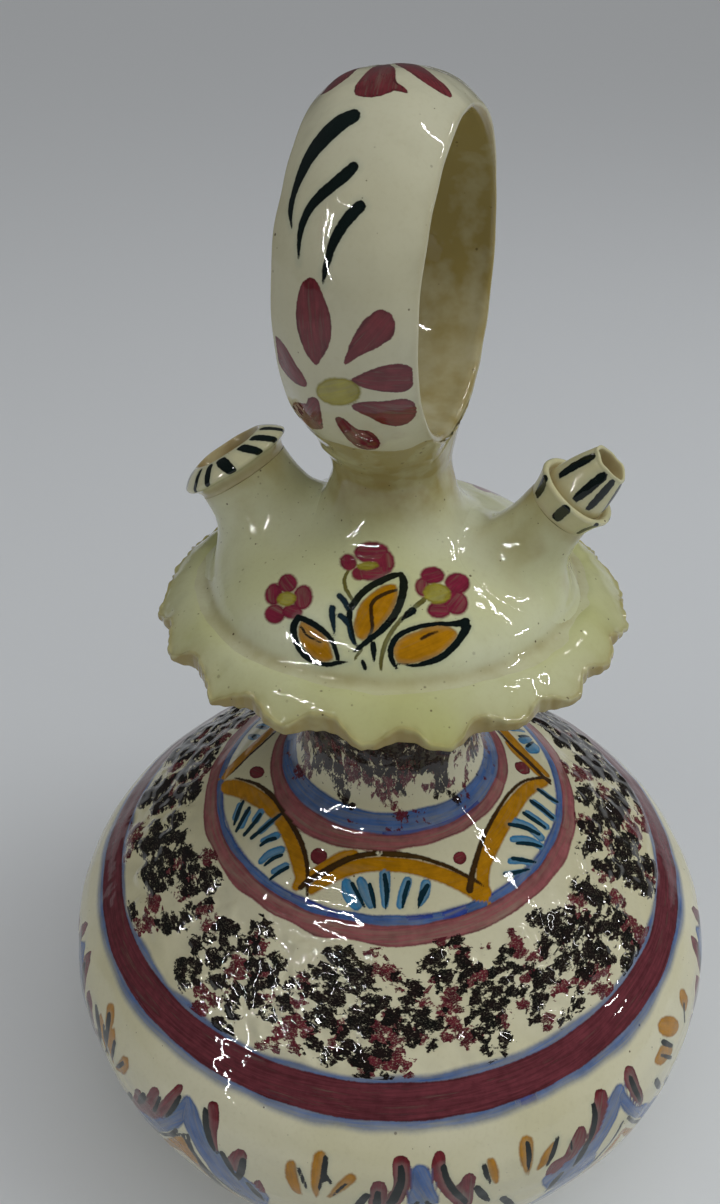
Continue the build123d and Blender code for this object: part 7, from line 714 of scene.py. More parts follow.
# ------------------------------------------------------------------ painting
def inside(U, V, pu, pv):
    """Signed distance to a polygon, positive inside."""
    best = np.full(U.shape, 1e9)
    odd = np.zeros(U.shape, bool)
    for k in range(len(pu)):
        ax, ay, bx, by = pu[k - 1], pv[k - 1], pu[k], pv[k]
        ex, ey = bx - ax, by - ay
        L = ex * ex + ey * ey
        if L < 1e-12:
            continue
        wx, wy = U - ax, V - ay
        t = np.clip((wx * ex + wy * ey) / L, 0, 1)
        best = np.minimum(best, (wx - ex * t) ** 2 + (wy - ey * t) ** 2)
        if ay != by:
            odd ^= ((ay > V) != (by > V)) & (U < ax + (V - ay) * ex / ey)
    d = np.sqrt(best)
    return np.where(odd, d, -d)


class Paint:
    """Layers of brush strokes on a piece. Each vertex gets, for each layer, the colour of the nearest stroke, its depth
    inside that stroke in mm, its place across and along the stroke, and how well the stroke covers."""

    FAR = -4.0

    def __init__(self, phi, s, r, layers=3):
        self.phi, self.s, self.r = (np.asarray(a, float).ravel() for a in (phi, s, r))
        self.ok = self.s > -50
        n = len(self.phi)
        self.d = [np.full(n, self.FAR) for _ in range(layers)]
        self.c = [np.tile(np.array(lin(200, 190, 150)), (n, 1)) for _ in range(layers)]
        self.b = [np.zeros((n, 3)) for _ in range(layers)]
        self.k = [np.tile((1.0, 0.12, 0.0), (n, 1)) for _ in range(layers)]
        self.count = 0

    def put(self, layer, col, d, sel, across, along, cover=None):
        m = (d > self.d[layer][sel]) & self.ok[sel]
        at = sel[m]
        self.d[layer][at] = d[m]
        self.c[layer][at] = INK[col]
        self.count += 1
        self.b[layer][at] = np.stack([across[m], along[m], np.full(len(at), self.count * 3.7)], -1)
        self.k[layer][at] = cover or COVER[col]

    def field(self, phi, s, r, margin=2.6):
        """Vertices near an outline, with their place in the outline's own plane."""
        phi, s, r = (np.asarray(a, float) for a in (phi, s, r))
        a = np.radians(phi)
        p0 = math.degrees(math.atan2(np.sin(a).mean(), np.cos(a).mean()))
        u = np.radians(wrap(phi - p0)) * r
        dv = np.radians(wrap(self.phi - p0)) * self.r
        sel = np.nonzero(self.ok & (dv > u.min() - margin) & (dv < u.max() + margin)
                         & (self.s > s.min() - margin) & (self.s < s.max() + margin))[0]
        return sel, dv[sel], self.s[sel], u, s

    def outline(self, layer, col, phi, s, r, margin=2.6, grow=0.0, cover=None):
        sel, U, V, u, v = self.field(phi, s, r, margin)
        if not len(sel):
            return
        d = inside(U, V, u, v) + grow
        # the long way of the stroke
        gap = np.hypot(u[:, None] - u[None], v[:, None] - v[None])
        i, j = np.unravel_index(np.argmax(gap), gap.shape)
        L = gap[i, j] + 1e-9
        tx, ty = (u[j] - u[i]) / L, (v[j] - v[i]) / L
        U, V = U - u[i], V - v[i]
        self.put(layer, col, d, sel, -U * ty + V * tx, U * tx + V * ty, cover)

    def band(self, layer, col, s0, s1, seed, rough0=0.25, rough1=0.25, lo=9, hi=40, cover=None):
        """A line painted round the piece between s0 and s1, with uneven edges."""
        a = np.radians(self.phi)
        ring = np.stack([np.cos(a) * self.r, np.sin(a) * self.r, 0 * self.r], -1)
        e0 = waves(seed, lo, hi)(ring) * rough0 * 0.6
        e1 = waves(seed + 1, lo, hi)(ring) * rough1 * 0.6
        drift = waves(seed + 2, 30, 90)(ring) * 0.35
        d = np.minimum(self.s - s0 + e0, s1 - self.s + e1)
        self.put(layer, col, d, np.arange(len(a)), self.s - s0 + drift, a * self.r, cover)

    def attach(self, o):
        for i in range(len(self.d)):
            floats(o, **{f"d{i}": self.d[i], f"c{i}": self.c[i], f"b{i}": self.b[i], f"k{i}": self.k[i]})


def pairs(t, n=2):
    return np.asarray(t, float).reshape(-1, n)


# ------------------------------------------------------------------ materials
class Net:
    def __init__(self, name):
        self.mat = bpy.data.materials.new(name)
        self.mat.use_nodes = True
        self.t = self.mat.node_tree
        self.t.nodes.clear()
        self.out = self.node("ShaderNodeOutputMaterial")
        self.bsdf = self.node("ShaderNodeBsdfPrincipled")
        self.t.links.new(self.bsdf.outputs[0], self.out.inputs[0])

    def node(self, kind, **props):
        n = self.t.nodes.new(kind)
        for k, v in props.items():
            setattr(n, k, v)
        return n

    def feed(self, sock, v):
        if isinstance(v, bpy.types.NodeSocket):
            self.t.links.new(v, sock)
        elif isinstance(v, (tuple, list)) and len(v) == 3 and sock.type == "RGBA":
            sock.default_value = (*v, 1)
        else:
            sock.default_value = v

    def math(self, op, a, b=0.0, c=0.0, clamp=False):
        n = self.node("ShaderNodeMath", operation=op, use_clamp=clamp)
        for s, v in zip(n.inputs, (a, b, c)):
            self.feed(s, v)
        return n.outputs[0]

    def mix(self, f, a, b, blend="MIX"):
        n = self.node("ShaderNodeMix", data_type="RGBA", blend_type=blend)
        n.clamp_factor = True
        self.feed(n.inputs[0], f)
        self.feed(n.inputs[6], a)
        self.feed(n.inputs[7], b)
        return n.outputs[2]

    def step(self, x, a, b, lo=0.0, hi=1.0):
        n = self.node("ShaderNodeMapRange", interpolation_type="SMOOTHSTEP")
        for s, v in zip(n.inputs, (x, a, b, lo, hi)):
            self.feed(s, v)
        return n.outputs[0]

    def noise(self, vec, scale, detail=2.0, rough=0.5, distortion=0.0):
        n = self.node("ShaderNodeTexNoise", noise_dimensions="3D")
        self.feed(n.inputs["Vector"], vec)
        n.inputs["Scale"].default_value = scale
        n.inputs["Detail"].default_value = detail
        n.inputs["Roughness"].default_value = rough
        n.inputs["Distortion"].default_value = distortion
        return n.outputs["Fac"]

    def attr(self, name, out="Fac"):
        n = self.node("ShaderNodeAttribute", attribute_type="GEOMETRY", attribute_name=name)
        return n.outputs[out]

    def scaled(self, vec, x, y=None, z=None, offset=(0, 0, 0)):
        n = self.node("ShaderNodeMapping", vector_type="POINT")
        self.feed(n.inputs["Vector"], vec)
        n.inputs["Scale"].default_value = (x, x if y is None else y, x if z is None else z)
        n.inputs["Location"].default_value = offset
        return n.outputs[0]

    def tint(self, col, f):
        """col times a grey factor."""
        n = self.node("ShaderNodeVectorMath", operation="SCALE")
        self.feed(n.inputs[0], col)
        self.feed(n.inputs["Scale"], f)
        return n.outputs[0]


def glaze(name, layers=3, sponge=None, cream=(0.74, 0.705, 0.51), cream2=(0.68, 0.64, 0.42), warm=(0.42, 0.33, 0.115), gloss=0.024, ripple=0.0, specks=(),
          black=(lin(14, 14, 11), lin(32, 21, 19))):
    k = Net(name)
    tc = k.node("ShaderNodeTexCoord").outputs["Object"]
    P = k.scaled(tc, 1000.0)                       # millimetres
    big = k.noise(P, 0.022, 2, 0.5)
    mid = k.noise(k.scaled(tc, 1000.0, offset=(40, 9, 3)), 0.11, 3, 0.55)
    fine = k.noise(P, 0.85, 2, 0.5)
    col = k.mix(k.step(big, 0.34, 0.70), cream, cream2)
    col = k.mix(k.step(mid, 0.5, 0.85, 0, 0.35), col, tuple(0.86 * c for c in cream2))
    col = k.mix(k.step(fine, 0.45, 0.9, 0, 0.14), col, (0.44, 0.38, 0.19))
    # per-vertex mix towards a brown: real tint where the glaze runs thin and where it pools, and painted shade in
    # hollows, under the ring and inside openings
    w = k.attr("warm")
    wv = k.math("MULTIPLY", w, k.step(mid, 0.2, 0.8, 0.65, 1.35), clamp=True)
    col = k.mix(wv, col, warm)
    # iron pinholes in the glaze
    pins = None
    for sc, keep, big_r in ((0.12, 0.35, 0.062), (0.26, 0.60, 0.100), (0.48, 0.62, 0.100)) + tuple(specks):
        vo = k.node("ShaderNodeTexVoronoi", voronoi_dimensions="3D", feature="F1")
        k.feed(vo.inputs["Vector"], P)
        vo.inputs["Scale"].default_value = sc
        rnd = k.node("ShaderNodeSeparateColor")
        k.feed(rnd.inputs[0], vo.outputs["Color"])
        size = k.math("MULTIPLY", k.step(rnd.outputs[0], keep, 1.0), big_r)
        pin = k.step(vo.outputs["Distance"], k.math("MULTIPLY", size, 1.25), k.math("MULTIPLY", size, 0.5))
        pin = k.math("MULTIPLY", pin, k.step(rnd.outputs[1], 0.0, 1.0, 0.2, 0.9))
        col = k.mix(pin, col, lin(74, 50, 26))
        pins = pin if pins is None else k.math("MAXIMUM", pins, pin)
    edge = k.math("ADD", k.math("MULTIPLY", k.math("SUBTRACT", k.noise(P, 0.9, 2), 0.5), 0.40),
                  k.math("MULTIPLY", k.math("SUBTRACT", k.noise(P, 3.4, 2), 0.5), 0.18))
    body = k.noise(k.scaled(tc, 1000.0, offset=(7, 70, 20)), 0.30, 3, 0.6)
    for i in range(layers):
        d0 = k.attr(f"d{i}")
        c = k.attr(f"c{i}", "Vector")
        B = k.attr(f"b{i}", "Vector")
        kk = k.node("ShaderNodeSeparateXYZ")
        k.feed(kk.inputs[0], k.attr(f"k{i}", "Vector"))
        cover, soft_, streak = kk.outputs[0], kk.outputs[1], kk.outputs[2]
        hair = k.noise(k.scaled(B, 1.5, 0.085, 1.0), 1.0, 3, 0.62)         # the hairs of the brush
        hair2 = k.noise(k.scaled(B, 0.42, 0.05, 1.0, offset=(5, 3, 1)), 1.0, 2, 0.5)
        d = k.math("ADD", k.math("ADD", d0, edge), k.math("MULTIPLY", k.math("SUBTRACT", hair, 0.5), 0.35))
        sep = k.node("ShaderNodeSeparateXYZ")
        k.feed(sep.inputs[0], c)
        dark = k.step(sep.outputs[0], 0.05, 0.015)     # how dark the stroke is
        halo = k.math("MULTIPLY", k.step(d, -1.6, 0.2), k.math("MULTIPLY", dark, 0.22))
        col = k.mix(halo, col, (0.26, 0.34, 0.28))
        m = k.step(d, k.math("MULTIPLY", soft_, -1.0), soft_)
        rim = k.step(d, 0.9, 0.05)                     # colour gathers at the edge of a stroke
        thin = k.math("ADD", cover, k.math("MULTIPLY", k.math("MULTIPLY", k.math("SUBTRACT", hair, 0.54), streak), k.math("SUBTRACT", 1.25, k.math("MULTIPLY", cover, 0.7))))
        thin = k.math("ADD", thin, k.math("MULTIPLY", k.math("SUBTRACT", hair2, 0.5), k.math("SUBTRACT", 1.32, cover)))
        thin = k.math("ADD", thin, k.math("MULTIPLY", rim, 0.18))
        thin = k.math("MAXIMUM", k.math("MINIMUM", thin, 1.0), k.math("MULTIPLY", cover, 0.68))
        lum = k.math("ADD", k.math("ADD", 1.0, k.math("MULTIPLY", k.step(hair, 0.28, 0.72, -0.30, 0.26), streak)), k.math("MULTIPLY", rim, -0.22))
        lum = k.math("MULTIPLY", lum, k.step(body, 0.25, 0.75, 0.84, 1.16))
        col = k.mix(k.math("MULTIPLY", m, thin), col, k.tint(c, lum))
    if sponge:
        fine_, soft_, more = sponge
        L = k.attr("lie", "Vector")
        n1 = k.noise(k.scaled(L, 1.0, offset=(3, 1, 9)), 0.42 * fine_, 3, 0.62)
        n2 = k.noise(k.scaled(L, 1.0, offset=(31, 17, 2)), 0.42 * fine_, 3, 0.62)
        rag = k.noise(k.scaled(L, 1.0, offset=(9, 9, 9)), 1.15 * fine_, 3, 0.70)
        dry = k.noise(k.scaled(L, 1.0, offset=(19, 4, 7)), 2.2 * fine_, 2, 0.6)
        vo = k.node("ShaderNodeTexVoronoi", voronoi_dimensions="3D", feature="F1")      # every dab leaves flakes
        k.feed(vo.inputs["Vector"], L)
        vo.inputs["Scale"].default_value = 0.40 * fine_
        rnd = k.node("ShaderNodeSeparateColor")
        k.feed(rnd.inputs[0], vo.outputs["Color"])
        flake = k.math("ADD", vo.outputs["Distance"], k.math("MULTIPLY", k.math("SUBTRACT", rag, 0.5), 1.7))
        flake = k.step(flake, 0.86 + 0.04 * soft_, 0.82 - 0.06 * soft_)
        up = k.math("MULTIPLY", k.math("SUBTRACT", k.attr("raised"), 0.5), 0.55)
        for field, n_, pick, inks, thin in (("brg", n1, 0, (lin(108, 38, 48), lin(74, 26, 34)), 0.55), ("blk", n2, 1, black, 0.86)):
            b = k.math("ADD", k.math("MULTIPLY_ADD", k.attr(field), 0.80, more), k.math("MULTIPLY", k.math("SUBTRACT", rnd.outputs[pick], 0.5), 2.0))
            b = k.math("ADD", k.math("ADD", b, up), k.math("MULTIPLY", k.math("SUBTRACT", n_, 0.5), 5.0))
            b = k.math("ADD", b, k.math("MULTIPLY", k.math("SUBTRACT", rag, 0.5), 1.6))
            on = k.math("MULTIPLY", k.step(b, -0.16 * soft_, 0.22 * soft_), k.math("MAXIMUM", flake, k.step(b, 2.3, 3.3)))
            col = k.mix(k.math("MULTIPLY", on, k.step(dry, 0.24, 0.50, thin, 1.0)), col, k.mix(k.step(body, 0.3, 0.7), *inks))
    B = k.bsdf
    k.feed(B.inputs["Base Color"], col)
    k.feed(B.inputs["Roughness"], k.step(mid, 0.2, 0.8, gloss * 0.75, gloss * 1.5))
    B.inputs["IOR"].default_value = 1.52
    h = k.math("ADD", k.noise(P, 0.10, 2, 0.45), k.math("MULTIPLY", k.noise(P, 0.45, 2, 0.5), 0.08))
    h = k.math("ADD", h, k.math("MULTIPLY", pins, -0.10))
    if ripple:                                     # fine ridges left by the wheel and the banding brush
        h = k.math("ADD", h, k.math("MULTIPLY", k.noise(k.scaled(tc, 60.0, 60.0, 1000.0), 0.42, 2, 0.5), ripple))
    bp = k.node("ShaderNodeBump")
    bp.inputs["Strength"].default_value = 0.5
    bp.inputs["Distance"].default_value = 0.0008
    k.feed(bp.inputs["Height"], h)
    k.feed(B.inputs["Normal"], bp.outputs[0])
    return k.mat


def clay(name):
    k = Net(name)
    tc = k.node("ShaderNodeTexCoord").outputs["Object"]
    P = k.scaled(tc, 1000.0)
    a = k.noise(P, 0.05, 4, 0.6)
    g = k.noise(P, 1.6, 4, 0.7)
    col = k.mix(k.step(a, 0.3, 0.7), lin(196, 160, 118), lin(172, 132, 92))
    col = k.mix(k.step(g, 0.52, 0.72, 0, 0.5), col, lin(140, 102, 70))
    k.feed(k.bsdf.inputs["Base Color"], col)
    k.feed(k.bsdf.inputs["Roughness"], k.step(g, 0.2, 0.8, 0.72, 0.95))
    bp = k.node("ShaderNodeBump")
    bp.inputs["Strength"].default_value = 0.5
    bp.inputs["Distance"].default_value = 0.0004
    k.feed(bp.inputs["Height"], g)
    k.feed(k.bsdf.inputs["Normal"], bp.outputs[0])
    return k.mat


PAINTED = glaze("painted_glaze", cream=(0.67, 0.65, 0.475), cream2=(0.61, 0.58, 0.40), warm=(0.345, 0.268, 0.09))
RELIEF = glaze("relief_glaze", sponge=(1.0, 1.0, 0.55), ripple=0.05)
NECKED = glaze("neck_glaze", sponge=(0.62, 1.3, 0.45), black=(lin(20, 14, 9), lin(42, 25, 19)))
BELLIED = glaze("belly_glaze", ripple=0.04)
SPECKS = ((0.21, 0.25, 0.115), (0.37, 0.30, 0.140))
BRIM = glaze("brim_glaze", layers=0, specks=SPECKS, cream=(0.65, 0.66, 0.40), cream2=(0.55, 0.56, 0.22), warm=(0.34, 0.26, 0.08))
DOMED = glaze("dome_glaze", specks=SPECKS, warm=(0.355, 0.285, 0.10), cream=(0.72, 0.735, 0.52), cream2=(0.66, 0.67, 0.37), ripple=0.06)
CLAY = clay("bare_clay")


def lie(P_phi, s, r, stretch=2.3):
    """Places along the wheel's turn, drawn out sideways, for brush marks."""
    a = np.radians(P_phi)
    return np.stack([np.cos(a) * r / stretch, np.sin(a) * r / stretch, np.asarray(s, float)], -1).reshape(-1, 3)


def finish_piece(o, node, mat):
    o.data.materials.clear()
    o.data.materials.append(mat)
    o.data.polygons.foreach_set("material_index", np.zeros(len(o.data.polygons), np.int32))
    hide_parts(node)
    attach(o, "root")
    return o


def grad(f, X):
    return np.stack([(f(X + e) - f(X - e)) / 0.1 for e in 0.05 * np.eye(3)], -1)


def skirt(P, fa, fb, k, rows, tuck=0.25):
    """Rows that carry the skin of body a from P, which lies k away from body b, over a soft fillet onto b, and end just
    under b's skin. fa and fb give distances in mm, negative inside."""
    def go(P, ta, tb):
        for _ in range(7):
            ga, gb = grad(fa, P), grad(fb, P)
            ea, eb = ta - fa(P), tb - fb(P)
            aa, bb, ab = (ga * ga).sum(1) + 0.02, (gb * gb).sum(1) + 0.02, (ga * gb).sum(1)
            D = np.maximum(aa * bb - ab * ab, 0.06)
            st = ((ea * bb - eb * ab) / D)[:, None] * ga + ((eb * aa - ea * ab) / D)[:, None] * gb
            P = P + st * np.minimum(1, 1.2 / (np.linalg.norm(st, axis=1) + 1e-9))[:, None]
        return P

    out = []
    for u in np.linspace(-1, 1, rows):
        h = 1 - abs(u)
        P = go(P, h * h * k / 4 + max(u, 0) * k, h * h * k / 4 + max(-u, 0) * k)
        out.append(P)
    for w in (0.5, 1.0):
        P = go(P, k + 0.9 * w, 0 * k - tuck * w)
        out.append(P)
    return np.array(out)


# ------------------------------------------------------------------ profiles (mm)
BELLY_OUT = [(69, 7), (76, 11.9), (86, 20), (95, 30.2), (101.6, 41.3), (105.9, 51.1), (108.7, 60.9), (110, 70.8),
             (109.6, 80.6), (106.6, 90.4), (98.3, 100.3)]
SHOULDER_OUT = [(98.3, 100.3), (89.6, 107.3), (80.2, 114.1), (69.5, 121.4), (58, 129), (46, 136.6), (34.7, 143.3)]
NECK_OUT = [(34.7, 143.3), (30.6, 147.2), (28.2, 153.5), (27.4, 164), (28.2, 177.5), (32, 189.5), (39, 199.8), (47, 207)]
NECK_IN = [(40, 207), (32.6, 201.2), (26, 191.5), (22.4, 178.5), (21.6, 164), (22, 152), (22.6, 143.3)]
DOME_OUT = [(56.4, 212.45), (54.6, 212.72), (53.0, 213.3), (51.8, 214.5), (50.45, 216.9), (47.8, 220), (43.5, 223.2), (38.5, 226), (32.5, 228.6), (26.5, 231)]
STEM_OUT = [(26.5, 231), (22.4, 233.8), (19.3, 237.6), (17.6, 242), (17, 247), (18.6, 252.6), (22.6, 258)]
DOME_IN = [(8, 231), (8, 226.2), (20, 225.6), (30, 223.8), (37, 221), (42, 218.2), (45.2, 215.6), (46.6, 213.2)]
RING_Z = 297.4
FILLER_O, FILLER_EL = (-48.95, 0, 244.7), 57
SPOUT_O, SPOUT_EL = (46.9, 0, 240.6), 55
FILLER_A = (-math.cos(math.radians(FILLER_EL)), 0, math.sin(math.radians(FILLER_EL)))
SPOUT_A = (math.cos(math.radians(SPOUT_EL)), 0, math.sin(math.radians(SPOUT_EL)))

BODY = Curve(cubic(BELLY_OUT + SHOULDER_OUT[1:] + NECK_OUT[1:], 6000))
S_SEAM = BODY.near((98.3, 100.3))
S_NECK = BODY.near((34.7, 143.3))
S_END = BODY.s[-1]
UP = Curve(cubic(DOME_OUT + STEM_OUT[1:], 4000))
S_STEM = UP.near((26.5, 231))
CORE = np.vstack([UP.X[::24], [(17.0, 300), (0, 300), (0, 200), (67.6, 200), (67.6, 205.2), (63.2, 209.2), (60.6, 211.2), (58.6, 212.3)]])   # brim, dome and stem as one turned body


NET = 0.25
net_r, net_z = np.meshgrid(np.arange(0, 80, NET), np.arange(198, 304, NET), indexing="ij")
CORE_D = -inside(net_r.ravel(), net_z.ravel(), CORE[:, 0], CORE[:, 1]).reshape(net_r.shape)


def core_d(p):
    """Distance outside dome and stem, read from a fine net."""
    u = np.clip(np.hypot(p[:, 0], p[:, 1]) / NET, 0, CORE_D.shape[0] - 1.001)
    v = np.clip((p[:, 2] - 198) / NET, 0, CORE_D.shape[1] - 1.001)
    i, j = u.astype(int), v.astype(int)
    a, b = u - i, v - j
    d = (CORE_D[i, j] * (1 - a) + CORE_D[i + 1, j] * a) * (1 - b) + (CORE_D[i, j + 1] * (1 - a) + CORE_D[i + 1, j + 1] * a) * b
    return d - up_uneven(p)


def up_uneven(p):
    return 0.12 * soft(p) + 0.07 * soft2(p) - 0.16


def body_s_r(r):
    """Arc length on the shoulder and lower neck at radius r."""
    m = (BODY.s >= S_SEAM - 12) & (BODY.s <= S_NECK + 14)
    return np.interp(-np.asarray(r, float), -BODY.X[m, 0], BODY.s[m])


def inset(rows, d):
    return BODY.at(rows) - BODY.normal(rows) * d


soft = waves(3, 24, 60)
soft2 = waves(4, 10, 22)


def body_push(PH, S, rr, co):
    z = co[..., 2]
    d = 0.16 * soft(co) + 0.05 * soft2(co) - 0.36
    d += 0.05 * np.sin(S * TAU / 7.3 + 0.9 * soft2(co * 0.4)) * sstep(z, 20, 60)   # faint throwing rings
    fade = np.minimum(sstep(S, 0, 12), sstep(S_END - S, 0, 6))
    return d * fade


# ------------------------------------------------------------------ belly
def ornament_belly():
    """The traced parts, then the same garland repeated round the unseen sides."""
    out = []
    for col, layer, t in PAINT["belly"]:
        p = pairs(t)
        out.append((col, layer, p[:, 0], p[:, 1]))
    pitch = 36.0

    def stroke(pts):
        """Outline of a brush stroke: (degrees, height, width mm)."""
        q = np.asarray(pts, float)
        t = np.linspace(0, len(q) - 1, 6 * len(q))
        x = np.stack([np.interp(t, np.arange(len(q)), q[:, i]) for i in range(3)], -1)
        for _ in range(3):
            x[1:-1] = (x[:-2] + 2 * x[1:-1] + x[2:]) / 4
        u = np.radians(x[:, 0]) * 106
        T = np.gradient(np.stack([u, x[:, 1]], -1), axis=0)
        T /= np.linalg.norm(T, axis=1)[:, None] + 1e-9
        n = np.stack([-T[:, 1], T[:, 0]], -1) * x[:, 2:] / 2
        a = np.stack([u, x[:, 1]], -1)
        tip = a[-1] + T[-1] * x[-1, 2] / 2
        tail = a[0] - T[0] * x[0, 2] / 2
        o = np.vstack([a + n, tip[None], (a - n)[::-1], tail[None]])
        return np.degrees(o[:, 0] / 106), o[:, 1]

    petals = [(3.4, 5.2, 92.0, 78.0, 6.0), (8.2, 10.2, 84.5, 70.0, 6.4), (12.4, 14.6, 75.5, 61.5, 6.4)]
    unit = []
    for sg in (-1, 1):
        unit.append(("blu", 0, [(0.0, 90.5, 3.0), (sg * 1.4, 86, 6.4), (sg * 3.6, 78, 7.4), (sg * 7.0, 69, 8.0), (sg * 11.0, 60.5, 8.2), (sg * 18.4, 52.5, 8.2)]))
        unit.append(("dk", 1, [(sg * 0.6, 79, 1.2), (sg * 2.6, 72, 1.4), (sg * 6.2, 63.5, 1.4), (sg * 10.6, 55.6, 1.3), (sg * 18.2, 47.4, 1.2)]))
        unit.append(("och", 0, [(sg * 0.2, 73, 2.0), (sg * 2.0, 67, 3.0), (sg * 5.6, 58.5, 3.2), (sg * 10.4, 50.2, 3.2), (sg * 18.2, 42.2, 3.0)]))
        for a, b, z0, z1, w in petals:
            unit.append(("bur", 0, [(sg * a, z0, w * 0.8), (sg * (a * 0.6 + b * 0.4), z0 * 0.6 + z1 * 0.4, w), (sg * (a * 0.1 + b * 0.9), z1 + 3, w * 0.62), (sg * b, z1, 1.4)]))
            unit.append(("dk", 1, [(sg * (a - 0.3), z0 - 3, 2.0), (sg * (a * 0.5 + b * 0.5 - 0.3), (z0 + z1) / 2, 2.6), (sg * (b - 0.2), z1 + 3, 1.0)]))
    group = [("och", 0, [(20.0, 88.5, 4.4), (19.6, 83, 4.8), (20.4, 77.5, 1.0)]), ("dk", 1, [(20.8, 87, 1.6), (20.4, 81.5, 1.8), (20.2, 77.5, 0.6)]),
             ("och", 0, [(15.4, 85.8, 4.0), (16.4, 81, 4.4), (18.6, 76.5, 1.0)]), ("dk", 1, [(16.6, 85.2, 1.3), (17.6, 80.6, 1.5), (19.0, 76.8, 0.6)]),
             ("och", 0, [(24.6, 86, 4.0), (23.4, 81, 4.2), (21.6, 76.8, 1.0)]), ("dk", 1, [(24.0, 84.6, 1.2), (22.8, 80, 1.4), (21.4, 77, 0.6)])]
    rnd = np.random.default_rng(11)
    peaks = [-105.7, -67.7, -33.4]
    unseen = [-33.4 + k * (254.3 + 33.4) / 8 for k in range(1, 8)]
    for i, p in enumerate(peaks + unseen):
        jig = rnd.normal(0, 0.35, 2)
        seen = i < 3
        for col, layer, q in unit:
            if seen and not (col in ("blu", "dk", "och") and max(z for _, z, _ in q) < 82) and not (col == "blu"):
                continue
            if seen and col == "blu":
                q = [v for v in q if v[1] < 74]
            a, z = stroke([(x + jig[0], y + jig[1] * 0.6, w * rnd.uniform(0.9, 1.1)) for x, y, w in q])
            out.append((col, layer, a + p, z))
        if not seen and i < 9 or i == 9:
            for col, layer, q in group:
                a, z = stroke([(x + rnd.normal(0, 0.15), y + rnd.normal(0, 0.3), w) for x, y, w in q])
                out.append((col, layer, a + p - 2.0, z))
    return out


rows = steps((0, 2.2), (BODY.s_of_z(40), 1.1), (BODY.s_of_z(62), 0.72), (S_SEAM, 1))
inner = np.vstack([[(89.5, 100.3)], inset(np.linspace(S_SEAM - 4, 14, 14), 6), [(74.5, 19.2), (64, 13.5), (64, 7)]])
co, PH, S, RR = turned(BODY, rows, inner, 700, body_push)
belly = grid_object("belly_wall", co, (0, len(rows) - 1, len(rows), len(co) - 1))
wash = (0.86, 1.7, 0.8)
pt = Paint(PH, S, RR)
for col, layer, a, z in ornament_belly():
    s = BODY.s_of_z(np.clip(z, 8, 100.2))
    pt.outline(layer, "pet" if col == "bur" else col, a, s, BODY.at(s)[:, 0])
pt.band(0, "blu", body_s_r(100.35), S_SEAM + 3, 21, 0.6, 0.1, 12, 60, cover=wash)
pt.band(0, "dpb", body_s_r(100.1) + 3 * sstep(np.abs(wrap(pt.phi + 66)), 14, 40), S_SEAM + 3, 24, 0.4, 0.1, 12, 60, cover=wash)
pt.band(1, "bur", body_s_r(98.75), S_SEAM + 3, 22, 0.2, 0.1)
pt.band(2, "blu", BODY.s_of_z(23.5), BODY.s_of_z(27.0), 23, 0.3, 0.3)
pt.band(2, "bur", BODY.s_of_z(27.6), BODY.s_of_z(29.4), 25, 0.3, 0.3)
pt.attach(belly)
low = sstep(BODY.s_of_z(17) - S.ravel(), 0, 8)
floats(belly, warm=np.where(S.ravel() < -50, 0.1, 0.75 * low))
finish_piece(belly, "belly", BELLIED)


# ------------------------------------------------------------------ shoulder
R_IN, R_OUT = 63.0, 90.4      # the pressed relief lies between these radii
FLOWERS = [-25.7 + 40 * k for k in range(9)]
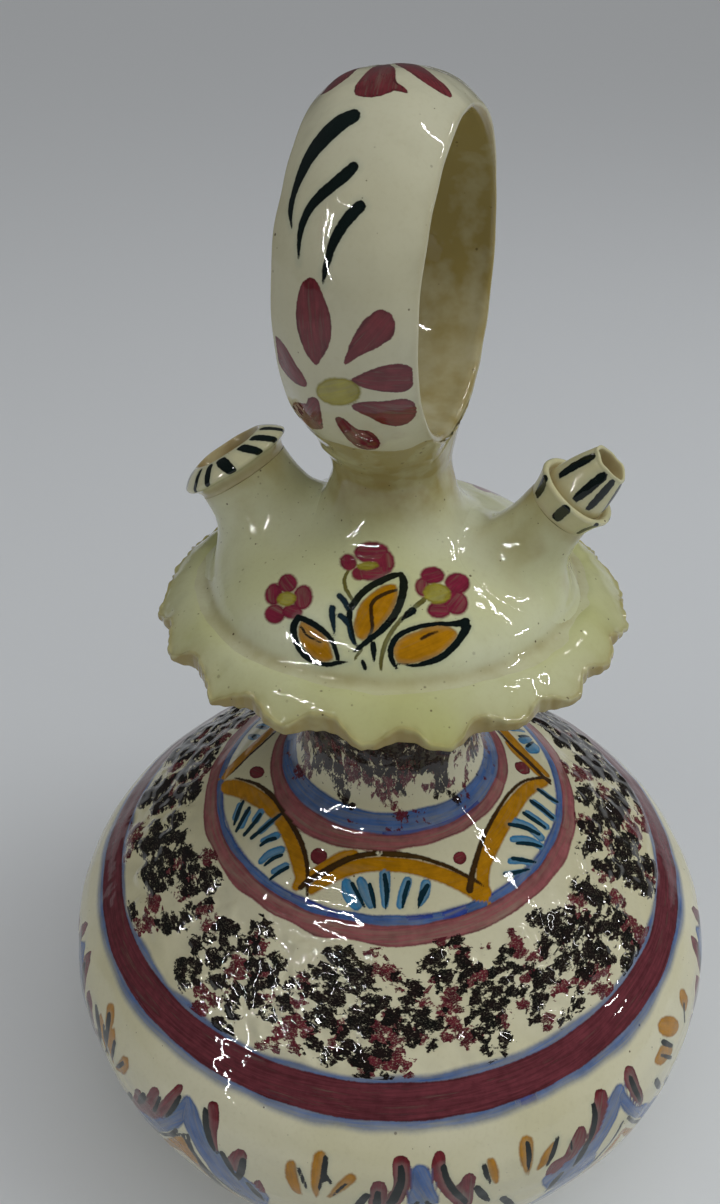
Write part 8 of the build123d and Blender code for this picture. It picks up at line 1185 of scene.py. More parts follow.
# raised leaf edges and stems: degrees round the axis and radius, in turn
RIDGES = (
    (-98.9, 65.8, -95.8, 66.1, -93.3, 65.3, -89.9, 65.7, -86.9, 66.9, -84.1, 67.9, -81.4, 69.6, -79.3, 72.8, -77.1, 75.5, -74.5, 78.4),
    (-85.3, 64.2, -83.2, 65.1, -80.7, 66.9, -79, 68.6, -78.2, 70.5, -77.4, 72, -76, 73.5),
    (-99.8, 71.2, -98.3, 72.5, -98, 74.5, -97, 76.8, -95.3, 78.9, -94, 81, -93.5, 82.8, -91.9, 84.3),
    (-95.3, 84.2, -93.5, 85.4, -92.7, 87.6, -91.3, 89.3, -90, 91.2, -88.3, 92.6, -86.7, 92.6, -86.1, 91.5, -86.6, 89.6, -88.2, 87.9, -90, 87, -91.3, 86.3),
    (-96.7, 87.5, -96.3, 89.2, -97, 91.5, -96.9, 92.9, -95.9, 93.5, -96.4, 95.1),
    (-109.1, 73, -109.6, 75.2, -111.2, 77.6, -110.3, 78.9, -108.5, 79.7, -107.1, 80.9),
    (-107.3, 74, -107.5, 76.4, -106.8, 77.9, -104.7, 78.5),
    (-105.9, 69.8, -104, 71.5, -101.8, 74.8, -101.6, 76.5, -102, 78.8),
    (-112, 85.2, -113, 83.3, -112.7, 81.4, -110.8, 82, -109.1, 82.7, -106.8, 82.5),
    (-92.1, 70.8, -89.9, 72, -88.1, 73.5),
    (-104.3, 85.1, -102.7, 86.2, -101.4, 87.6, -100.9, 89.1),
    (-117.3, 87.6, -115.4, 87.9, -114.8, 90.8),
    (-117.3, 94.9, -117.4, 92.5, -117, 90.6),
    (-77.3, 81.7, -77.1, 83.2, -77.7, 84.8, -76.7, 86.8, -75.9, 88.8),
    (-76.1, 82.2, -74.6, 84.2, -75, 87.2, -74.2, 88.7),
    (-94.2, 72.2, -92.7, 73.5, -90, 75.9),
    (-16.3, 69.3, -17.1, 71, -16.9, 73.1, -15, 75.2),
    (-14.8, 70.3, -14.5, 72, -15.2, 73.4, -15, 75.2),
    (-27.7, 73.7, -25.2, 74.7, -23, 75.4, -21.6, 75.6),
    (-27.5, 80.2, -26.6, 81.4, -25.9, 83.4, -24.6, 84.8, -22.7, 86, -21.2, 86.7),
    (-28.5, 82.1, -28.3, 83.3, -27.1, 85.2, -25.7, 86.4, -23.7, 87.4, -22.7, 87.9),
    (-11.9, 67.3, -8.6, 70.5, -6, 73.8, -3.9, 76.7, -2, 78),
    (-25.3, 78, -26.3, 79.3, -27.7, 79.8, -29.2, 80.7),
)


def relief(PH, S, rr, marks):
    """Height of the pressed flowers, leaves and stems, in mm. marks is the depth inside the sponged colour."""
    h = np.zeros(PH.shape)
    g = np.random.default_rng(5)
    S0 = body_s_r(77.1)
    zone = (rr > 60) & (rr < 93)
    V = S0 - S                                   # outward from the middle of the zone

    def dome(u, v, R, top, dimple=0.0):
        q = np.clip(1 - (u * u + v * v) / (R * R), 0, None)
        return top * q ** 0.6 - dimple * np.exp(-(u * u + v * v) / (0.16 * R * R)) * (q > 0)

    def leaf(u, v, L, W, top):
        """A pointed leaf from the origin along +v, with a sunk rib and nerves."""
        t = v / L
        w = W * np.sin(np.clip(t, 0, 1) * math.pi) ** 0.75
        q = np.clip(1 - (u / (w + 1e-3)) ** 2, 0, None) * ((t > 0) & (t < 1))
        rib = 0.40 * np.exp(-(u / 0.6) ** 2)
        nerve = 0.14 * np.sin((v - np.abs(u) * 0.9) * TAU / 2.8)
        return np.clip(top * q ** 0.5 - (rib - nerve * np.clip(np.abs(u) / (W * 0.4), 0, 1)) * (q > 0.02), 0, None)

    for f in FLOWERS:
        U = np.radians(wrap(PH - f)) * rr
        m = zone & (np.abs(U) < 34)
        u0, v0 = U[m], V[m]
        hm = np.zeros(u0.shape)
        turn = g.uniform(0, TAU)
        cx, cy = g.normal(0, 0.8), g.normal(0, 0.7)
        for i in range(5):
            a = turn + TAU * i / 5 + g.normal(0, 0.08)
            R, d = g.uniform(3.9, 4.8), g.uniform(6.6, 7.6)
            hm = np.maximum(hm, dome(u0 - cx - d * math.cos(a), v0 - cy - d * math.sin(a), R, g.uniform(1.15, 1.5), 0.55))
        hm = np.maximum(hm, dome(u0 - cx, v0 - cy, 2.8, 1.25, 0.2))
        # leaves between this flower and the next
        for ang, L, W, ux, vx in ((62, 15, 4.2, 13.5, -9.5), (118, 13, 3.8, -13.5, -9.0), (-48, 14, 4.0, 13.0, 9.5),
                                  (-128, 14, 4.2, -12.5, 9.5), (8, 17, 4.4, 15.5, 0.5)):
            b = math.radians(ang + g.normal(0, 9))
            du, dv = u0 - ux - g.normal(0, 0.8), v0 - vx - g.normal(0, 0.6)
            along = du * math.cos(b) + dv * math.sin(b)
            across = -du * math.sin(b) + dv * math.cos(b)
            hm = np.maximum(hm, leaf(across, along + L * 0.35, L, W, g.uniform(0.9, 1.2)))
        # a bent stem beside the flower
        st = u0 - 19.6 - 2.2 * np.sin(v0 * 0.19 + turn) - g.uniform(-0.05, 0.05) * v0
        hm = np.maximum(hm, 0.9 * np.exp(-(st / 1.1) ** 2) * (np.abs(v0) < 13.5))
        h[m] = np.maximum(h[m], hm)
    # the colour was dabbed on what stands up
    h = np.maximum(0.95 * h, 0.85 * sstep(marks, -1.4, 1.2) + 0.30 * sstep(marks, 0.6, 3.0))
    for line in RIDGES:
        q = pairs(line)
        a0 = q[:, 0].mean()
        u, v = np.radians(wrap(q[:, 0] - a0)) * q[:, 1], body_s_r(q[:, 1])
        U = np.radians(wrap(PH - a0)) * rr
        m = zone & (U > u.min() - 3) & (U < u.max() + 3) & (S > v.min() - 3) & (S < v.max() + 3)
        best = np.full(m.sum(), 1e9)
        for i in range(len(u) - 1):
            ex, ey = u[i + 1] - u[i], v[i + 1] - v[i]
            wx, wy = U[m] - u[i], S[m] - v[i]
            k = np.clip((wx * ex + wy * ey) / (ex * ex + ey * ey + 1e-9), 0, 1)
            best = np.minimum(best, (wx - ex * k) ** 2 + (wy - ey * k) ** 2)
        h[m] += 0.80 * np.exp(-best / (1.05 ** 2))
    win = np.minimum(sstep(rr, R_IN - 1.0, R_IN + 1.6), sstep(R_OUT + 0.9 - rr, 0, 2.2))
    return h * win


rows = steps((S_SEAM, 1.0), (body_s_r(91.6), 0.52), (body_s_r(62.0), 0.54), (S_NECK, 1))
N_SH = 670
# sponged black and burgundy: traced where seen, more of the same behind
gph = np.repeat((360.0 * np.arange(N_SH) / N_SH)[None], len(rows), 0)
gs = np.repeat(rows[:, None], N_SH, 1)
gr = np.interp(gs, BODY.s, BODY.X[:, 0])
sp = Paint(gph, gs, gr, layers=2)
for col, _, q in PAINT["sponged"]:
    q = pairs(q)
    r = np.clip(q[:, 1], 60, 93)
    sp.outline(0 if col == "blk" else 1, "dk", q[:, 0], body_s_r(r), r, margin=4.5)
g = np.random.default_rng(19)
for _ in range(250):
    a, r = g.uniform(36, 196), g.uniform(64, 89.5)
    if 172 < a and g.random() < 0.5:
        continue
    q = np.linspace(0, TAU, 12)[:-1]
    wl, ww, b = g.uniform(2.2, 7.5), g.uniform(1.4, 3.4), g.normal(0, 0.5)
    du = wl * np.cos(q) * math.cos(b) - ww * np.sin(q) * math.sin(b)
    dv = wl * np.cos(q) * math.sin(b) + ww * np.sin(q) * math.cos(b)
    sp.outline(0 if g.random() < 0.6 else 1, "dk", a + np.degrees(du / r), body_s_r(r) + dv, np.full(11, r), margin=4.5)
MARKS = np.maximum(sp.d[0], sp.d[1]).reshape(gph.shape)
RAISED = relief(gph, gs, gr, MARKS)
for _ in range(2):                                # clay pressed by hand has no sharp foot
    RAISED = (RAISED + np.roll(RAISED, 1, 1) + np.roll(RAISED, -1, 1)) / 3
    RAISED[1:-1] = (RAISED[:-2] + RAISED[1:-1] + RAISED[2:]) / 3


def shoulder_push(PH, S, rr, co):
    zone = np.minimum(sstep(rr, 62, 66), sstep(92 - rr, 0, 3))
    uneven = (0.17 * waves(8, 6, 14)(co) + 0.06 * waves(9, 3.5, 6)(co)) * zone
    return body_push(PH, S, rr, co) + RAISED + uneven


inner = np.vstack([[(22.6, 143.3)], inset(np.linspace(S_NECK - 10, S_SEAM + 6, 9), 6), [(89.5, 100.3)]])
co, PH, S, RR = turned(BODY, rows, inner, N_SH, shoulder_push)
shoulder = grid_object("shoulder_wall", co, (0, len(rows) - 1, len(rows), len(co) - 1))
R0 = np.where(S > -50, np.interp(S, BODY.s, BODY.X[:, 0]), RR)
pt = Paint(PH, S, R0)
arch_front = []
GROW = {"och": 0.72, "brn": -0.05}
for col, layer, q in PAINT["shoulder"]:
    q = pairs(q)
    pt.outline(layer, "pet" if col == "bur" else col, q[:, 0], body_s_r(q[:, 1]), q[:, 1], grow=GROW.get(col, 0))
    mid = (q[:, 0].min() + q[:, 0].max()) / 2
    if -104.5 < mid < -43.5:
        arch_front.append((col, layer, q))
for turn in (118.0, 178.0, 238.0):                # the three arches on the far side
    for col, layer, q in arch_front:
        if col == "bur" and q[:, 0].mean() > -70:
            continue
        pt.outline(layer, "pet" if col == "bur" else col, q[:, 0] + turn, body_s_r(q[:, 1]), q[:, 1], grow=GROW.get(col, 0))
s_ = body_s_r
wash = (0.86, 0.95, 0.8)
pt.band(1, "bur", s_(98.6), s_(91.4), 31, 0.2, 0.25)
pt.band(0, "blu", s_(92.2), s_(90.2), 33, 0.25, 0.9, 12, 60, cover=wash)
pt.band(0, "blu", s_(100.4), s_(97.6), 34, 0.25, 0.5, cover=wash)
pt.band(1, "mau", s_(62.3), s_(57.7), 35, 0.5, 0.2, 7, 26, cover=(0.96, 0.26, 1.0))
pt.band(0, "blu", s_(58.4), s_(55.5), 37, 0.3, 0.3, cover=(0.95, 0.38, 0.8))
pt.band(0, "dpb", s_(58.4) + 3 * sstep(np.abs(wrap(pt.phi + 72)), 16, 40), s_(55.5), 47, 0.2, 0.2)
pt.band(0, "dpb", s_(36.4) + 5 * sstep(np.abs(wrap(pt.phi + 48)), 20, 52), s_(31.6), 48, 0.2, 0.2)
pt.band(1, "mau", s_(38.9) - 2.6 * np.exp(-(wrap(pt.phi + 112) / 34) ** 2), s_(35.4), 39, 0.25, 0.2)
pt.band(0, "blu", s_(36.0), s_(30.0), 41, 0.25, 0.2, cover=(0.92, 0.45, 0.8))
pt.attach(shoulder)
full = np.full(PH.shape, -9.0)
blk, brg, raised = full.copy(), full.copy(), np.zeros(PH.shape)
n_ = len(rows)
zone = np.where((gr > 61.5) & (gr < 90.8), 0.0, -9.0)
blk[:n_] = np.clip(sp.d[0].reshape(gph.shape), -4, 1.6) + zone
brg[:n_] = np.clip(sp.d[1].reshape(gph.shape), -4, 1.5) + zone
raised[:n_] = RAISED
dense_ = 0.75 * np.minimum(sstep(wrap(PH + 42), 0, 14), sstep(44 - wrap(PH), 0, 14)) * (np.abs(wrap(PH)) < 60)
blk, brg = blk + dense_ * (blk > -7), brg + 0.8 * dense_ * (brg > -7)
floats(shoulder, blk=blk, brg=brg, raised=raised, warm=np.where(S.ravel() < -50, 0.1, 0.05), lie=lie(PH, S, R0, 1.35))
finish_piece(shoulder, "shoulder", RELIEF)


# ------------------------------------------------------------------ neck
def neck_push(PH, S, rr, co):
    d = 0.10 * soft(co) + 0.06 * soft2(co) - 0.2
    return d * np.minimum(sstep(S - S_NECK, 0, 8), sstep(S_END - S, 0, 6)) + body_push(PH, S, rr, co) * sstep(8 - (S - S_NECK), 0, 8)


rows = steps((S_NECK, 0.7), (S_NECK + 26, 1.1), (S_END, 1))
co, PH, S, RR = turned(BODY, rows, NECK_IN, 300, neck_push)
neck = grid_object("neck_wall", co, (0, len(rows) - 1, len(rows), len(co) - 1))
R0 = np.where(S > -50, np.interp(S, BODY.s, BODY.X[:, 0]), RR)
pt = Paint(PH, S, R0)
pt.band(1, "blu", S_NECK - 2, s_(30.7), 43, 0.2, 0.35, cover=(0.92, 0.45, 0.8))
pt.attach(neck)
ring = co.reshape(-1, 3)
zz = ring[:, 2]
mott = waves(12, 7, 20)(ring)
mott2 = waves(14, 7, 20)(ring)
blk = np.clip((zz - 158.5) * 0.26, -5, 3.0) + 1.2 * mott
brg = np.clip((zz - 156) * 0.25, -5, 2.8) + 1.4 * mott2
out = S.ravel() > -50
floats(neck, blk=np.where(out, blk, -9), brg=np.where(out, brg, -9), raised=0.45 + 0 * zz, warm=np.where(out, 0.08, 0.2),
       lie=lie(PH, S, R0, 0.5))
finish_piece(neck, "neck", NECKED)


# ------------------------------------------------------------------ scalloped brim
# the pinched edge: degrees round the axis and radius, in turn
EDGE = (-167.5, 66.2, -164.4, 65.6, -160.2, 65.6, -157, 66.7, -153.5, 67.4, -148.8, 66.9, -145.9, 65, -142.1, 65.3, -138.4, 66.6, -135.7, 67.6,
        -133.2, 67.6, -131.9, 65.9, -129.5, 64.2, -126.1, 63.7, -123.9, 64.2, -121.8, 65, -119.6, 65.8, -117.1, 67.1, -115.3, 68.1, -114, 67,
        -111.8, 65.9, -108.3, 64.6, -105.6, 64.3, -103.2, 64.9, -101.1, 65.8, -99.1, 66.4, -96, 66.8, -94.8, 66.3, -93.6, 65.1, -92.1, 64.2,
        -89.5, 63.4, -86.6, 63.3, -84.2, 64, -82.4, 65.6, -80.7, 66.7, -78.6, 67.5, -76.6, 67.2, -75, 66.3, -73.4, 65.2, -70.9, 64.4,
        -68.8, 64.9, -66.7, 65.7, -65.2, 67, -62.9, 67.9, -60.5, 67.9, -58.5, 67.4, -57.1, 66.2, -55.9, 65, -54, 64.2, -52.1, 64, -50, 64.6,
        -48, 65.6, -45.9, 66.4, -42.2, 66.7, -40.8, 65.5, -38.8, 64.5, -36.6, 64.3, -34.8, 64.8, -32.6, 65.9, -30.4, 67.1, -28.2, 67.6,
        -26.5, 67.4, -25.4, 66.4, -23.4, 65.1, -21.8, 64.5, -19.4, 64.5, -17, 65.5, -14.9, 66.8, -12.3, 67.1, -10, 66.7, -8.1, 66, -6.8, 65,
        -4.9, 65, -1.5, 66.4, 3.1, 67.8, 6.3, 67.7, 8.6, 67.2, 12.1, 66.6, 17.2, 67.7, 20.2, 67.6, 24.9, 67, 30, 64.6)
top = Curve(np.vstack([[(40, 213.2)], cubic([(51.6, 212.2), (53.4, 212.3), (57.2, 212.75), (60.6, 211.2), (63.2, 209.2), (67.6, 205.2)], 300)]))
bot = Curve(np.vstack([[(40, 207)], cubic([(48, 207), (56, 207.2), (62, 204.9), (67.6, 201.2)], 300)]))
n = 840
ph = TAU * np.arange(n) / n
deg = np.degrees(ph)
g = np.random.default_rng(23)
knots = [tuple(q) for q in pairs(EDGE)]
for i in range(9):                                # the same hand on the far side
    c, tip, low = 38.5 + 17.1 * i + g.normal(0, 0.9), g.uniform(66.8, 68.0), g.uniform(63.4, 64.9)
    knots += [(c - 4.6, 65.7), (c - 2.2, tip - 0.5), (c + 0.6, tip), (c + 3.2, 66.2), (c + 6.4, low + 0.3), (c + 9.6, low)]
knots = np.array(sorted((a % 360, r) for a, r in knots))
edge_r = np.interp(deg, knots[:, 0], knots[:, 1] - 0.5, period=360)
for _ in range(4):
    edge_r = (np.roll(edge_r, 1) + 2 * edge_r + np.roll(edge_r, -1)) / 4
rim_line = np.stack([66 * np.cos(ph), 66 * np.sin(ph), 0 * ph], -1)
edge_r = np.minimum(edge_r + 0.10 * waves(25, 4, 14)(rim_line), 67.5)
bulge = np.clip((edge_r - 63.0) / 4.0, 0, 1)      # 0 in the broad valleys, about 1 at the tips
# the wall of the edge: tall in a valley, drawn down to a thin point at a tip
z_hi = np.interp(edge_r - 0.8, top.X[:, 0], top.X[:, 1]) + 0.30 * (1 - bulge) - 0.25 * bulge
z_lo = np.minimum(204.3 + 0.22 * waves(26, 12, 40)(rim_line) + 0.25 * (1 - bulge), z_hi - 1.3)
P_rows, kind = [], []
for t in np.concatenate([np.linspace(0, 0.3, 4), np.linspace(0.36, 0.95, 16)]):
    r = 40 + (edge_r - 0.8 - 40) * t
    z = np.interp(r, bot.X[:, 0], bot.X[:, 1])
    z = z + sstep(t, 0.6, 1.0) * (z_lo - np.interp(edge_r - 0.8, bot.X[:, 0], bot.X[:, 1]))
    P_rows.append((r, z)); kind.append(0)
for q in np.linspace(-math.pi / 2, math.pi / 2, 17):
    cx, sx = abs(math.cos(q)) ** 0.55, math.copysign(abs(math.sin(q)) ** 0.72, q)
    P_rows.append((edge_r - 0.8 + 0.8 * cx, (z_lo + z_hi) / 2 + (z_hi - z_lo) / 2 * sx)); kind.append(1)
for t in np.concatenate([np.linspace(0.985, 0.42, 44), np.linspace(0.38, 0, 6)]):
    r = 40 + (edge_r - 0.8 - 40) * t
    z = np.interp(r, top.X[:, 0], top.X[:, 1])
    z = z + sstep(t, 0.74, 1.0) * (z_hi - np.interp(edge_r - 0.8, top.X[:, 0], top.X[:, 1]))
    P_rows.append((r, z)); kind.append(2)
rr = np.array([p[0] for p in P_rows])
at_edge = sstep(rr - (edge_r[None] - 1.9), 0, 1.5)  # torn and pinched only at the very edge
rr = rr + 0.20 * waves(35, 1.7, 4.5)(rim_line)[None] * at_edge
zz = np.clip(np.array([p[1] for p in P_rows]), 199.5, 213.19)
zz = zz + 0.10 * waves(36, 2, 5)(rim_line)[None] * at_edge
co = np.stack([rr * np.cos(ph), rr * np.sin(ph), zz], -1)
zz = zz + (0.12 * waves(27, 14, 36)(co) + 0.05 * waves(28, 5, 10)(co) - 0.12) * sstep(rr, 50, 56)
co[..., 2] = np.minimum(zz, 213.19)
brim = grid_object("scalloped_brim", co, ())
kd = np.repeat(np.array(kind)[:, None], n, 1)
edge_d = edge_r[None] - rr
# a brown line where the glaze runs thin at the pinched edge; painted shade in the groove at the dome's foot, on the
# lower part of the edge's wall and on the underside; the edge's wall also browner from thin glaze; the outer brim a
# little yellower
warm = np.exp(-np.clip(edge_d, 0, None) / 1.5) * (0.40 + 0.20 * bulge[None]) + 0.30 * np.exp(-((rr - 52.0) / 1.6) ** 2) * (kd == 2)
low = sstep(z_hi[None] - co[..., 2], 0.2, 1.6)
warm = np.where(kd == 1, 0.45 + 0.45 * low, warm) + np.where(kd == 0, 0.45, 0) + 0.08 * sstep(rr, 54, 62)
floats(brim, warm=np.clip(warm, 0, 1).ravel())
finish_piece(brim, "scalloped_collar", BRIM)


# ------------------------------------------------------------------ dome
def up_push(PH, S, rr, co):
    return up_uneven(co) * sstep(S, 0, 3)


def outer_r(z):
    """Radius of dome and stem at height z."""
    return np.interp(z, UP.X[:, 1], UP.X[:, 0])


rows = steps((0, 0.55), (9, 0.44), (S_STEM, 1))
co, PH, S, RR = turned(UP, rows, DOME_IN, 640, up_push)
dome = grid_object("upper_dome", co, (0, len(rows) - 1, len(rows), len(rows) + 1, len(co) - 1))


def bore(o, origin, axis, radius, t0, t1):
    """Cuts a round hole along a slanting tube."""
    q = TAU * np.arange(64) / 64
    loops = [np.stack([radius * np.cos(q), radius * np.sin(q), np.full(64, t)], -1) for t in (t0, t1)]
    V = place(np.array(loops), origin, axis).reshape(-1, 3) * MM
    F = [tuple(range(63, -1, -1)), tuple(range(64, 128))] + [(i, (i + 1) % 64, 64 + (i + 1) % 64, 64 + i) for i in range(64)]
    me = bpy.data.meshes.new("cutter")
    me.from_pydata([tuple(v) for v in V], [], F)
    c = bpy.data.objects.new("cutter", me)
    bpy.context.scene.collection.objects.link(c)
    m = o.modifiers.new("bore", "BOOLEAN")
    m.operation, m.object = "DIFFERENCE", c
    m.solver = "MANIFOLD"
    dg = bpy.context.evaluated_depsgraph_get()
    new = bpy.data.meshes.new_from_object(o.evaluated_get(dg))
    o.modifiers.clear()
    old = o.data
    o.data = new
    new.name = old.name
    bpy.data.meshes.remove(old)
    bpy.data.objects.remove(c)
    bpy.data.meshes.remove(me)


bore(dome, FILLER_O, FILLER_A, 9.0, -44, -4)
bore(dome, SPOUT_O, SPOUT_A, 4.6, -36, 0)
v = coords(dome)
r = np.hypot(v[:, 0], v[:, 1])
# the outside is where a vertex lies on the outer profile
on = np.abs(r - outer_r(v[:, 2])) < 1.6
on &= (v[:, 2] > 212.3) & (v[:, 2] < 231.05)
S = np.where(on, np.interp(v[:, 2], UP.X[:, 1], UP.s), -99)
PH = np.degrees(np.arctan2(v[:, 1], v[:, 0]))
R0 = np.where(on, np.interp(S, UP.s, UP.X[:, 0]), r)


def flowers(pt):
    for turn in (0.0, 180.0):
        for col, layer, t in PAINT["dome"]:
            p = pairs(t)
            petal = col == "bur"
            pt.outline(layer, "pnk" if petal else col, p[:, 0] + turn, UP.s_of_r(p[:, 1]), p[:, 1], grow=0.5 if petal else 0.0)


pt = Paint(PH, S, R0)
flowers(pt)
pt.attach(dome)
floats(dome, warm=np.where(on, 0.44 * np.exp(-((v[:, 2] - 213.6) / 1.4) ** 2) + 0.04, 0.25))
finish_piece(dome, "dome", DOMED)


# ------------------------------------------------------------------ stem
STEM_P = np.vstack([UP.X[UP.s >= S_STEM], [(22.9, 260.5), (23.0, 263), (23.0, 268), (22.5, 272)]])
SP = Curve(STEM_P)


def flatten(r, phi, z):
    """Radius of the stem, flattened above its waist to the width of the ring."""
    lim = 16.25 / np.maximum(np.abs(np.cos(phi)), 1e-3)
    k = sstep(z, 242, 250)
    return (1 - k) * r + k * (r ** -9.0 + lim ** -9.0) ** (-1 / 9.0)


def ring_d(p):
    """Distance outside the crown of the ring."""
    x = np.abs(p[:, 0])
    return np.maximum(np.hypot(x, np.hypot(p[:, 1], p[:, 2] - RING_Z) - 20.8) - 23.9, x - 16.6)


def stem_d(p):
    r = flatten(np.interp(p[:, 2], STEM_P[:, 1], STEM_P[:, 0]), np.arctan2(p[:, 1], p[:, 0]), p[:, 2])
    return 0.88 * (np.hypot(p[:, 0], p[:, 1]) - r - up_uneven(p))


n = 400
ph = TAU * np.arange(n) / n


def stem_at(s):
    """Points of the stem's skin at arc lengths s[rows, columns]."""
    q, nn = SP.at(s.ravel()), SP.normal(s.ravel())
    a = np.broadcast_to(ph, s.shape).ravel()
    d = up_uneven(np.stack([q[:, 0] * np.cos(a), q[:, 0] * np.sin(a), q[:, 1]], -1))
    z = q[:, 1] + nn[:, 1] * d
    r = flatten(q[:, 0] + nn[:, 0] * d, a, z)
    return np.stack([r * np.cos(a), r * np.sin(a), z], -1).reshape(*s.shape, 3)


kk = 0.6 + 7.0 * np.abs(np.sin(ph)) ** 2.5
line = np.linspace(0, SP.s[-1], 420)
near = np.array([ring_d(stem_at(np.full((1, n), v))[0]) for v in line]) < kk[None]
s_top = line[np.argmax(near, axis=0)]
for _ in range(6):
    s_top = (np.roll(s_top, 1) + 2 * s_top + np.roll(s_top, -1)) / 4
w = np.linspace(0, 1, 66)[:, None]
S_ = s_top[None] * w
co = stem_at(S_)
sk = skirt(co[-1], stem_d, ring_d, kk, 22)
last = sk[-1]
cap = []
for f in (0.75, 0.5):
    y = last[:, 1] * f
    cap.append(np.stack([last[:, 0] * f, y, RING_Z - np.sqrt(40.5 ** 2 - y ** 2)], -1))
y = 8 * np.sin(ph)
cap += [np.stack([8 * np.cos(ph), y, z], -1) for z in (RING_Z - np.sqrt(40.5 ** 2 - y ** 2), np.full(n, 250.0), np.full(n, 231.0))]
n_up = len(co) + len(sk) - 1
S = np.full((n_up + len(cap), n), -99.0)
S[:len(co)] = S_STEM + S_
S[len(co):n_up] = S_STEM + s_top[None] + np.arange(1, len(sk))[:, None] * 0.5
co = np.vstack([co, sk[1:], np.array(cap)])
PH = np.repeat(np.degrees(ph)[None], len(co), 0)
stem = grid_object("handle_stem_foot", co, (0, n_up - 1, n_up, len(co) - 1))
pt = Paint(PH, S, np.where(S > -50, np.interp(S, UP.s, UP.X[:, 0]), 8.0))
flowers(pt)
pt.attach(stem)
# painted shade on the stem under the ring, darker upwards to just below it, and a thin darker line along the crease
# where it meets the ring
floats(stem, warm=np.where(S.ravel() > -50, 0.04 + 0.84 * sstep(co[..., 2].ravel(), 231, 249) + 0.22 * np.exp(-((co[..., 2].ravel() - 252.4 - 0.5 * soft2(co.reshape(-1, 3))) / 0.9) ** 2), 0.2))
finish_piece(stem, "handle_stem", DOMED)


# ------------------------------------------------------------------ ring handle
half = [(0, 44.7), (5, 44.16), (9.5, 42.72), (13.2, 40.6), (15.7, 38.75), (16.75, 37.55), (16.3, 36.55), (13.4, 36.15), (7, 35.98), (0, 35.9)]
sec = half + [(-x, y) for x, y in half[-2:0:-1]]
loop = np.array(sec + sec[:3])
dense = cubic(np.vstack([sec[-3:], loop]), 3000)
i0 = np.argmin(np.hypot(dense[:1500, 0] - 0, dense[:1500, 1] - 44.7))
i1 = 1500 + np.argmin(np.hypot(dense[1500:, 0] - 0, dense[1500:, 1] - 44.7))
SEC = Curve(dense[i0:i1 + 1])
total = SEC.s[-1]
s_side = SEC.near((16.75, 37.55))
rows = np.concatenate([steps((0, 0.55), (s_side, 0.8), (SEC.near((13.4, 36.15)), 1.6), (SEC.near((-13.4, 36.15)), 0.8),
                             (SEC.near((-16.75, 37.55)), 0.55), (total, 1))[:-1]])
n = 560
th = TAU * np.arange(n) / n
X, N = SEC.at(rows), SEC.normal(rows)
base = np.stack([np.repeat(X[:, :1], n, 1), -X[:, 1:] * np.cos(th), RING_Z + X[:, 1:] * np.sin(th)], -1)
d = 0.20 * waves(41, 26, 60)(base) + 0.07 * waves(42, 9, 20)(base) - 0.10
xx = X[:, :1] - N[:, :1] * d
rho = X[:, 1:] - N[:, 1:] * d
# closed by hand: it stands out a little behind its top, and its left shoulder is fuller there
deg = np.degrees(np.where(th > 1.5 * math.pi, th - TAU, th))
rho = rho + 1.9 * np.exp(-((deg - 126) / 26) ** 2) * np.clip((X[:, 1:] - 36.5) / 6, 0, 1)
full = 1.4 * sstep(-X[:, :1], 4, 13) * np.exp(-((deg - 90) / 24) ** 2) * sstep(X[:, 1:], 36.2, 37.6)
rho = np.minimum(rho + 0.8 * full, 44.69 / np.maximum(np.sin(th), 0.2))
xx = xx - 0.6 * full
co = np.stack([xx, -rho * np.cos(th), RING_Z + rho * np.sin(th)], -1)
# winding: columns run round X from the front over the top, so rows are reversed to face outward
co = co[::-1]
co[..., 2] = np.minimum(co[..., 2], 342.06)
ringo = grid_object("ring_handle_band", co, ())
SX = np.repeat(rows[::-1, None], n, 1)
SX = np.where(SX > total / 2, SX - total, SX)             # 0 on the crown's middle, + towards +X
TH = np.repeat(np.degrees(th)[None], len(rows), 0)
RHO = rho[::-1]
on = np.abs(SX) < s_side + 0.3
pt = Paint(TH, np.where(on, SX, -99), np.where(on, 44.7 - 6.1 * (np.clip(np.abs(co[..., 0]), 0, 16) / 15.95) ** 2, 36))
crown = SEC.X[SEC.s < s_side]
TOP_PETALS = [("bur", 0, (69.4, -4.8, 72.4, -5.4, 74.6, -5.3, 78.1, -5.3, 82.5, -5.3, 88.6, -5.5, 94.1, -5.5, 95.5, -4.3, 92, -2.3, 86, 0, 82, 1.4, 78.4, 2.3,
                       75.9, 2.9, 74, 4, 72.9, 5.3, 71.4, 6.4, 70, 6.7, 69.9, 5.8, 70, 4.7, 69.8, 3.7, 68.8, 3.5, 67.8, 2.7, 66.5, 1.7, 65.8, 0.1, 65.9, -1.6,
                       66.8, -3.1, 67.9, -4.1)),
              ("bur", 0, (75.9, -13.7, 77.6, -14.4, 80.2, -14.6, 84, -14, 88, -13.2, 92, -12, 95.4, -10.6, 96.6, -9.2, 93.5, -8.6, 89.1, -8.5, 83.9, -8.3,
                       80.4, -8.5, 77.5, -9.1, 75.2, -9.9, 73.9, -10.9, 74, -12.1)),
              ("bur", 0, (97.2, -3, 99.5, -2.2, 99, 0, 96, 2.6, 92.4, 5.4, 88.9, 7.8, 86.1, 9.8, 85.4, 11.5, 83.9, 12.9, 81.8, 13.8, 80, 13.6, 79.2, 12.9,
                       78.5, 11.8, 78.5, 10.5, 78.8, 9.1, 79.5, 7.7, 81.1, 5.8, 83.2, 3.8, 85.5, 2, 90.8, -0.4)),
              ("yel", 0, tuple(v for a in np.linspace(0, TAU, 15)[:-1] for v in (113 + 5.6 * math.cos(a), 4.4 * math.sin(a))))]
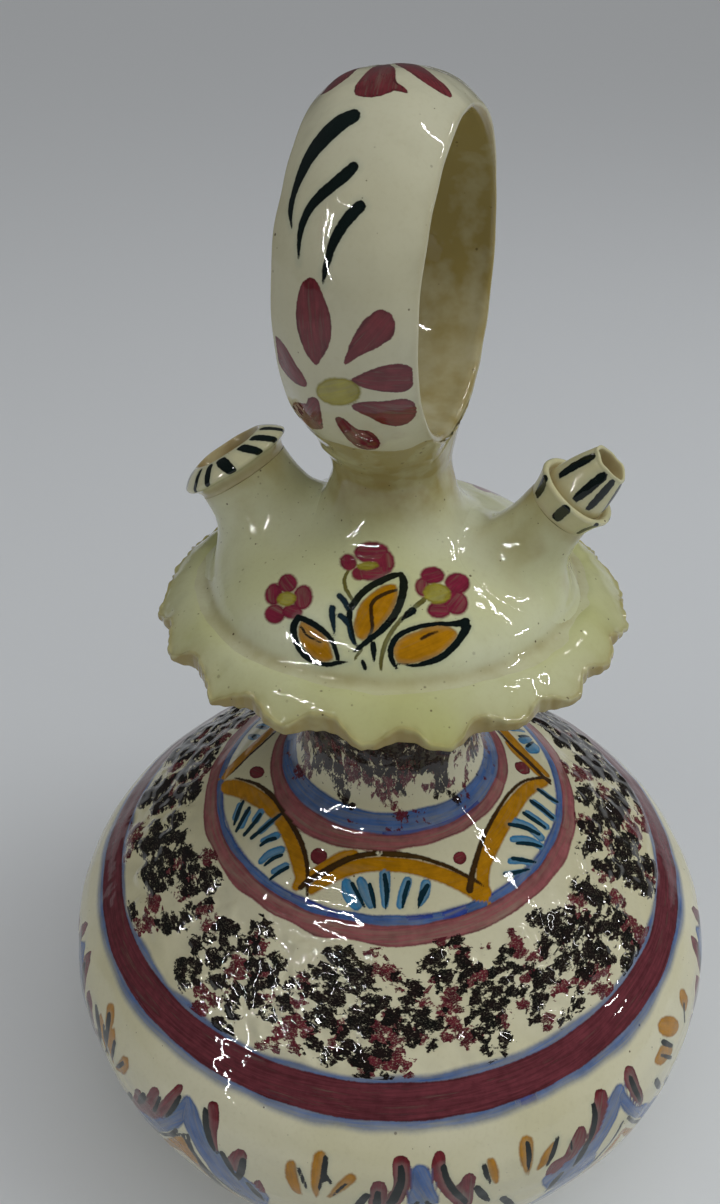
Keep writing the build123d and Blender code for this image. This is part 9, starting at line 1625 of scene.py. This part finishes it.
for a, r1 in ((62, 10.5), (-62, 10.5), (22, 18.5), (-22, 18.5)):      # the petals that lie behind
    u = np.linspace(0, 1, 12)
    w = 3.3 * np.sin(np.clip(u, 0.02, 0.98) ** 1.5 * math.pi) ** 0.7
    x, y = 5.5 + r1 * np.r_[u, u[::-1]], np.r_[w, -w[::-1]]
    c, d = math.cos(math.radians(a)), math.sin(math.radians(a))
    TOP_PETALS.append(("bur", 0, tuple(np.stack([112 + (x * c - y * d) / 0.78, np.clip(x * d + y * c, -15.6, 15.6)], -1).ravel())))
for col, layer, t in [q for q in PAINT["ring_handle"] if max(q[2][::2]) < 80] + TOP_PETALS:
    p = pairs(t)
    x = np.clip(p[:, 1], -15.7, 15.7)
    s = np.sign(x) * np.interp(np.abs(x), crown[:, 0], SEC.s[:len(crown)])
    rad = 44.7 - 6.1 * (np.abs(x) / 15.95) ** 2
    for side in (0, 1) if p[:, 0].max() < 64 and col != "dk" else (0,):      # the low flower comes again on the far side
        pt.outline(layer, "pet" if col == "bur" else col, 180 - p[:, 0] if side else p[:, 0], -s if side else s, rad)
pt.attach(ringo)
# painted shade: the ring's inner face browner and darker towards its top, and its outer face darker towards the bottom;
# a brown line where the glaze runs thin over the edges of the crown
inside_ring = ~on
low = sstep(RING_Z - 24 - co[..., 2].ravel(), 0, 16)
floats(ringo, warm=np.where(inside_ring.ravel(), 0.68 + 0.40 * sstep(co[..., 2].ravel(), 272, 306), 0.04 + 0.34 * low) + 0.18 * np.exp(-((np.abs(SX.ravel()) - s_side) / 1.5) ** 2))
finish_piece(ringo, "ring_handle", PAINTED)


# ------------------------------------------------------------------ tubes on the dome
def tube(name, origin, axis, prof, bore_r, t_top, n, k):
    """A short tube whose foot flows into the dome."""
    q = TAU * np.arange(n) / n
    P = np.asarray(prof, float)
    dense = cubic(P[np.argsort(-P[:, 1])], 600)[::-1]
    dense = np.vstack([[(dense[0, 0] + 2.0, dense[0, 1] - 12)], dense])
    a = np.asarray(axis, float)
    o3 = np.asarray(origin, float)

    def rad(t):
        return np.interp(t, dense[:, 1], dense[:, 0])

    def world(r, t):
        return place(np.stack([r * np.cos(q), r * np.sin(q), t], -1), origin, axis)

    def tube_d(p):
        w = p - o3
        t = w @ a
        r = np.linalg.norm(w - t[:, None] * a, axis=1)
        return (r - rad(t)) * 0.97

    def sink_to(r_of, depth):
        """How far down each line of the tube comes to depth under the skin of the dome."""
        ts = np.linspace(t_top, t_top - 46, 300)
        F = np.array([core_d(world(r_of(np.full(n, t)), np.full(n, t))) for t in ts])
        x = ts[np.argmax(F < -depth, axis=0)]
        for _ in range(10):
            x = (np.roll(x, 1) + 2 * x + np.roll(x, -1)) / 4
        return x

    kq = k * (1 - 0.5 * np.clip(-np.sign(a[0]) * np.sin(q), 0, 1) ** 2)      # less room towards the stem
    L = t_top - sink_to(rad, -kq)
    wall = np.array([world(rad(t_top - L * w), t_top - L * w) for w in np.linspace(0, 1, 30)])
    wall += (0.10 * soft2(wall) * np.minimum(sstep(np.arange(30), 2, 12), sstep(29 - np.arange(30), 0, 9))[:, None])[..., None] * np.array([0.3, -0.8, 0.5])
    foot_ = skirt(wall[-1], tube_d, core_d, kq, 30, 0.4)
    out = np.vstack([wall, foot_[1:]])[::-1]
    t_in = sink_to(lambda t: np.full(n, bore_r), 1.5)
    inn = np.array([world(np.full(n, bore_r), t_top - (t_top - t_in) * w) for w in np.linspace(0, 1, 8)])
    under = []
    for w in (0.85, 0.7, 0.55, 0.4, 0.25, 0.12):             # the hidden underside keeps below the skin of the dome
        P = foot_[-1] * (1 - w) + inn[-1] * w
        for _ in range(5):
            P = P - grad(core_d, P) * np.maximum(core_d(P) + 1.0 + 1.5 * w, 0)[:, None]
        under.append(P)
    co = np.vstack([out, inn, np.array(under)])
    o = grid_object(name, co, (len(out) - 1, len(out), len(out) + len(inn) - 1))
    m = np.zeros(co.shape[:2])
    m[:len(out)] = 1
    w = np.zeros(co.shape[:2])
    w[:len(out)] = np.linspace(0, 1, len(out))[:, None]       # 1 at the rim
    return o, m, w


PLAIN = glaze("cream_glaze", layers=0, specks=SPECKS, cream=(0.72, 0.735, 0.52), cream2=(0.66, 0.67, 0.37), ripple=0.06)
ftube, m, w = tube("filler_mouth_tube", FILLER_O, FILLER_A, [(18.5, -30), (15.6, -21), (14, -14), (13.6, -8)], 9.0, -8.0, 260, 9.0)
smudge = waves(90, 9, 26)
# browner up under the lip where the glaze pools, brown smudges, and painted shade inside the bore
floats(ftube, warm=np.where(m > 0, 0.04 + 0.16 * sstep(w, 0.2, 0.7) + 0.22 * sstep(w, 0.78, 1.0), 0.9).ravel() + (0.12 * sstep(w, 0.06, 0.4)).ravel() * sstep(smudge(coords(ftube)), 0.2, 1.6))
finish_piece(ftube, "filler_tube", PLAIN)
stube, m, w = tube("spout_tube_body", SPOUT_O, SPOUT_A, [(14.5, -22), (12, -14.5), (10, -7.5), (9.2, 0)], 4.6, 0.0, 240, 8.0)
v = coords(stube)
floats(stube, warm=np.where(m > 0, 0.04 + 0.16 * sstep(w, 0.2, 0.7) + 0.20 * sstep(w, 0.74, 1.0), 0.6).ravel() + (sstep(w, 0.06, 0.4)).ravel() * (0.14 + 0.18 * sstep(v[:, 0], 30, 52)) * sstep(smudge(v), -0.4, 1.4))
TO_LEAN = [(stube, False)]
finish_piece(stube, "spout_tube", PLAIN)


def rim(name, origin, axis, prof, n, dashes, p_in, p_out, width, step, uneven=0.10, seed=50):
    """A small turned rim with painted dashes. A dash goes from p_in to p_out on the profile: (degrees at p_in, at p_out, width)."""
    c = Curve(prof)
    rows = steps((0, step), (c.s[-1], 1))[:-1]
    co, PH, S, RR = turned(c, rows, np.zeros((0, 2)), n)
    loc = co.copy()
    w = waves(seed, 8, 22)(loc)
    co[..., :2] *= (1 - (0.5 + 0.5 * w[..., None]) * uneven / np.clip(RR, 3, None)[..., None])
    co[..., 2] += 0.10 * waves(seed + 1, 9, 20)(loc) * (RR > 5)
    o = grid_object(name, place(co, origin, axis), ())
    pt = Paint(PH, S, RR, layers=1)
    s0, s1 = c.near(p_in), c.near(p_out)
    rg = np.random.default_rng(seed)
    for a0, a1, wd in dashes:
        u = np.linspace(0, 1, 14)
        mid = a0 + (a1 - a0) * u
        s = s0 + (s1 - s0) * u
        r = np.interp(s, c.s, c.X[:, 0])
        half = wd / 2 * (0.50 + 0.62 * np.sin(np.clip(u * 0.86 + 0.10, 0, 1) * math.pi) ** 0.6) * rg.uniform(0.94, 1.06, 14)
        half[0], half[-1] = wd * 0.22, wd * 0.30
        da = np.degrees(half / r)
        pt.outline(0, "dk", np.r_[mid - da, (mid + da)[::-1]], np.r_[s, s[::-1]], np.r_[r, r[::-1]])
    pt.attach(o)
    return o, PH, S, RR, loc


def lean(o, askew=False):
    """The spout was pushed a little towards the stem while it was soft, and the end of the nozzle was cut askew."""
    P = coords(o)
    a3, o3 = np.array(SPOUT_A), np.array(SPOUT_O)
    inner = np.array([-a3[2], 0, a3[0]])
    t = (P - o3) @ a3
    if askew:
        up = (np.clip(t - 5.6, 0, None) / 10) * (2.4 + 0.15 * ((P - o3) @ inner)) + 0.14 * waves(77, 3, 7)(P) * sstep(t, 12.5, 15.3)
        P = P + up[:, None] * a3 - (0.10 * np.clip(t - 5.6, 0, None))[:, None] * inner
    P = P + 1.6 * sstep(t, -17, 1)[:, None] * inner
    o.data.vertices.foreach_set("co", (P * MM).ravel().astype(np.float32))
    o.data.update()


def arcs(*parts):
    return np.vstack([np.asarray(q, float) for q in parts])


STRIPED = glaze("striped_glaze", layers=1, cream=(0.71, 0.68, 0.45), cream2=(0.66, 0.62, 0.36), warm=(0.40, 0.29, 0.12))
lip_prof = arcs([(9.05, -8), (13.55, -8)], arc3((13.55, -8), (14.15, -6.0), (16.1, -4.5))[1:], arc3((16.1, -4.5), (16.62, -3.7), (16.2, -2.9))[1:],
                arc3((16.2, -2.9), (13.9, -0.95), (11.3, 0.25))[1:], arc3((11.3, 0.25), (10.6, 0.3), (10.1, -0.2), 8)[1:],
                cubic([(10.1, -0.2), (9.7, -1.4), (9.4, -4), (9.05, -8)], 12)[1:])
lip_dashes = [(71, 82, 2.9), (49, 59, 3.0), (18, 27, 3.3), (2, -3, 2.2), (-18, -23, 1.7), (97, 106, 2.6), (124, 131, 2.6), (151, 155, 2.6),
              (177, 178, 2.5), (203, 203, 2.6), (230, 228, 2.5), (256, 253, 2.4), (286, 282, 2.3), (313, 309, 2.0)]
lip, PH, S, RR, loc = rim("filler_mouth_lip", FILLER_O, FILLER_A, lip_prof, 260, lip_dashes, (11.6, 0.1), (16.4, -4.3), 2.6, 0.36)
# painted shade inside the mouth; browner under the lip, where the glaze pools and where painted shade falls
under = (loc[..., 2] < -4.6) & (RR > 12)
floats(lip, warm=np.clip(0.03 + 0.80 * sstep(11.2 - RR, 0, 0.9) + 0.44 * under * sstep(-4.6 - loc[..., 2], 0, 1.5), 0, 1).ravel())
finish_piece(lip, "filler_lip", STRIPED)

cup_prof = arcs([(4.6, 0), (9.2, 0)], arc3((9.2, 0), (9.85, 3.1), (11.1, 6.2))[1:], arc3((11.1, 6.2), (10.5, 7.2), (9.5, 6.9))[1:], [(8.7, 5.6), (4.6, 5.6)], [(4.6, 0)])
cup_dashes = [(-58, -56, 2.9), (-6, -5, 2.6), (46, 45, 1.9), (84, 84, 2.0), (122, 121, 2.2), (166, 166, 2.3), (210, 211, 2.3), (252, 252, 2.3)]
cup, PH, S, RR, loc = rim("spout_cup", SPOUT_O, SPOUT_A, cup_prof, 240, cup_dashes, (10.7, 6.95), (9.3, 0.9), 2.2, 0.30, seed=60)
# painted shade in the recess round the nozzle and under the cup
floats(cup, warm=np.clip(0.04 + 0.62 * sstep(9.7 - RR, 0, 0.9) * (loc[..., 2] > 5) + 0.30 * sstep(2.0 - loc[..., 2], 0, 2), 0, 1).ravel())
TO_LEAN.append((cup, False))
finish_piece(cup, "spout_collar", STRIPED)

noz_prof = arcs([(4.6, 5.6), (8.5, 5.6)], arc3((8.5, 5.6), (7.1, 11.4), (5.45, 15.3))[1:], arc3((5.45, 15.3), (5.05, 15.95), (4.5, 15.6), 8)[1:],
                cubic([(4.5, 15.6), (4.15, 14.2), (3.75, 12.4), (3.6, 10.4)], 8)[1:], [(4.6, 5.6)])
noz_dashes = [(-64, -61, 2.6), (-4, -6, 2.5), (26, 25, 2.1), (68, 68, 2.1), (116, 116, 2.2), (164, 164, 2.2), (214, 214, 2.2)]
noz, PH, S, RR, loc = rim("spout_jet_nozzle", SPOUT_O, SPOUT_A, noz_prof, 220, noz_dashes, (5.4, 15.35), (8.1, 7.8), 2.2, 0.28, seed=70)
floats(noz, warm=np.clip(0.03 + 0.6 * sstep(4.75 - RR, 0, 0.5) + 0.5 * sstep(8.4 - loc[..., 2], 0, 2.2), 0, 1).ravel())
TO_LEAN.append((noz, True))
for piece, askew in TO_LEAN:
    lean(piece, askew)
finish_piece(noz, "spout_nozzle", STRIPED)


# ------------------------------------------------------------------ foot and base
foot_prof = np.vstack([arc3((56.5, 1.6), (56.97, 0.47), (58.1, 0.0), 8), arc3((64.3, 0.0), (65.6, 0.45), (66.4, 1.6), 8), [(69, 7), (54, 7), (56.5, 1.6)]])
fc = Curve(foot_prof)
rows = steps((0, 0.8), (fc.s[-1], 1))[:-1]
co, PH, S, RR = turned(fc, rows, np.zeros((0, 2)), 360)
co[..., :2] *= 1 - 0.0016 * (0.5 + 0.5 * waves(81, 10, 30)(co))[..., None]
foot = grid_object("turned_foot", co, ())
finish_piece(foot, "foot_ring", CLAY)
base_prof = np.array([(2.0, 7.0), (63.6, 7.0), (64, 7.4), (64, 13.1), (63.6, 13.5), (2.0, 13.5), (2.0, 7.0)])
bc = Curve(base_prof)
rows = steps((0, 2.2), (bc.s[-1], 1))[:-1]
co, PH, S, RR = turned(bc, rows, np.zeros((0, 2)), 240)
r = np.hypot(co[..., 0], co[..., 1])
co[..., :2] *= np.where(r < 2.6, 0.0005, 1.0)[..., None]
co[..., 2] = np.where((co[..., 2] < 9), co[..., 2] + 0.12 * (1 + np.sin(r * TAU / 5.5)) * sstep(62 - r, 0, 4), co[..., 2])   # turning marks
base = grid_object("base_slab", co, ())
finish_piece(base, "base_disc", CLAY)


# ------------------------------------------------------------------ floor, light, camera
fl = bpy.data.meshes.new("floor")
fl.from_pydata([(-30, -30, 0), (30, -30, 0), (30, 30, 0), (-30, 30, 0)], [], [(0, 1, 2, 3)])
floor = bpy.data.objects.new("floor", fl)
bpy.context.scene.collection.objects.link(floor)
k = Net("pale_floor")
k.bsdf.inputs["Base Color"].default_value = (0.80, 0.82, 0.84, 1)
k.bsdf.inputs["Roughness"].default_value = 0.7
floor.data.materials.append(k.mat)

world = bpy.data.worlds.new("soft_room")
world.use_nodes = True
bg = world.node_tree.nodes["Background"]
bg.inputs[0].default_value = (*lin(208, 212, 214), 1)
bg.inputs[1].default_value = 0.09
bpy.context.scene.world = world


def area(name, az, el, dist, size, power, aim=(0, 0, 0.18), color=(1, 1, 1), roll=0.0, diffuse=True, glossy=True):
    a, e = math.radians(az), math.radians(el)
    p = Vector(aim) + Vector((math.cos(a) * math.cos(e), math.sin(a) * math.cos(e), math.sin(e))) * dist
    d = bpy.data.lights.new(name, "AREA")
    d.shape = "RECTANGLE"
    d.size, d.size_y = size
    d.energy = power
    d.color = color
    o = bpy.data.objects.new(name, d)
    z = (p - Vector(aim)).normalized()
    x = Vector((0, 0, 1)).cross(z).normalized()
    y = z.cross(x)
    M = Matrix((x, y, z)).transposed() @ Matrix.Rotation(math.radians(roll), 3, "Z")
    o.matrix_world = Matrix.Translation(p) @ M.to_4x4()
    bpy.context.scene.collection.objects.link(o)
    o.visible_diffuse = diffuse
    o.visible_glossy = glossy
    return o


def sun(name, az, el, strength, spread):
    d = bpy.data.lights.new(name, "SUN")
    d.energy = strength
    d.angle = math.radians(spread)
    o = bpy.data.objects.new(name, d)
    a, e = math.radians(az), math.radians(el)
    o.rotation_mode = "QUATERNION"
    o.rotation_quaternion = Vector((math.cos(a) * math.cos(e), math.sin(a) * math.cos(e), math.sin(e))).to_track_quat("Z", "Y")
    bpy.context.scene.collection.objects.link(o)
    o.visible_glossy = False
    return o


sun("ceiling", -22, 68, 1.12, 76)
area("from_right", 12, 44, 1.5, (0.9, 0.9), 5.8, color=(0.93, 0.97, 1.0), glossy=False)
area("from_left", -125, 40, 1.5, (0.9, 0.9), 2.2, glossy=False)
area("tube_right", 28, 50, 2.0, (1.2, 0.016), 5.4, roll=45, diffuse=False)
area("tube_right_far", 55, 39, 2.0, (0.35, 0.014), 1.6, roll=30, diffuse=False)
area("tube_right_low", 8, 24, 2.0, (0.10, 0.030), 1.1, diffuse=False)
area("tube_left_high", -120, 56, 2.0, (0.85, 0.007), 5.5, diffuse=False)
area("tube_left", -127, 28, 2.0, (1.5, 0.008), 15.0, roll=-43, diffuse=False)
area("tube_left_short", -130, 37, 2.0, (0.30, 0.008), 1.6, roll=-43, diffuse=False)

U = 98.3
L, H, yaw, pitch, roll = 2.4829069, 2.71118385, -0.03760422, 0.59307023, -0.00841835
beta = 0.2956
ax_n, ax_e = Vector((math.cos(beta), -math.sin(beta), 0)), Vector((math.sin(beta), math.cos(beta), 0))


def turn_in(v):
    return Vector((v.dot(ax_n), v.dot(ax_e), v.z))


fwd0, right0, up0 = Vector((math.sin(yaw), math.cos(yaw), 0)), Vector((math.cos(yaw), -math.sin(yaw), 0)), Vector((0, 0, 1))
fwd = fwd0 * math.cos(pitch) - up0 * math.sin(pitch)
upv = up0 * math.cos(pitch) + fwd0 * math.sin(pitch)
right = right0 * math.cos(roll) + upv * math.sin(roll)
up2 = upv * math.cos(roll) - right0 * math.sin(roll)
eye = turn_in(Vector((0, -L, H))) * U * MM + Vector((0, 0, 1.02 * U * MM))
cam = bpy.data.cameras.new("photo_view")
cam.sensor_fit = "AUTO"
cam.sensor_width = 36
cam.lens = 36 * 1000 / 1204
cam.clip_start = 0.01
co_ = bpy.data.objects.new("photo_view", cam)
co_.matrix_world = Matrix.Translation(eye) @ Matrix((turn_in(right), turn_in(up2), -turn_in(fwd))).transposed().to_4x4()
bpy.context.scene.collection.objects.link(co_)
bpy.context.scene.camera = co_
bpy.context.scene.view_settings.view_transform = "Standard"

bpy.context.view_layer.update()
